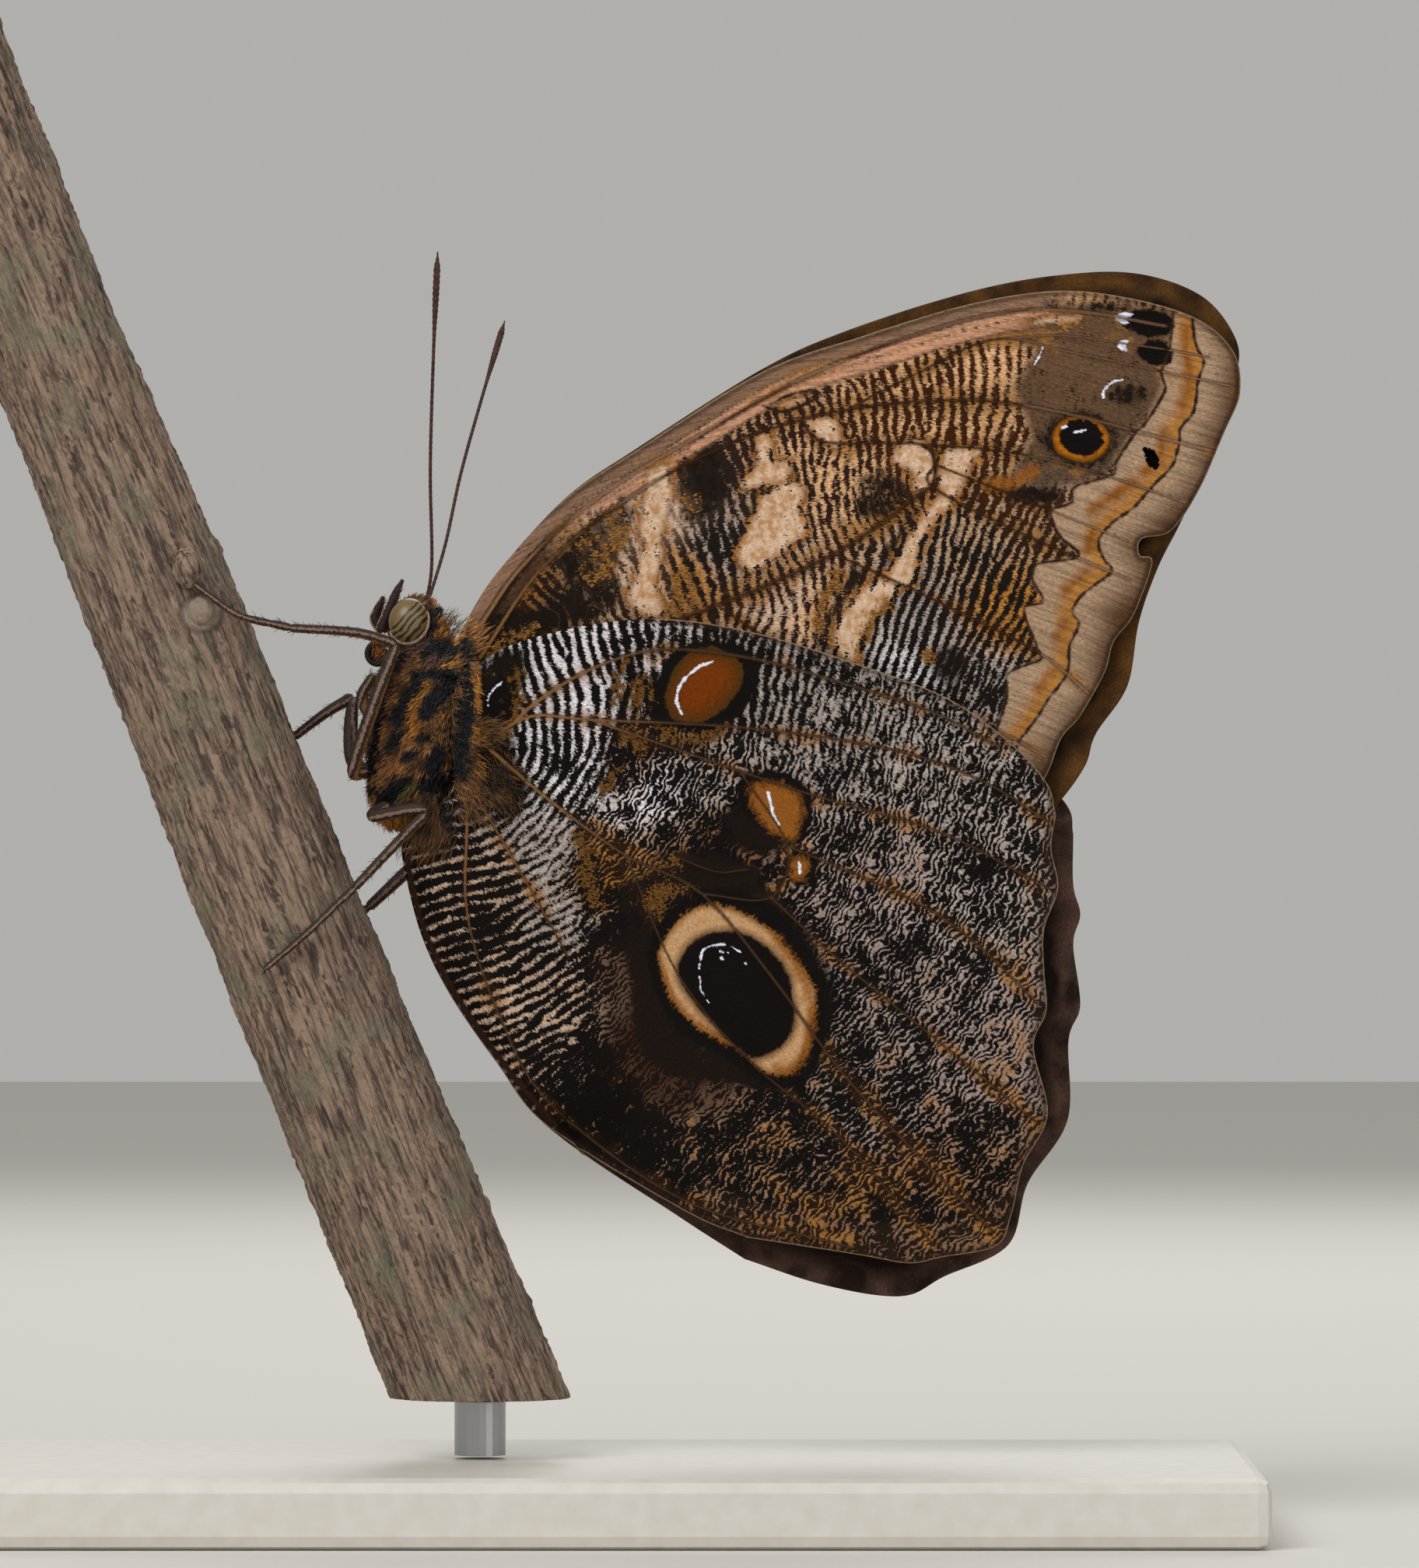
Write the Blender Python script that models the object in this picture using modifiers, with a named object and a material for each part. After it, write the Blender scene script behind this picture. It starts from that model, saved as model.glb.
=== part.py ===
"""Owl butterfly at rest on a cut twig, life size, with its wings closed over its back.

The head is up, the feet grip the twig at -X, and the left wings face -Y. Sizes are in
millimetres and become metres where a mesh is made. The butterfly and its twig are drawn
from the middle of the thorax, and the stand from the middle of its base on the floor.
"""

import math

import bmesh
import bpy
from mathutils import Matrix, Vector
from mathutils.geometry import delaunay_2d_cdt

MM = 0.001
GAP = 0.3  # between pieces that touch

# The middle of the thorax, from the middle of the stand's foot.
BODY_X = -11.3
BODY_Z = 69.0

# Thorax and abdomen: half sizes, and the abdomen's middle line.
THORAX_DEEP = 5.0  # breast to back, along X
THORAX_WIDE = 4.6  # along Y
THORAX_LONG = 8.9  # along Z
THORAX_DROP = 0.3  # its middle, below the point that the body is drawn from
THORAX_SAG = 2.2  # how far its lower end leans towards the breast
ABDOMEN_LINE = ((1.0, 0, -7.4), (2.4, 0, -13.0), (4.6, 0, -19.0), (7.6, 0, -25.0), (11.0, 0, -30.6))
ABDOMEN_RADIUS = 3.2
ABDOMEN_RINGS = 8

# Head, with its flat cheeks, and what it carries.
HEAD_CENTRE = Vector((-0.8, 0, 8.3))
HEAD_SIZE = Vector((2.9, 2.5, 2.9))
CHEEK = 1.8  # from the middle plane to the flat under an eye
EYE_CENTRE = Vector((-1.3, 0, 8.8))
EYE_SIZE = Vector((1.65, 1.45, 1.9))
EYE_LEAN = math.radians(18)
PALP_LINES = {
    "palp_left": ((-3.7, -0.95, 7.9), (-3.1, -1.0, 9.3), (-2.4, -0.9, 11.1), (-1.8, -0.8, 12.3)),
    "palp_right": ((-3.5, 1.0, 7.9), (-4.2, 1.1, 8.9), (-3.95, 1.0, 9.9), (-3.5, 0.9, 10.9)),
}
PALP_RADII = (0.4, 0.42, 0.33, 0.2)
PROBOSCIS_CENTRE = Vector((-3.9, 0, 5.9))
PROBOSCIS_RADIUS = 1.3  # of the whole coil
PROBOSCIS_THICK = 1.0

# Antennae, from the brow to the club. The left one stands up, the right one leans back.
ANTENNA_RADIUS = 0.26
CLUB_RADIUS = 0.4
ANTENNA_LINES = {
    "antenna_left": (
        (0.35, -0.8, 11.2), (0.7, -1.4, 13.6), (0.65, -4.4, 21.7), (1.0, -7.6, 31.5), (1.4, -9.4, 40.0),
    ),
    "antenna_right": (
        (0.5, 0.8, 11.2), (1.75, 2.6, 15.3), (3.0, 5.7, 21.4), (4.6, 11.6, 27.8), (6.6, 18.2, 35.2),
    ),
}

# Wings: thickness of the membrane and of its ridges, and how far from the middle plane.
MEMBRANE = 0.5
RIDGE = 0.4  # added to the membrane on a vein's crest, half of it on each face
VEIN_HALF_WIDTH = 0.42
FOREWING_LAYER = 0.65
HINDWING_LAYER = 1.9
THORAX_HUG = 3.0  # how far the wings stand out round the thorax
ABDOMEN_HUG = 2.3

# Twig: points of its middle line with the radius there, the cut foot and what grows on it.
TWIG_LINE = (
    ((-42.6, 0, 60.4), 5.8),
    ((-38.0, 0, 48.7), 5.9),
    ((-31.5, 0, 31.8), 6.15),
    ((-22.5, 0, 10.1), 6.65),
    ((-14.2, 0, -11.3), 6.9),
    ((-3.1, 0, -38.7), 7.15),
    ((6.8, 0, -62.6), 7.4),
)
TWIG_FOOT = 11.2  # height of the cut above the floor

# Stand.
BASE_SIZE = Vector((120.0, 60.0, 6.0))
BASE_EDGE = 1.2
ROD_RADIUS = 2.2

# Each wing's edge: the costa from root to apex, the termen down to the tornus, and the
# inner edge back to the root, along X and Z.
FOREWING_EDGE = {
    "costa": (
        (2.4, 5.6), (3.5, 8.3), (6.3, 12.9), (12.1, 19.2), (18.1, 23.3), (29.0, 30.1), (37.7, 33.2),
        (46.3, 35.8), (53.5, 37.0), (59.5, 36.6), (65.9, 34.8), (69.3, 31.9), (69.9, 28.3),
    ),
    "termen": (
        (68.6, 25.0), (66.4, 20.0), (64.0, 16.5), (61.5, 15.8), (61.3, 14.4), (62.4, 13.8),
        (60.8, 9.3), (59.1, 7.0), (58.3, 4.3), (56.2, 0.6), (54.6, -1.3), (53.3, -4.5), (51.1, -7.5),
    ),
    "inner": ((43.7, -5.9), (27.7, -2.1), (10.3, 1.0), (4.7, 1.9)),
}
FAR_FOREWING_EDGE = {
    "costa": (
        (2.4, 5.6), (3.5, 8.3), (6.3, 12.9), (12.1, 19.3), (18.1, 23.5), (29.0, 30.4), (36.3, 33.7),
        (46.3, 36.9), (54.0, 38.4), (61.0, 38.6), (66.6, 36.7), (69.5, 33.2), (69.7, 30.0),
    ),
    "termen": (
        (67.9, 23.9), (65.0, 17.5), (62.9, 13.3), (61.3, 8.7), (60.3, 3.2), (57.6, -0.9), (56.7, -3.6),
        (54.6, -6.6), (52.3, -8.8),
    ),
    "inner": ((43.7, -6.7), (27.7, -2.7), (10.3, 0.8), (4.7, 1.9)),
}
HINDWING_EDGE = {
    "costa": (
        (3.7, 3.9), (7.1, 6.5), (14.2, 8.4), (21.0, 8.9), (28.9, 7.6), (37.9, 4.8), (44.9, 2.1),
        (50.0, -1.5), (53.3, -5.1),
    ),
    "termen": (
        (54.1, -7.9), (53.7, -10.7), (54.3, -14.1), (53.1, -17.6), (53.1, -21.2), (53.3, -24.6),
        (52.2, -27.7), (53.4, -33.5), (51.3, -37.8), (50.3, -42.0), (49.0, -44.7), (44.3, -45.7),
        (41.5, -46.2), (37.3, -45.5),
    ),
    "inner": (
        (27.7, -44.0), (22.3, -41.7), (10.9, -34.6), (6.3, -28.9), (2.3, -23.1), (-0.1, -18.1),
        (-1.5, -12.8), (-1.7, -10.3), (-0.5, -8.0), (2.7, -5.3),
    ),
}
FAR_HINDWING_EDGE = {
    "costa": (
        (3.7, 3.9), (7.1, 6.5), (14.2, 8.3), (21.0, 8.6), (28.9, 7.1), (37.9, 4.4), (44.9, 1.7),
        (50.0, -1.9), (55.0, -6.8),
    ),
    "termen": (
        (55.7, -9.5), (55.7, -13.9), (56.3, -16.4), (55.7, -19.0), (56.3, -24.2), (55.3, -27.2),
        (55.2, -34.1), (51.8, -39.5), (50.1, -44.8), (44.6, -47.5), (40.9, -49.2), (34.2, -48.2),
    ),
    "inner": (
        (27.5, -46.0), (22.1, -42.5), (10.9, -34.9), (6.4, -29.1), (2.5, -23.4), (0.1, -18.3),
        (-1.3, -13.1), (-1.6, -10.5), (-0.5, -8.0), (2.7, -5.3),
    ),
}

# Main veins, each from its root or fork outwards, along X and Z.
FOREWING_VEINS = {
    "costa": (
        (4.6, 8.0), (8.4, 13.4), (15.3, 19.6), (25.6, 25.8), (34.6, 30.5), (46.4, 34.5), (54.5, 35.4),
        (63.7, 34.0),
    ),
    "radius": (
        (4.8, 5.6), (9.7, 12.8), (16.3, 18.4), (23.7, 22.8), (32.3, 26.0), (41.7, 27.5), (51.7, 27.2),
        (67.6, 23.3),
    ),
    "cubitus": ((5.6, 4.2), (17.0, 7.2), (25.1, 10.1), (35.1, 14.5), (43.5, 20.3)),
    "end of cell": (
        (32.3, 26.0), (34.4, 24.1), (42.6, 23.9), (43.7, 22.2), (43.5, 20.3), (50.3, 16.7), (60.4, 12.3),
    ),
    "upper fork": ((36.3, 26.9), (42.3, 30.0), (49.0, 32.9), (55.8, 31.7), (69.0, 28.9)),
    "tip fork": ((49.0, 32.9), (54.5, 33.2), (60.9, 32.4), (67.2, 31.4)),
    "upper media": ((42.6, 23.9), (50.3, 23.2), (58.2, 21.3), (65.2, 18.9)),
    "middle media": ((43.7, 22.2), (55.0, 17.7), (60.3, 15.6)),
    "first cubital": ((35.1, 14.5), (43.9, 10.5), (52.7, 6.0), (57.0, 2.5)),
    "second cubital": ((25.1, 10.1), (31.8, 6.1), (47.7, 0.0), (53.3, -2.9)),
    "anal": ((6.0, 3.4), (11.3, 3.2), (23.7, 0.6), (37.0, -2.6), (50.3, -6.4)),
}
HINDWING_VEINS = {
    "subcosta": (
        (7.7, 0.0), (9.5, 1.7), (14.3, 4.6), (20.3, 6.3), (28.3, 5.5), (35.9, 3.4), (43.2, 1.1),
        (49.2, -2.0),
    ),
    "radius": (
        (5.7, -1.2), (9.3, 0.6), (14.3, 0.3), (27.5, -0.4), (39.9, -2.2), (47.7, -4.9), (53.4, -8.4),
    ),
    "upper media": ((14.3, 0.3), (23.3, -2.8), (33.1, -6.1), (44.1, -9.3), (53.6, -14.2)),
    "end of cell": ((27.2, -4.3), (31.1, -10.5), (29.7, -14.9), (23.8, -14.6)),
    "lower media": ((31.1, -10.5), (41.0, -14.7), (46.6, -18.3), (52.6, -24.0)),
    "first cubital": ((29.7, -14.9), (35.7, -20.4), (44.9, -27.9), (52.5, -34.2)),
    "cubitus": (
        (5.7, -2.3), (10.4, -6.3), (17.3, -11.3), (23.8, -14.6), (30.1, -22.1), (37.0, -31.3),
        (48.6, -43.4),
    ),
    "fold": ((17.3, -11.3), (21.7, -21.3), (27.7, -28.7), (35.7, -35.5), (43.6, -44.6)),
    "second anal": (
        (3.9, -4.2), (3.7, -8.9), (3.9, -16.9), (6.9, -25.7), (11.3, -32.8), (22.3, -40.8), (36.5, -44.8),
    ),
    "third anal": ((4.1, -5.5), (6.5, -9.8), (9.7, -15.3), (12.3, -20.0)),
}

# Legs: each piece's joints as X, Y, Z with the radius there. The feet lie on the twig.
LEGS = {
    "foreleg_left": (
        ((-4.35, -1.3, 0.4, 0.45), (-5.3, -1.75, 2.2, 0.38), (-4.3, -1.9, 4.2, 0.26)),
    ),
    "foreleg_right": (
        ((-4.35, 1.3, 0.4, 0.45), (-5.3, 1.75, 2.2, 0.38), (-4.3, 1.9, 4.2, 0.26)),
    ),
    "midleg_left": (
        (
            (-4.9, -2.0, -4.2, 0.42), (-5.9, -3.2, -3.7, 0.45), (-3.5, -4.9, 3.4, 0.45),
            (-2.3, -4.7, 6.7, 0.36),
        ),
        ((-2.3, -4.7, 6.7, 0.4), (-5.6, -5.3, 7.7, 0.34), (-11.3, -6.0, 8.1, 0.3)),
        (
            (-11.1, -6.0, 8.1, 0.28), (-14.8, -6.3, 8.9, 0.26), (-16.2, -6.5, 9.5, 0.26),
            (-19.6, -6.5, 12.0, 0.22),
        ),
    ),
    "midleg_right": (
        (
            (-4.9, 2.0, -4.0, 0.42), (-6.2, 3.0, -3.2, 0.48), (-6.4, 4.2, -0.5, 0.5),
            (-6.2, 4.6, 2.3, 0.38),
        ),
        ((-6.2, 4.6, 2.3, 0.42), (-8.6, 5.2, 0.9, 0.36), (-11.4, 6.2, -1.2, 0.3)),
        ((-11.2, 6.1, -1.1, 0.28), (-14.4, 7.2, 0.4, 0.26), (-17.8, 7.5, 2.6, 0.22)),
    ),
    "hindleg_left": (
        (
            (-3.0, -2.6, -7.0, 0.42), (-4.2, -4.0, -7.9, 0.45), (-0.6, -5.8, -7.3, 0.42),
            (0.3, -5.9, -7.7, 0.36),
        ),
        ((0.3, -5.9, -7.7, 0.38), (-2.8, -6.2, -10.9, 0.34), (-5.8, -6.6, -14.1, 0.3)),
        (
            (-5.7, -6.6, -14.0, 0.28), (-7.6, -7.2, -15.8, 0.26), (-10.1, -7.7, -18.2, 0.25),
            (-13.4, -7.6, -21.0, 0.22),
        ),
    ),
    "hindleg_right": (
        (
            (-3.0, 2.6, -7.0, 0.42), (-2.4, 4.2, -7.6, 0.45), (0.0, 5.7, -8.3, 0.42),
            (1.8, 6.0, -9.4, 0.36),
        ),
        ((1.8, 6.0, -9.4, 0.4), (-1.8, 6.2, -12.9, 0.44), (-5.0, 6.4, -15.9, 0.36)),
        ((-4.9, 6.4, -15.8, 0.28), (-7.3, 7.4, -17.3, 0.26), (-11.6, 7.7, -19.6, 0.22)),
    ),
}

# Colour and roughness of each material.
FINISHES = {
    "wing scales": ("#6b5341", 0.75),
    "body fur": ("#6a4a30", 0.95),
    "eye": ("#8f8048", 0.3),
    "leg scales": ("#6d5343", 0.8),
    "antenna": ("#5a2a1a", 0.6),
    "bark": ("#8a7668", 0.9),
    "painted wood": ("#d8d4cc", 0.5),
    "steel": ("#b8b8b8", 0.3),
}


def linear(channel):
    """One sRGB channel, 0 to 1, as linear light."""
    return channel / 12.92 if channel <= 0.04045 else ((channel + 0.055) / 1.055) ** 2.4


def finish(name):
    """The material of that name, made once."""
    made = bpy.data.materials.get(name)
    if made:
        return made
    colour, roughness = FINISHES[name]
    made = bpy.data.materials.new(name)
    made.use_nodes = True
    shader = made.node_tree.nodes["Principled BSDF"]
    red, green, blue = (linear(int(colour[i : i + 2], 16) / 255) for i in (1, 3, 5))
    shader.inputs["Base Color"].default_value = (red, green, blue, 1)
    shader.inputs["Roughness"].default_value = roughness
    shader.inputs["Metallic"].default_value = 1.0 if name == "steel" else 0.0
    return made


def smooth_step(value, low, high):
    """0 below low, 1 above high, and a smooth rise between."""
    t = min(1.0, max(0.0, (value - low) / (high - low)))
    return t * t * (3 - 2 * t)


def spline(points, spacing, least=2):
    """A smooth curve through the points, read at about this spacing, both ends kept."""
    points = [Vector(point) for point in points]
    ends = [2 * points[0] - points[1]], [2 * points[-1] - points[-2]]
    knots = ends[0] + points + ends[1]
    steps = 12
    fine = []
    for before, start, end, after in zip(knots, knots[1:], knots[2:], knots[3:]):
        for step in range(steps):
            t = step / steps
            tangents = (end - before) / 2, (after - start) / 2
            fine.append(
                start * (2 * t**3 - 3 * t**2 + 1)
                + tangents[0] * (t**3 - 2 * t**2 + t)
                + end * (3 * t**2 - 2 * t**3)
                + tangents[1] * (t**3 - t**2)
            )
    fine.append(points[-1])
    travelled = [0.0]
    for start, end in zip(fine, fine[1:]):
        travelled.append(travelled[-1] + (end - start).length)
    count = max(least, round(travelled[-1] / spacing) + 1)
    read = []
    at = 0
    for index in range(count):
        wanted = travelled[-1] * index / (count - 1)
        while at < len(fine) - 2 and travelled[at + 1] < wanted:
            at += 1
        share = (wanted - travelled[at]) / max(travelled[at + 1] - travelled[at], 1e-9)
        read.append(fine[at].lerp(fine[at + 1], share))
    return read


def distance_to_line(point, line):
    """Distance from a point to an open polyline, in the line's own dimension."""
    best = math.inf
    for start, end in zip(line, line[1:]):
        along = end - start
        share = max(0.0, min(1.0, (point - start).dot(along) / max(along.dot(along), 1e-9)))
        best = min(best, (start + along * share - point).length)
    return best


def place(name, mesh, finish_name, parent=None, smooth=True):
    """An object for the mesh, in millimetres until here, in the part's collection."""
    mesh.transform(Matrix.Scale(MM, 4))
    if smooth:
        mesh.shade_smooth()
        mesh.set_sharp_from_angle(angle=math.radians(50))
    mesh.materials.append(finish(finish_name))
    obj = bpy.data.objects.new(name, mesh)
    bpy.data.collections["owl_butterfly"].objects.link(obj)
    obj.parent = parent
    return obj


def mesh_of(bm, name):
    """The bmesh as a new mesh, with the bmesh freed."""
    mesh = bpy.data.meshes.new(name)
    bm.to_mesh(mesh)
    bm.free()
    return mesh


def tube_mesh(name, points, radii, resolution=2):
    """A closed tube along the points, as a mesh in millimetres, from a curve with filled caps."""
    curve = bpy.data.curves.new(name, "CURVE")
    curve.dimensions = "3D"
    curve.bevel_depth = 1.0
    curve.bevel_resolution = resolution
    curve.use_fill_caps = True
    line = curve.splines.new("POLY")
    line.points.add(len(points) - 1)
    for target, point, radius in zip(line.points, points, radii):
        target.co = (*point, 1)
        target.radius = radius
    holder = bpy.data.objects.new(name, curve)
    bpy.context.scene.collection.objects.link(holder)
    graph = bpy.context.evaluated_depsgraph_get()
    mesh = bpy.data.meshes.new_from_object(holder.evaluated_get(graph))
    bpy.data.objects.remove(holder)
    bpy.data.curves.remove(curve)
    bm = bmesh.new()
    bm.from_mesh(mesh)
    bmesh.ops.remove_doubles(bm, verts=bm.verts, dist=1e-4)
    bmesh.ops.recalc_face_normals(bm, faces=bm.faces)
    bm.to_mesh(mesh)
    bm.free()
    return mesh


def along(points, values, spacing):
    """The smooth line through the points at that spacing, with the values read beside it."""
    both = [Vector((*point, value)) for point, value in zip(points, values)]
    read = spline(both, spacing)
    return [Vector(item[:3]) for item in read], [item[3] for item in read]


def grown(obj, amount):
    """A hidden copy of the object whose surface stands out by the amount, as a cutter."""
    cutter = obj.copy()
    cutter.data = obj.data.copy()
    cutter.name = obj.name + "_cutter"
    bpy.data.collections["cutters"].objects.link(cutter)
    cutter.hide_render = True
    cutter.display_type = "WIRE"
    bm = bmesh.new()
    bm.from_mesh(cutter.data)
    bm.normal_update()
    moves = [(vert, vert.normal * amount * MM * vert.calc_shell_factor()) for vert in bm.verts]
    for vert, move in moves:
        vert.co += move
    bm.to_mesh(cutter.data)
    bm.free()
    return cutter


def apply_modifiers(obj):
    """The object's mesh becomes what its modifiers make of it, kept to its largest closed surface."""
    bpy.context.view_layer.update()
    graph = bpy.context.evaluated_depsgraph_get()
    mesh = bpy.data.meshes.new_from_object(obj.evaluated_get(graph))
    obj.modifiers.clear()
    bm = bmesh.new()
    bm.from_mesh(mesh)
    bmesh.ops.remove_doubles(bm, verts=bm.verts, dist=1e-6)
    bmesh.ops.dissolve_degenerate(bm, dist=1e-6, edges=bm.edges)
    keep_largest(bm)
    bm.to_mesh(mesh)
    bm.free()
    obj.data = mesh


def keep_largest(bm):
    """Deletes every shell of the bmesh but the one that encloses most."""
    left = set(bm.faces)
    shells = []
    while left:
        shell = {left.pop()}
        edge_of_search = list(shell)
        while edge_of_search:
            for edge in edge_of_search.pop().edges:
                for face in edge.link_faces:
                    if face in left:
                        left.remove(face)
                        shell.add(face)
                        edge_of_search.append(face)
        shells.append(shell)
    shells.sort(key=lambda shell: sum(face.calc_area() for face in shell))
    loose = [face for shell in shells[:-1] for face in shell]
    if loose:
        bmesh.ops.delete(bm, geom=loose, context="FACES")


def cut_clear(obj, *neighbours):
    """Cuts the object back where it comes within the gap of its neighbours."""
    cutters = [grown(neighbour, GAP) for neighbour in neighbours]
    for cutter in cutters:
        cut = obj.modifiers.new("cut_" + cutter.name, "BOOLEAN")
        cut.operation = "DIFFERENCE"
        cut.object = cutter
    apply_modifiers(obj)
    for cutter in cutters:
        bpy.data.objects.remove(cutter)


def fuse(obj, meshes):
    """Joins more closed meshes to the object with one Boolean union."""
    group = bpy.data.collections.new("union")
    bpy.context.scene.collection.children.link(group)
    for mesh in meshes:
        mesh.transform(Matrix.Scale(MM, 4))
        extra = bpy.data.objects.new("union_piece", mesh)
        group.objects.link(extra)
        extra.parent = obj.parent
    union = obj.modifiers.new("union", "BOOLEAN")
    union.operation = "UNION"
    union.operand_type = "COLLECTION"
    union.collection = group
    apply_modifiers(obj)
    for extra in list(group.objects):
        bpy.data.objects.remove(extra)
    bpy.data.collections.remove(group)


def ellipsoid_mesh(name, centre, size, segments, rings, lean=0.0):
    """A closed ball stretched to the half sizes, its poles along Z before it leans about Y."""
    bm = bmesh.new()
    bmesh.ops.create_uvsphere(bm, u_segments=segments, v_segments=rings, radius=1.0)
    bmesh.ops.scale(bm, vec=size, verts=bm.verts)
    bmesh.ops.rotate(bm, matrix=Matrix.Rotation(lean, 3, "Y"), verts=bm.verts)
    bmesh.ops.translate(bm, vec=centre, verts=bm.verts)
    return mesh_of(bm, name)


def build_thorax(parent, neighbours):
    """A full, slightly pointed thorax that cups the back of the head."""
    size = Vector((THORAX_DEEP, THORAX_WIDE, THORAX_LONG))
    mesh = ellipsoid_mesh("thorax", Vector((0, 0, -THORAX_DROP)), size, 20, 14)
    for vert in mesh.vertices:
        upward = vert.co.z / THORAX_LONG
        vert.co.y *= 1.0 - 0.12 * upward
        vert.co.x += 0.5 * max(0.0, upward) ** 2 - THORAX_SAG * max(0.0, -upward) ** 2
    thorax = place("thorax", mesh, "body fur", parent)
    cut_clear(thorax, *neighbours)
    return thorax


def build_head(parent, proboscis):
    """A short rounded head, flat where each eye sits and hollowed where the tongue coils up."""
    mesh = ellipsoid_mesh("head", HEAD_CENTRE, HEAD_SIZE, 18, 12)
    bm = bmesh.new()
    bm.from_mesh(mesh)
    for side in (-1, 1):
        everything = bm.verts[:] + bm.edges[:] + bm.faces[:]
        cut = bmesh.ops.bisect_plane(
            bm, geom=everything, plane_co=(0, side * CHEEK, 0), plane_no=(0, side, 0), clear_outer=True
        )
        rim = [item for item in cut["geom_cut"] if isinstance(item, bmesh.types.BMEdge)]
        bmesh.ops.contextual_create(bm, geom=rim)
    bmesh.ops.recalc_face_normals(bm, faces=bm.faces)
    bm.to_mesh(mesh)
    bm.free()
    head = place("head", mesh, "body fur", parent)
    cut_clear(head, proboscis)
    return head


def build_eye(name, side, parent):
    """A domed eye whose flat back stands off the cheek by the gap."""
    centre = EYE_CENTRE + Vector((0, side * (CHEEK + GAP), 0))
    mesh = ellipsoid_mesh(name, centre, EYE_SIZE, 16, 12, EYE_LEAN)
    bm = bmesh.new()
    bm.from_mesh(mesh)
    cut = bmesh.ops.bisect_plane(
        bm,
        geom=bm.verts[:] + bm.edges[:] + bm.faces[:],
        plane_co=(0, side * (CHEEK + GAP), 0),
        plane_no=(0, -side, 0),
        clear_outer=True,
    )
    rim = [item for item in cut["geom_cut"] if isinstance(item, bmesh.types.BMEdge)]
    bmesh.ops.contextual_create(bm, geom=rim)
    bmesh.ops.recalc_face_normals(bm, faces=bm.faces)
    bm.to_mesh(mesh)
    bm.free()
    return place(name, mesh, "eye", parent)


def build_abdomen(parent, thorax):
    """A ringed abdomen along its bent middle line, cut clear of the thorax."""
    middle = spline(ABDOMEN_LINE, 0.2)
    points = []
    radii = []
    for ring in range(ABDOMEN_RINGS):
        for share, pinch in ((0.0, 0.93), (0.3, 1.0), (0.85, 1.0)):
            place_along = (ring + share) / ABDOMEN_RINGS
            taper = math.sin(math.pi * (0.16 + 0.8 * place_along)) ** 0.55
            points.append(middle[round(place_along * (len(middle) - 1))])
            radii.append(ABDOMEN_RADIUS * taper * pinch)
    points.append(middle[-1])
    radii.append(0.5)
    abdomen = place("abdomen", tube_mesh("abdomen", points, radii, 4), "body fur", parent)
    cut_clear(abdomen, thorax)
    return abdomen


def build_proboscis(parent):
    """The coiled tongue as a turned disc, its axis across the body."""
    bm = bmesh.new()
    half = [(0.0, 0.22), (0.55, 0.42), (1.0, 0.38), (1.0, 0.0)]
    profile = half + [(radius, -thick) for radius, thick in reversed(half[:3])]
    verts = [
        bm.verts.new((radius * PROBOSCIS_RADIUS, thick * PROBOSCIS_THICK, 0)) for radius, thick in profile
    ]
    chain = [bm.edges.new(pair) for pair in zip(verts, verts[1:])]
    bmesh.ops.spin(
        bm, geom=verts + chain, cent=(0, 0, 0), axis=(0, 1, 0), angle=math.tau, steps=18, use_merge=True
    )
    bmesh.ops.remove_doubles(bm, verts=bm.verts, dist=1e-4)
    bmesh.ops.recalc_face_normals(bm, faces=bm.faces)
    bmesh.ops.translate(bm, vec=PROBOSCIS_CENTRE, verts=bm.verts)
    return place("proboscis", mesh_of(bm, "proboscis"), "antenna", parent)


def build_antenna(name, parent):
    """A feeler from the brow, a little thicker over its last quarter."""
    points = spline(ANTENNA_LINES[name], 1.7)
    last = len(points) - 1
    radii = []
    for index in range(len(points)):
        share = index / last
        club = smooth_step(share, 0.74, 0.9) * (1 - 0.75 * smooth_step(share, 0.95, 1.0))
        radii.append(ANTENNA_RADIUS + (CLUB_RADIUS - ANTENNA_RADIUS) * club)
    return place(name, tube_mesh(name, points, radii, 1), "antenna", parent)


def build_leg(name, parent, neighbours):
    """A leg from its tapered pieces, fused at the joints and cut clear of the body."""
    pieces = []
    for joints in LEGS[name]:
        points, radii = along([joint[:3] for joint in joints], [joint[3] for joint in joints], 1.6)
        pieces.append(tube_mesh(name, points, radii))
    leg = place(name, pieces[0], "leg scales", parent)
    if len(pieces) > 1:
        fuse(leg, pieces[1:])
    cut_clear(leg, *neighbours)
    return leg


def hug(x, z):
    """How far the wings stand out at a place of their plane, to pass the thorax and the abdomen."""
    from_thorax = math.hypot(x / THORAX_DEEP, z / THORAX_LONG)
    round_thorax = THORAX_HUG * (1 - smooth_step(from_thorax, 0.45, 2.3))
    line = [Vector((point[0], point[2])) for point in ABDOMEN_LINE]
    place_here = Vector((x, z))
    from_abdomen = distance_to_line(place_here, line)
    ventral = x < 1.0 + (-7.4 - z) * 0.43
    reach = 5.2 if ventral else 8.0
    round_abdomen = ABDOMEN_HUG * (1 - smooth_step(from_abdomen, 0.8, reach))
    return (round_thorax**4 + round_abdomen**4) ** 0.25


def inside(point, loop):
    """Whether a point of the wing's plane lies inside the closed loop."""
    crossings = 0
    for start, end in zip(loop, loop[1:] + loop[:1]):
        if (start.y > point.y) != (end.y > point.y):
            meets = start.x + (point.y - start.y) * (end.x - start.x) / (end.y - start.y)
            crossings += meets > point.x
    return crossings % 2 == 1


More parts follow.
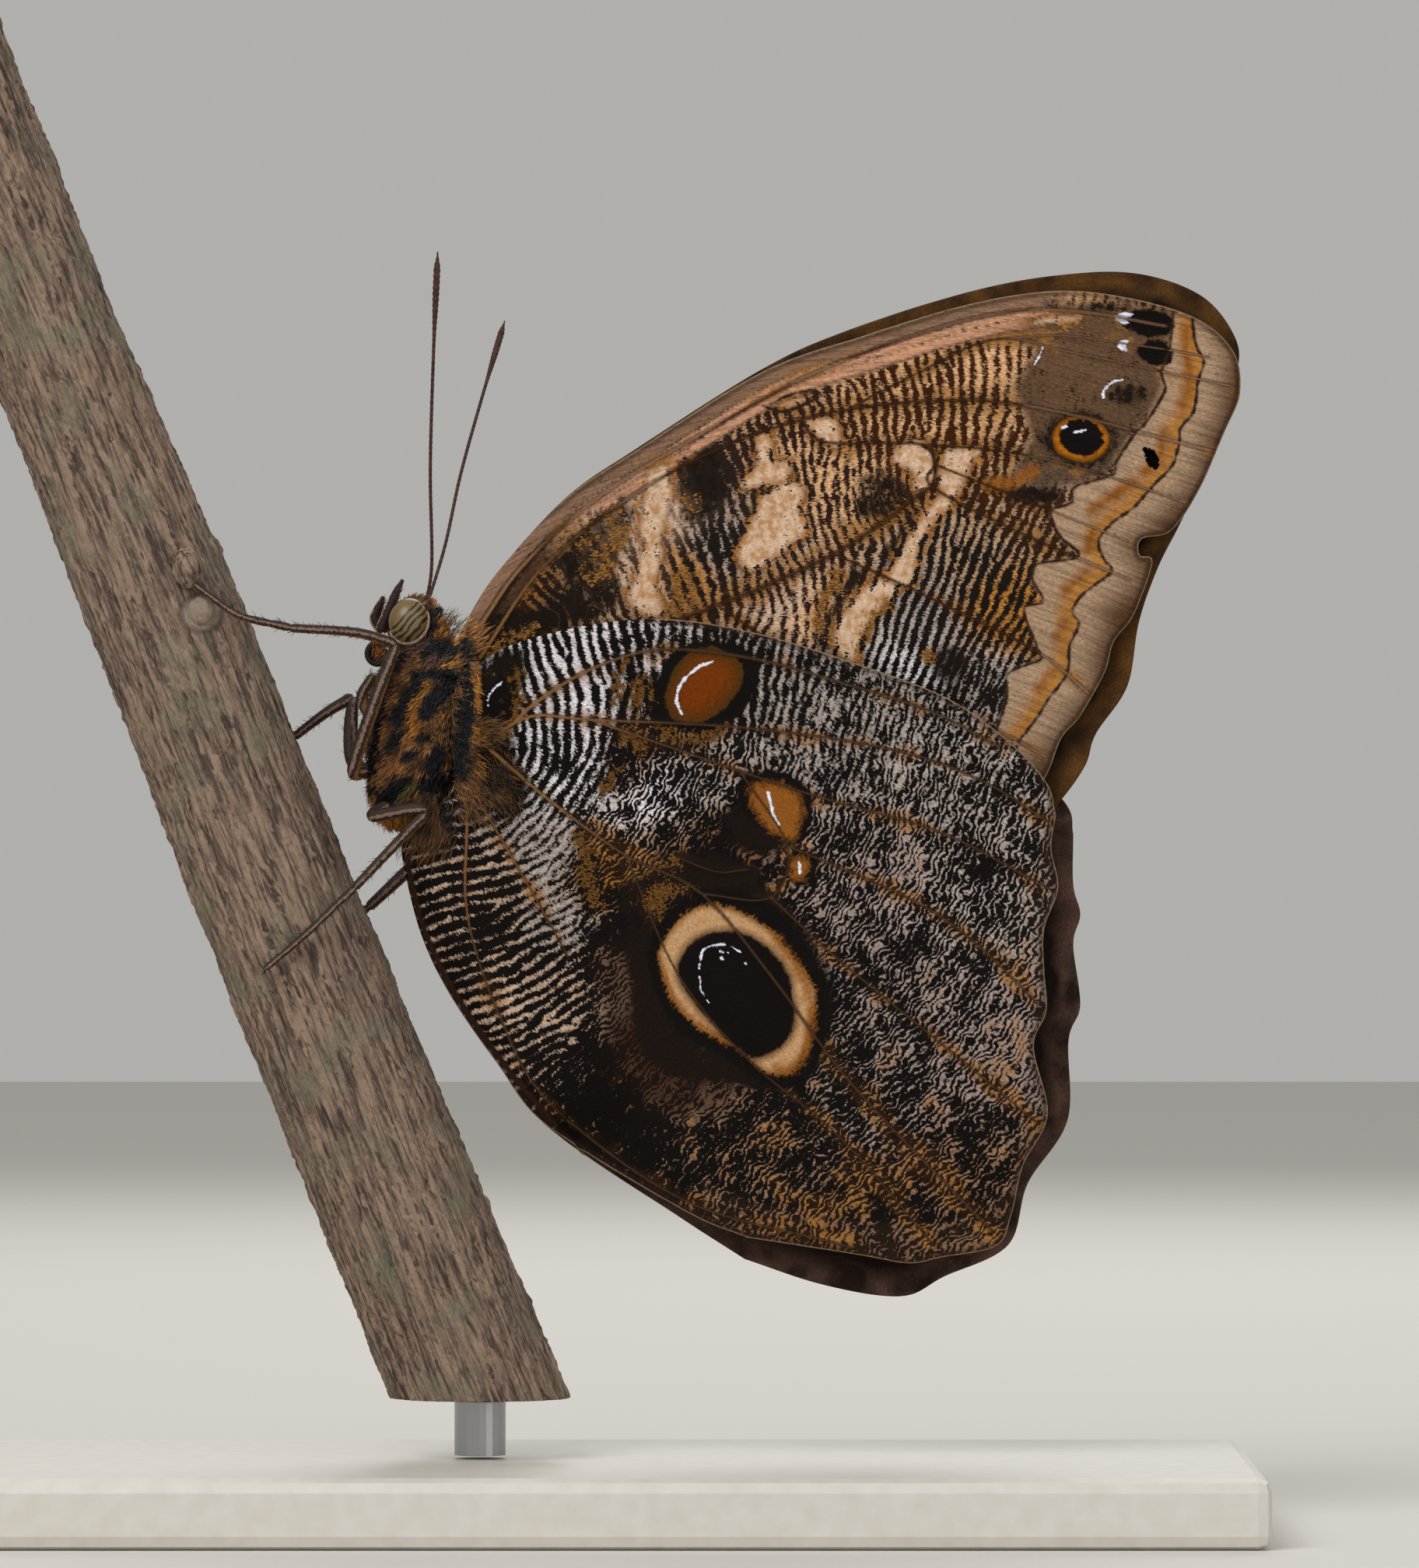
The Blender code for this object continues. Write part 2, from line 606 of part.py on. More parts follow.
def vein_lines(veins, edge):
    """Each vein's middle line, read evenly and stopped short of the wing's edge."""
    lines = []
    closed_edge = edge + edge[:1]
    for vein in veins.values():
        line = [point for point in spline(vein, 3.6, 3) if inside(point, edge)]
        lines.append([point for point in line if distance_to_line(point, closed_edge) > 0.75])
    return [line for line in lines if len(line) > 1]


def build_wing(name, edge_runs, veins, layer, side, parent):
    """A cambered membrane whose veins are ridges raised in both of its faces."""
    edge = []
    runs = [edge_runs["costa"], edge_runs["termen"], edge_runs["inner"]]
    for run, following, spacing in zip(runs, runs[1:] + runs[:1], (2.8, 1.7, 2.6)):
        edge += spline(run + following[:1], spacing)[:-1]
    lines = vein_lines(veins, edge)

    points = list(edge)
    edges = []
    for line in lines:
        for offset in (-1, 0, 1):
            first = len(points)
            for index, point in enumerate(line):
                ahead = line[min(index + 1, len(line) - 1)] - line[max(index - 1, 0)]
                across = Vector((-ahead.y, ahead.x)).normalized()
                width = VEIN_HALF_WIDTH * (1 - 0.35 * index / (len(line) - 1))
                points.append(point + across * offset * width)
            edges += [(index, index + 1) for index in range(first, len(points) - 1)]
    closed_edge = edge + edge[:1]
    low_x = min(point.x for point in edge)
    low_z = min(point.y for point in edge)
    high_x = max(point.x for point in edge)
    high_z = max(point.y for point in edge)
    x = low_x
    while x < high_x:
        spacing = 2.2 if x < 12 else 5.0
        z = low_z
        while z < high_z:
            here = Vector((x, z))
            clear_of_veins = all(distance_to_line(here, line) > 0.5 * spacing for line in lines)
            if inside(here, edge) and clear_of_veins and distance_to_line(here, closed_edge) > 0.5 * spacing:
                points.append(here)
            z += spacing
        x += spacing
    flat = delaunay_2d_cdt(points, edges, [list(range(len(edge)))], 1, 0.02)

    bm = bmesh.new()
    verts = [bm.verts.new((point.x, side * (layer + hug(point.x, point.y)), point.y)) for point in flat[0]]
    for face in flat[2]:
        bm.faces.new([verts[index] for index in face])
    bmesh.ops.remove_doubles(bm, verts=bm.verts, dist=0.12)
    bmesh.ops.dissolve_degenerate(bm, dist=0.02, edges=bm.edges)
    bmesh.ops.triangulate(bm, faces=bm.faces)
    bmesh.ops.recalc_face_normals(bm, faces=bm.faces)
    loose = [vert for vert in bm.verts if not vert.link_faces]
    bmesh.ops.delete(bm, geom=loose, context="VERTS")
    wing = place(name, mesh_of(bm, name), "wing scales", parent)

    crest = wing.vertex_groups.new(name="vein_crest")
    for vert in wing.data.vertices:
        here = Vector((vert.co.x, vert.co.z)) / MM
        nearest = min(distance_to_line(here, line) for line in lines)
        crest.add([vert.index], max(0.0, 1 - nearest / (0.6 * VEIN_HALF_WIDTH)), "REPLACE")
    thick = wing.modifiers.new("membrane", "SOLIDIFY")
    thick.thickness = (MEMBRANE + RIDGE) * MM
    thick.offset = 0.0
    thick.vertex_group = crest.name
    thick.thickness_vertex_group = MEMBRANE / (MEMBRANE + RIDGE)
    return wing


def build_twig(parent):
    """The cut length of twig, with a bud, the scar of a leaf stalk and a small knot."""
    points, radii = along([item[0] for item in TWIG_LINE], [item[1] for item in TWIG_LINE], 6.0)
    for index in range(len(radii)):
        radii[index] *= 1 + 0.012 * math.sin(2.3 * index) + 0.01 * math.sin(5.1 * index + 1)
    mesh = tube_mesh("perch_branch", points, radii, 6)
    bm = bmesh.new()
    bm.from_mesh(mesh)
    cut = bmesh.ops.bisect_plane(
        bm,
        geom=bm.verts[:] + bm.edges[:] + bm.faces[:],
        plane_co=(0, 0, TWIG_FOOT - BODY_Z),
        plane_no=(0, 0, -1),
        clear_outer=True,
    )
    rim = [item for item in cut["geom_cut"] if isinstance(item, bmesh.types.BMEdge)]
    bmesh.ops.contextual_create(bm, geom=rim)
    bmesh.ops.recalc_face_normals(bm, faces=bm.faces)
    bm.to_mesh(mesh)
    bm.free()
    twig = place("perch_branch", mesh, "bark", parent)
    bud = ellipsoid_mesh("bud", Vector((-20.0, -6.2, 13.2)), Vector((1.3, 1.5, 1.7)), 10, 8)
    scar = ellipsoid_mesh("scar", Vector((-18.9, -5.7, 9.6)), Vector((1.2, 0.9, 1.2)), 10, 8)
    knot = ellipsoid_mesh("knot", Vector((-18.4, -0.8, 14.6)), Vector((1.2, 1.6, 1.4)), 10, 8)
    fuse(twig, [bud, scar, knot])
    return twig


def build_stand():
    """A flat base with softened edges and the short rod under the twig's cut foot."""
    bm = bmesh.new()
    bmesh.ops.create_cube(bm, size=1.0)
    bmesh.ops.scale(bm, vec=BASE_SIZE, verts=bm.verts)
    bmesh.ops.translate(bm, vec=(0, 0, BASE_SIZE.z / 2), verts=bm.verts)
    place("stand_base", mesh_of(bm, "stand_base"), "painted wood", smooth=False)
    base = bpy.data.objects["stand_base"]
    soften = base.modifiers.new("edges", "BEVEL")
    soften.width = BASE_EDGE * MM
    soften.segments = 2

    foot = BASE_SIZE.z + GAP
    top = TWIG_FOOT - GAP
    line = [Vector(item[0]) for item in TWIG_LINE]
    share = (TWIG_FOOT - BODY_Z - line[-2].z) / (line[-1].z - line[-2].z)
    rod_x = BODY_X + line[-2].lerp(line[-1], share).x
    bm = bmesh.new()
    bmesh.ops.create_cone(
        bm, cap_ends=True, segments=24, radius1=ROD_RADIUS, radius2=ROD_RADIUS, depth=top - foot
    )
    bmesh.ops.translate(bm, vec=(rod_x, 0, (foot + top) / 2), verts=bm.verts)
    place("stand_rod", mesh_of(bm, "stand_rod"), "steel")


def main():
    for obj in list(bpy.data.objects):
        bpy.data.objects.remove(obj)
    for name in ("owl_butterfly", "cutters"):
        group = bpy.data.collections.new(name)
        bpy.context.scene.collection.children.link(group)
    middle = bpy.data.objects.new("thorax_middle", None)
    middle.location = Vector((BODY_X, 0, BODY_Z)) * MM
    bpy.data.collections["owl_butterfly"].objects.link(middle)
    bpy.context.view_layer.update()

    build_stand()
    twig = build_twig(middle)
    proboscis = build_proboscis(middle)
    head = build_head(middle, proboscis)
    thorax = build_thorax(middle, [head, proboscis])
    build_abdomen(middle, thorax)
    build_eye("eye_left", -1, middle)
    build_eye("eye_right", 1, middle)
    for name, line in PALP_LINES.items():
        points, radii = along(line, PALP_RADII, 0.8)
        palp = place(name, tube_mesh(name, points, radii), "body fur", middle)
        cut_clear(palp, head)
    for name in ANTENNA_LINES:
        antenna = build_antenna(name, middle)
        cut_clear(antenna, head)
    for name in LEGS:
        build_leg(name, middle, [thorax, twig])
    wings = (
        ("forewing_left", FOREWING_EDGE, FOREWING_VEINS, FOREWING_LAYER, -1),
        ("forewing_right", FAR_FOREWING_EDGE, FOREWING_VEINS, FOREWING_LAYER, 1),
        ("hindwing_left", HINDWING_EDGE, HINDWING_VEINS, HINDWING_LAYER, -1),
        ("hindwing_right", FAR_HINDWING_EDGE, HINDWING_VEINS, HINDWING_LAYER, 1),
    )
    for name, edge, veins, layer, side in wings:
        build_wing(name, edge, veins, layer, side, middle)


main()
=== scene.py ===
"""Looks of the owl butterfly that rests on a cut twig, wings closed, on its display stand.

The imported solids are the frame. Each piece here replaces or dresses one of them at the same
place. Sizes are in millimetres from the middle of the thorax, X towards the wing tips and Z up,
and become metres of the frame where a mesh is made. The left wings face -Y and the camera.
"""

import logging
import math
from dataclasses import dataclass, field
from enum import Enum

import bmesh
import bpy
import numpy as np
from mathutils import Matrix, Vector, noise
from mathutils.geometry import delaunay_2d_cdt
from mathutils.kdtree import KDTree

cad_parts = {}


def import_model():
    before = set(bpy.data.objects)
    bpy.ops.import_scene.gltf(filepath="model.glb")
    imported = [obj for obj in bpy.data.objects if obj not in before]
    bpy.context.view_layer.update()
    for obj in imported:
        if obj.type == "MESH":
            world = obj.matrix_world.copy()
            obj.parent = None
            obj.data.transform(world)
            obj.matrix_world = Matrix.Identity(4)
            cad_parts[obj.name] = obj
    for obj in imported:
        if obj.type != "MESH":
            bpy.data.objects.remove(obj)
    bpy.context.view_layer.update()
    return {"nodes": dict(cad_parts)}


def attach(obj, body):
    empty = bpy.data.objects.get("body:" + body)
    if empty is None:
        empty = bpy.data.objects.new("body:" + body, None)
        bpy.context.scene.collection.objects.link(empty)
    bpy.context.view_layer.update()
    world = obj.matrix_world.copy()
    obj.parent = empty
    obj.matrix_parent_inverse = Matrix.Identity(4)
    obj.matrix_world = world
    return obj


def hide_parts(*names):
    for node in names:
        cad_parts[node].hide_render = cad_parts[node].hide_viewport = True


LOG = logging.getLogger("owl_butterfly")

MM = 0.001
PER_MM = 1000.0  # scale of a noise with a grain of one millimetre
BODY = Vector((-11.3, 0.0, 69.0))  # middle of the thorax, from the middle of the stand's foot
CLOSE = 0.04  # spacing of a finely read line

Line = tuple[tuple[float, ...], ...]


class Hue(Enum):
    """Colours of the scales, fur and wood, as sRGB hex."""

    INK = "#0d0907"
    SOOT = "#17100c"
    UMBER = "#2a1810"
    BROWN = "#45301f"
    HAZEL = "#523823"
    TAN = "#846550"
    SAND = "#a5886d"
    CREAM = "#cfb094"
    BONE = "#b89c86"
    ASH = "#9a8f88"
    LILAC = "#cfcacc"
    ROSE = "#bf8c6e"
    MAUVE = "#90807a"
    WOOD = "#3a2618"
    APRICOT = "#a8702e"
    CLAY = "#6c472e"
    PEACH = "#c4986f"
    RUST = "#74481c"
    OCHRE = "#8f6226"
    WHEAT = "#bd9469"
    AMBER = "#6f3203"
    FLAME = "#b0660e"
    EMBER = "#3a1c06"
    CHALK = "#dfe2f0"
    FRINGE = "#8f7a5e"


def channel(value: float) -> float:
    """One sRGB channel from 0 to 1 as linear light."""
    return value / 12.92 if value <= 0.04045 else ((value + 0.055) / 1.055) ** 2.4


def rgb(hex_colour: str | Hue) -> tuple[float, float, float, float]:
    """Turns an sRGB hex colour to linear light.

    Args:
        hex_colour: "#rrggbb", or a named hue.

    Returns:
        Red, green, blue and an alpha of 1.
    """
    text = hex_colour.value if isinstance(hex_colour, Hue) else hex_colour
    red, green, blue = (channel(int(text[i : i + 2], 16) / 255) for i in (1, 3, 5))
    return red, green, blue, 1.0


def feed(socket: bpy.types.NodeSocket, value: object) -> None:
    """Gives a socket its value.

    Args:
        socket: An input of a shader node.
        value: A node or a socket, which is linked, or a colour or a plain value, which is set.
            A node gives its first output, or its colour if it mixes colours.
    """
    if isinstance(value, bpy.types.Node):
        value = value.outputs[2 if getattr(value, "data_type", "") == "RGBA" else 0]
    if isinstance(value, bpy.types.NodeSocket):
        socket.id_data.links.new(value, socket)
    else:
        socket.default_value = rgb(value) if isinstance(value, (str, Hue)) else value


def add_node(tree: bpy.types.NodeTree, kind: str, inputs: dict | None = None, **settings) -> bpy.types.Node:
    """Adds a shader node with its settings and links.

    Args:
        tree: The material's node tree.
        kind: The node's type without its ShaderNode prefix.
        inputs: Values by socket name or number, as feed takes them.
        settings: The node's own properties.

    Returns:
        The new node.
    """
    node = tree.nodes.new("ShaderNode" + kind)
    for name, value in settings.items():
        setattr(node, name, value)
    for key, value in (inputs or {}).items():
        feed(node.inputs[key], value)
    return node


def new_material(name: str, roughness: float, **sockets) -> tuple[bpy.types.NodeTree, bpy.types.NodeSocket]:
    """A material with one Principled shader.

    Args:
        name: What the real material is.
        roughness: The shader's roughness.
        sockets: More of the shader's sockets, with _ for a space.

    Returns:
        The node tree, and the place on the object, in metres, for its textures.
    """
    material = bpy.data.materials.new(name)
    material.use_nodes = True
    tree = material.node_tree
    for key, value in {"Roughness": roughness, **sockets}.items():
        feed(tree.nodes["Principled BSDF"].inputs[key.replace("_", " ")], value)
    return tree, add_node(tree, "TexCoord").outputs["Object"]


def finish_material(
    name: str, colour: object, height: object = None, depth: float = 0.0, strength: float = 1.0
) -> bpy.types.Material:
    """Links a material's colour and its bump.

    Args:
        name: The material's name.
        colour: The base colour, or None if it is set.
        height: What raises the surface, or None if it is smooth.
        depth: How far that raises it, in millimetres.
        strength: The bump's strength.

    Returns:
        The material.
    """
    material = bpy.data.materials[name]
    tree = material.node_tree
    sockets = tree.nodes["Principled BSDF"].inputs
    if colour:
        feed(sockets["Base Color"], colour)
    if height:
        bump = add_node(tree, "Bump", {"Height": height, "Distance": depth * MM, "Strength": strength})
        feed(sockets["Normal"], bump)
    return material


def ramp(value: np.ndarray | float, low: float, high: float) -> np.ndarray | float:
    """0 below low, 1 above high, and a smooth rise between."""
    share = np.clip((value - low) / (high - low), 0.0, 1.0)
    return share * share * (3.0 - 2.0 * share)


def smooth_line(points: Line | np.ndarray, spacing: float, least: int = 2) -> np.ndarray:
    """A smooth curve through the points, read evenly, as the solids have it.

    Args:
        points: The points to pass through, of any dimension.
        spacing: Distance between the points read.
        least: The fewest points to read.

    Returns:
        An array with one row for each point, both ends kept.
    """
    given = np.array(points, float)
    knots = np.vstack([2 * given[0] - given[1], given, 2 * given[-1] - given[-2]])
    t = np.linspace(0, 1, 12, endpoint=False)[:, None]
    pieces = []
    for before, start, end, after in zip(knots, knots[1:], knots[2:], knots[3:]):
        pieces.append(
            start * (2 * t**3 - 3 * t**2 + 1)
            + (end - before) / 2 * (t**3 - 2 * t**2 + t)
            + end * (3 * t**2 - 2 * t**3)
            + (after - start) / 2 * (t**3 - t**2)
        )
    fine = np.vstack([*pieces, given[-1:]])
    travelled = np.concatenate([[0.0], np.cumsum(np.linalg.norm(np.diff(fine, axis=0), axis=1))])
    count = max(least, round(travelled[-1] / spacing) + 1)
    wanted = np.linspace(0, travelled[-1], count)
    return np.column_stack([np.interp(wanted, travelled, column) for column in fine.T])


def distance_to(points: np.ndarray, line: np.ndarray) -> np.ndarray:
    """Distance from each point to an open polyline.

    Args:
        points: One point in each row.
        line: The polyline's points, of the same dimension.

    Returns:
        The distances.
    """
    best = np.full(len(points), np.inf)
    for start, end in zip(line, line[1:]):
        way = end - start
        share = np.clip((points - start) @ way / max(way @ way, 1e-12), 0.0, 1.0)
        best = np.minimum(best, np.linalg.norm(points - start - share[:, None] * way, axis=1))
    return best


def inside(points: np.ndarray, loop: np.ndarray) -> np.ndarray:
    """Which of the plane's points lie inside a closed loop.

    Args:
        points: One point of the plane in each row.
        loop: The loop's points, its first not repeated.

    Returns:
        True for each point inside.
    """
    within = np.zeros(len(points), bool)
    for start, end in zip(loop, np.roll(loop, -1, axis=0)):
        if start[1] == end[1]:
            continue
        level = (start[1] > points[:, 1]) != (end[1] > points[:, 1])
        meets = start[0] + (points[:, 1] - start[1]) * (end[0] - start[0]) / (end[1] - start[1])
        within ^= level & (meets > points[:, 0])
    return within


def depth_in(points: np.ndarray, loop: np.ndarray) -> np.ndarray:
    """How far inside a closed loop each point lies, negative outside."""
    away = distance_to(points, np.vstack([loop, loop[:1]]))
    return np.where(inside(points, loop), away, -away)


def nearest(points: np.ndarray, lines: list[np.ndarray]) -> tuple[np.ndarray, np.ndarray]:
    """The closest of several finely read lines.

    Args:
        points: One point of the plane in each row.
        lines: Lines whose own points lie close together.

    Returns:
        The distance from each point to the closest line, and that line's number.
    """
    tree = KDTree(sum(len(line) for line in lines))
    for number, line in enumerate(lines):
        for x, z in line:
            tree.insert((x, z, 0.0), number)
    tree.balance()
    found = [tree.find((x, z, 0.0)) for x, z in points]
    return np.array([item[2] for item in found]), np.array([item[1] for item in found], int)


def add_piece(
    name: str, mesh: bpy.types.Mesh, nodes: tuple[str, ...], material: bpy.types.Material,
    smooth: bool = True,
) -> bpy.types.Object:
    """Puts a finished mesh into the scene for the solids that it stands for.

    Args:
        name: The piece's name.
        mesh: Its mesh, in metres of the frame.
        nodes: The solids that it replaces.
        material: Its finish.
        smooth: Whether its faces are shaded smooth.

    Returns:
        The object, at the origin and riding on the one body.
    """
    if smooth:
        mesh.shade_smooth()
    mesh.materials.append(material)
    piece = bpy.data.objects.new(name, mesh)
    bpy.context.scene.collection.objects.link(piece)
    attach(piece, "root")
    if nodes:
        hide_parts(*nodes)
    LOG.info("%s: %d faces", name, len(mesh.polygons))
    return piece


def to_frame(bm: bmesh.types.BMesh, name: str) -> bpy.types.Mesh:
    """Moves a bmesh from the body's millimetres to the frame's metres, and frees it.

    Args:
        bm: The bmesh.
        name: The mesh's name.

    Returns:
        The mesh.
    """
    bmesh.ops.translate(bm, vec=BODY, verts=bm.verts)
    bmesh.ops.scale(bm, vec=(MM, MM, MM), verts=bm.verts)
    mesh = bpy.data.meshes.new(name)
    bm.to_mesh(mesh)
    bm.free()
    return mesh


def write_values(mesh: bpy.types.Mesh, name: str, values: np.ndarray, kind: str = "FLOAT") -> None:
    """Writes one attribute that a finish reads.

    Args:
        mesh: The mesh.
        name: The attribute's name.
        values: A number, a colour or a vector for each vertex.
        kind: The attribute's type.
    """
    key = {"FLOAT": "value", "FLOAT_COLOR": "color", "FLOAT_VECTOR": "vector"}[kind]
    mesh.attributes.new(name, kind, "POINT").data.foreach_set(key, values.astype(np.float32).ravel())


def write_uv(mesh: bpy.types.Mesh, at: np.ndarray) -> None:
    """Writes the coordinates that a bake uses.

    Args:
        mesh: The mesh.
        at: Each vertex's place on the sheet.
    """
    loops = np.array([loop.vertex_index for loop in mesh.loops])
    mesh.uv_layers.new(name="OFBake").data.foreach_set("uv", at[loops].astype(np.float32).ravel())


def cut_flat(bm: bmesh.types.BMesh, place: tuple[float, ...], away: tuple[float, ...]) -> None:
    """Cuts a closed form along a plane and closes it there.

    Args:
        bm: The bmesh.
        place: A point of the plane.
        away: The direction towards what is cut off.
    """
    cut = bmesh.ops.bisect_plane(
        bm, geom=bm.verts[:] + bm.edges[:] + bm.faces[:], plane_co=place, plane_no=away, clear_outer=True
    )
    rim = [item for item in cut["geom_cut"] if isinstance(item, bmesh.types.BMEdge)]
    bmesh.ops.contextual_create(bm, geom=rim)


# Wings. Each edge runs from root to apex, down the outer edge and back along the inner edge.
FOREWING_EDGE = {
    "costa": (
        (2.4, 5.6), (3.5, 8.3), (6.3, 12.9), (12.1, 19.2), (18.1, 23.3), (29.0, 30.1), (37.7, 33.2),
        (46.3, 35.8), (53.5, 37.0), (59.5, 36.6), (65.9, 34.8), (69.3, 31.9), (69.9, 28.3),
    ),
    "termen": (
        (68.6, 25.0), (66.4, 20.0), (64.0, 16.5), (61.5, 15.8), (61.3, 14.4), (62.4, 13.8),
        (60.8, 9.3), (59.1, 7.0), (58.3, 4.3), (56.2, 0.6), (54.6, -1.3), (53.3, -4.5), (51.1, -7.5),
    ),
    "inner": ((43.7, -5.9), (27.7, -2.1), (10.3, 1.0), (4.7, 1.9)),
}
FAR_FOREWING_EDGE = {
    "costa": (
        (2.4, 5.6), (3.5, 8.3), (6.3, 12.9), (12.1, 19.3), (18.1, 23.5), (29.0, 30.4), (36.3, 33.7),
        (46.3, 36.9), (54.0, 38.4), (61.0, 38.6), (66.6, 36.7), (69.5, 33.2), (69.7, 30.0),
    ),
    "termen": (
        (67.9, 23.9), (65.0, 17.5), (62.9, 13.3), (61.3, 8.7), (60.3, 3.2), (57.6, -0.9), (56.7, -3.6),
        (54.6, -6.6), (52.3, -8.8),
    ),
    "inner": ((43.7, -6.7), (27.7, -2.7), (10.3, 0.8), (4.7, 1.9)),
}
HINDWING_EDGE = {
    "costa": (
        (3.7, 3.9), (7.1, 6.5), (14.2, 8.4), (21.0, 8.9), (28.9, 7.6), (37.9, 4.8), (44.9, 2.1),
        (50.0, -1.5), (53.3, -5.1),
    ),
    "termen": (
        (54.1, -7.9), (53.7, -10.7), (54.3, -14.1), (53.1, -17.6), (53.1, -21.2), (53.3, -24.6),
        (52.2, -27.7), (53.4, -33.5), (51.3, -37.8), (50.3, -42.0), (49.0, -44.7), (44.3, -45.7),
        (41.5, -46.2), (37.3, -45.5),
    ),
    "inner": (
        (27.7, -44.0), (22.3, -41.7), (10.9, -34.6), (6.3, -28.9), (2.3, -23.1), (-0.1, -18.1),
        (-1.5, -12.8), (-1.7, -10.3), (-0.5, -8.0), (2.7, -5.3),
    ),
}
FAR_HINDWING_EDGE = {
    "costa": (
        (3.7, 3.9), (7.1, 6.5), (14.2, 8.3), (21.0, 8.6), (28.9, 7.1), (37.9, 4.4), (44.9, 1.7),
        (50.0, -1.9), (55.0, -6.8),
    ),
    "termen": (
        (55.7, -9.5), (55.7, -13.9), (56.3, -16.4), (55.7, -19.0), (56.3, -24.2), (55.3, -27.2),
        (55.2, -34.1), (51.8, -39.5), (50.1, -44.8), (44.6, -47.5), (40.9, -49.2), (34.2, -48.2),
    ),
    "inner": (
        (27.5, -46.0), (22.1, -42.5), (10.9, -34.9), (6.4, -29.1), (2.5, -23.4), (0.1, -18.3),
        (-1.3, -13.1), (-1.6, -10.5), (-0.5, -8.0), (2.7, -5.3),
    ),
}
# A vein's number is the half width of the line that its scales draw.
FOREWING_VEINS = (
    (0.22, ((4.6, 8.0), (8.4, 13.4), (15.3, 19.6), (25.6, 25.8), (34.6, 30.5), (46.4, 34.5), (54.5, 35.4),
            (63.7, 34.0))),
    (0.2, ((4.8, 5.6), (9.7, 12.8), (16.3, 18.4), (23.7, 22.8), (32.3, 26.0), (41.7, 27.5), (51.7, 27.2),
           (67.6, 23.3))),
    (0.3, ((5.6, 4.2), (17.0, 7.2), (25.1, 10.1), (35.1, 14.5), (43.5, 20.3))),
    (0.16, (
        (32.3, 26.0), (34.4, 24.1), (42.6, 23.9), (43.7, 22.2), (43.5, 20.3), (50.3, 16.7), (60.4, 12.3),
    )),
    (0.14, ((36.3, 26.9), (42.3, 30.0), (49.0, 32.9), (55.8, 31.7), (69.0, 28.9))),
    (0.13, ((49.0, 32.9), (54.5, 33.2), (60.9, 32.4), (67.2, 31.4))),
    (0.14, ((42.6, 23.9), (50.3, 23.2), (58.2, 21.3), (65.2, 18.9))),
    (0.13, ((43.7, 22.2), (55.0, 17.7), (60.3, 15.6))),
    (0.17, ((35.1, 14.5), (43.9, 10.5), (52.7, 6.0), (57.0, 2.5))),
    (0.15, ((25.1, 10.1), (31.8, 6.1), (47.7, 0.0), (53.3, -2.9))),
    (0.14, ((6.0, 3.4), (11.3, 3.2), (23.7, 0.6), (37.0, -2.6), (50.3, -6.4))),
)
HINDWING_VEINS = (
    (0.2, ((7.7, 0.0), (9.5, 1.7), (14.3, 4.6), (20.3, 6.3), (28.3, 5.5), (35.9, 3.4), (43.2, 1.1),
           (49.2, -2.0))),
    (0.16, ((5.7, -1.2), (9.3, 0.6), (14.3, 0.3), (27.5, -0.4), (39.9, -2.2), (47.7, -4.9), (53.4, -8.4))),
    (0.15, ((14.3, 0.3), (23.3, -2.8), (33.1, -6.1), (44.1, -9.3), (53.6, -14.2))),
    (0.12, ((27.2, -4.3), (31.1, -10.5), (29.7, -14.9), (23.8, -14.6))),
    (0.15, ((31.1, -10.5), (41.0, -14.7), (46.6, -18.3), (52.6, -24.0))),
    (0.13, ((29.7, -14.9), (35.7, -20.4), (44.9, -27.9), (52.5, -34.2))),
    (0.18, ((5.7, -2.3), (10.4, -6.3), (17.3, -11.3), (23.8, -14.6), (30.1, -22.1), (37.0, -31.3),
            (48.6, -43.4))),
    (0.12, ((17.3, -11.3), (21.7, -21.3), (27.7, -28.7), (35.7, -35.5), (43.6, -44.6))),
    (0.16, (
        (3.9, -4.2), (3.7, -8.9), (3.9, -16.9), (6.9, -25.7), (11.3, -32.8), (22.3, -40.8), (36.5, -44.8),
    )),
    (0.12, ((4.1, -5.5), (6.5, -9.8), (9.7, -15.3), (12.3, -20.0))),
    (0.1, ((21.8, -11.5), (25.1, -12.7), (27.8, -12.5))),
)
TEAR = ((61.6, 23.7), (62.7, 23.2), (63.0, 21.9), (62.3, 21.9), (61.7, 22.9))  # hole in the near forewing

# Where the wings pass the body, as in the solids.
ABDOMEN_LINE = ((1.0, 0, -7.4), (2.4, 0, -13.0), (4.6, 0, -19.0), (7.6, 0, -25.0), (11.0, 0, -30.6))
FOREWING_LAYER = 0.65  # of a wing's middle from the body's middle plane
HINDWING_LAYER = 1.9
THORAX_DEEP = 5.0
THORAX_LONG = 8.9
THORAX_HUG = 3.0
ABDOMEN_HUG = 2.3


def hug(x: np.ndarray, z: np.ndarray) -> np.ndarray:
    """How far the wings stand out at places of their plane, to pass the thorax and the abdomen.

    Args:
        x: The places' X.
        z: The places' Z.

    Returns:
        Millimetres outwards from each wing's own layer.
    """
    round_thorax = THORAX_HUG * (1 - ramp(np.hypot(x / THORAX_DEEP, z / THORAX_LONG), 0.45, 2.3))
    line = np.array(ABDOMEN_LINE)[:, [0, 2]]
    away = distance_to(np.column_stack([x, z]), line)
    reach = np.where(x < 1.0 + (-7.4 - z) * 0.43, 5.2, 8.0)
    share = np.clip((away - 0.8) / (reach - 0.8), 0, 1)
    round_abdomen = ABDOMEN_HUG * (1 - share * share * (3 - 2 * share))
    return (round_thorax**4 + round_abdomen**4) ** 0.25


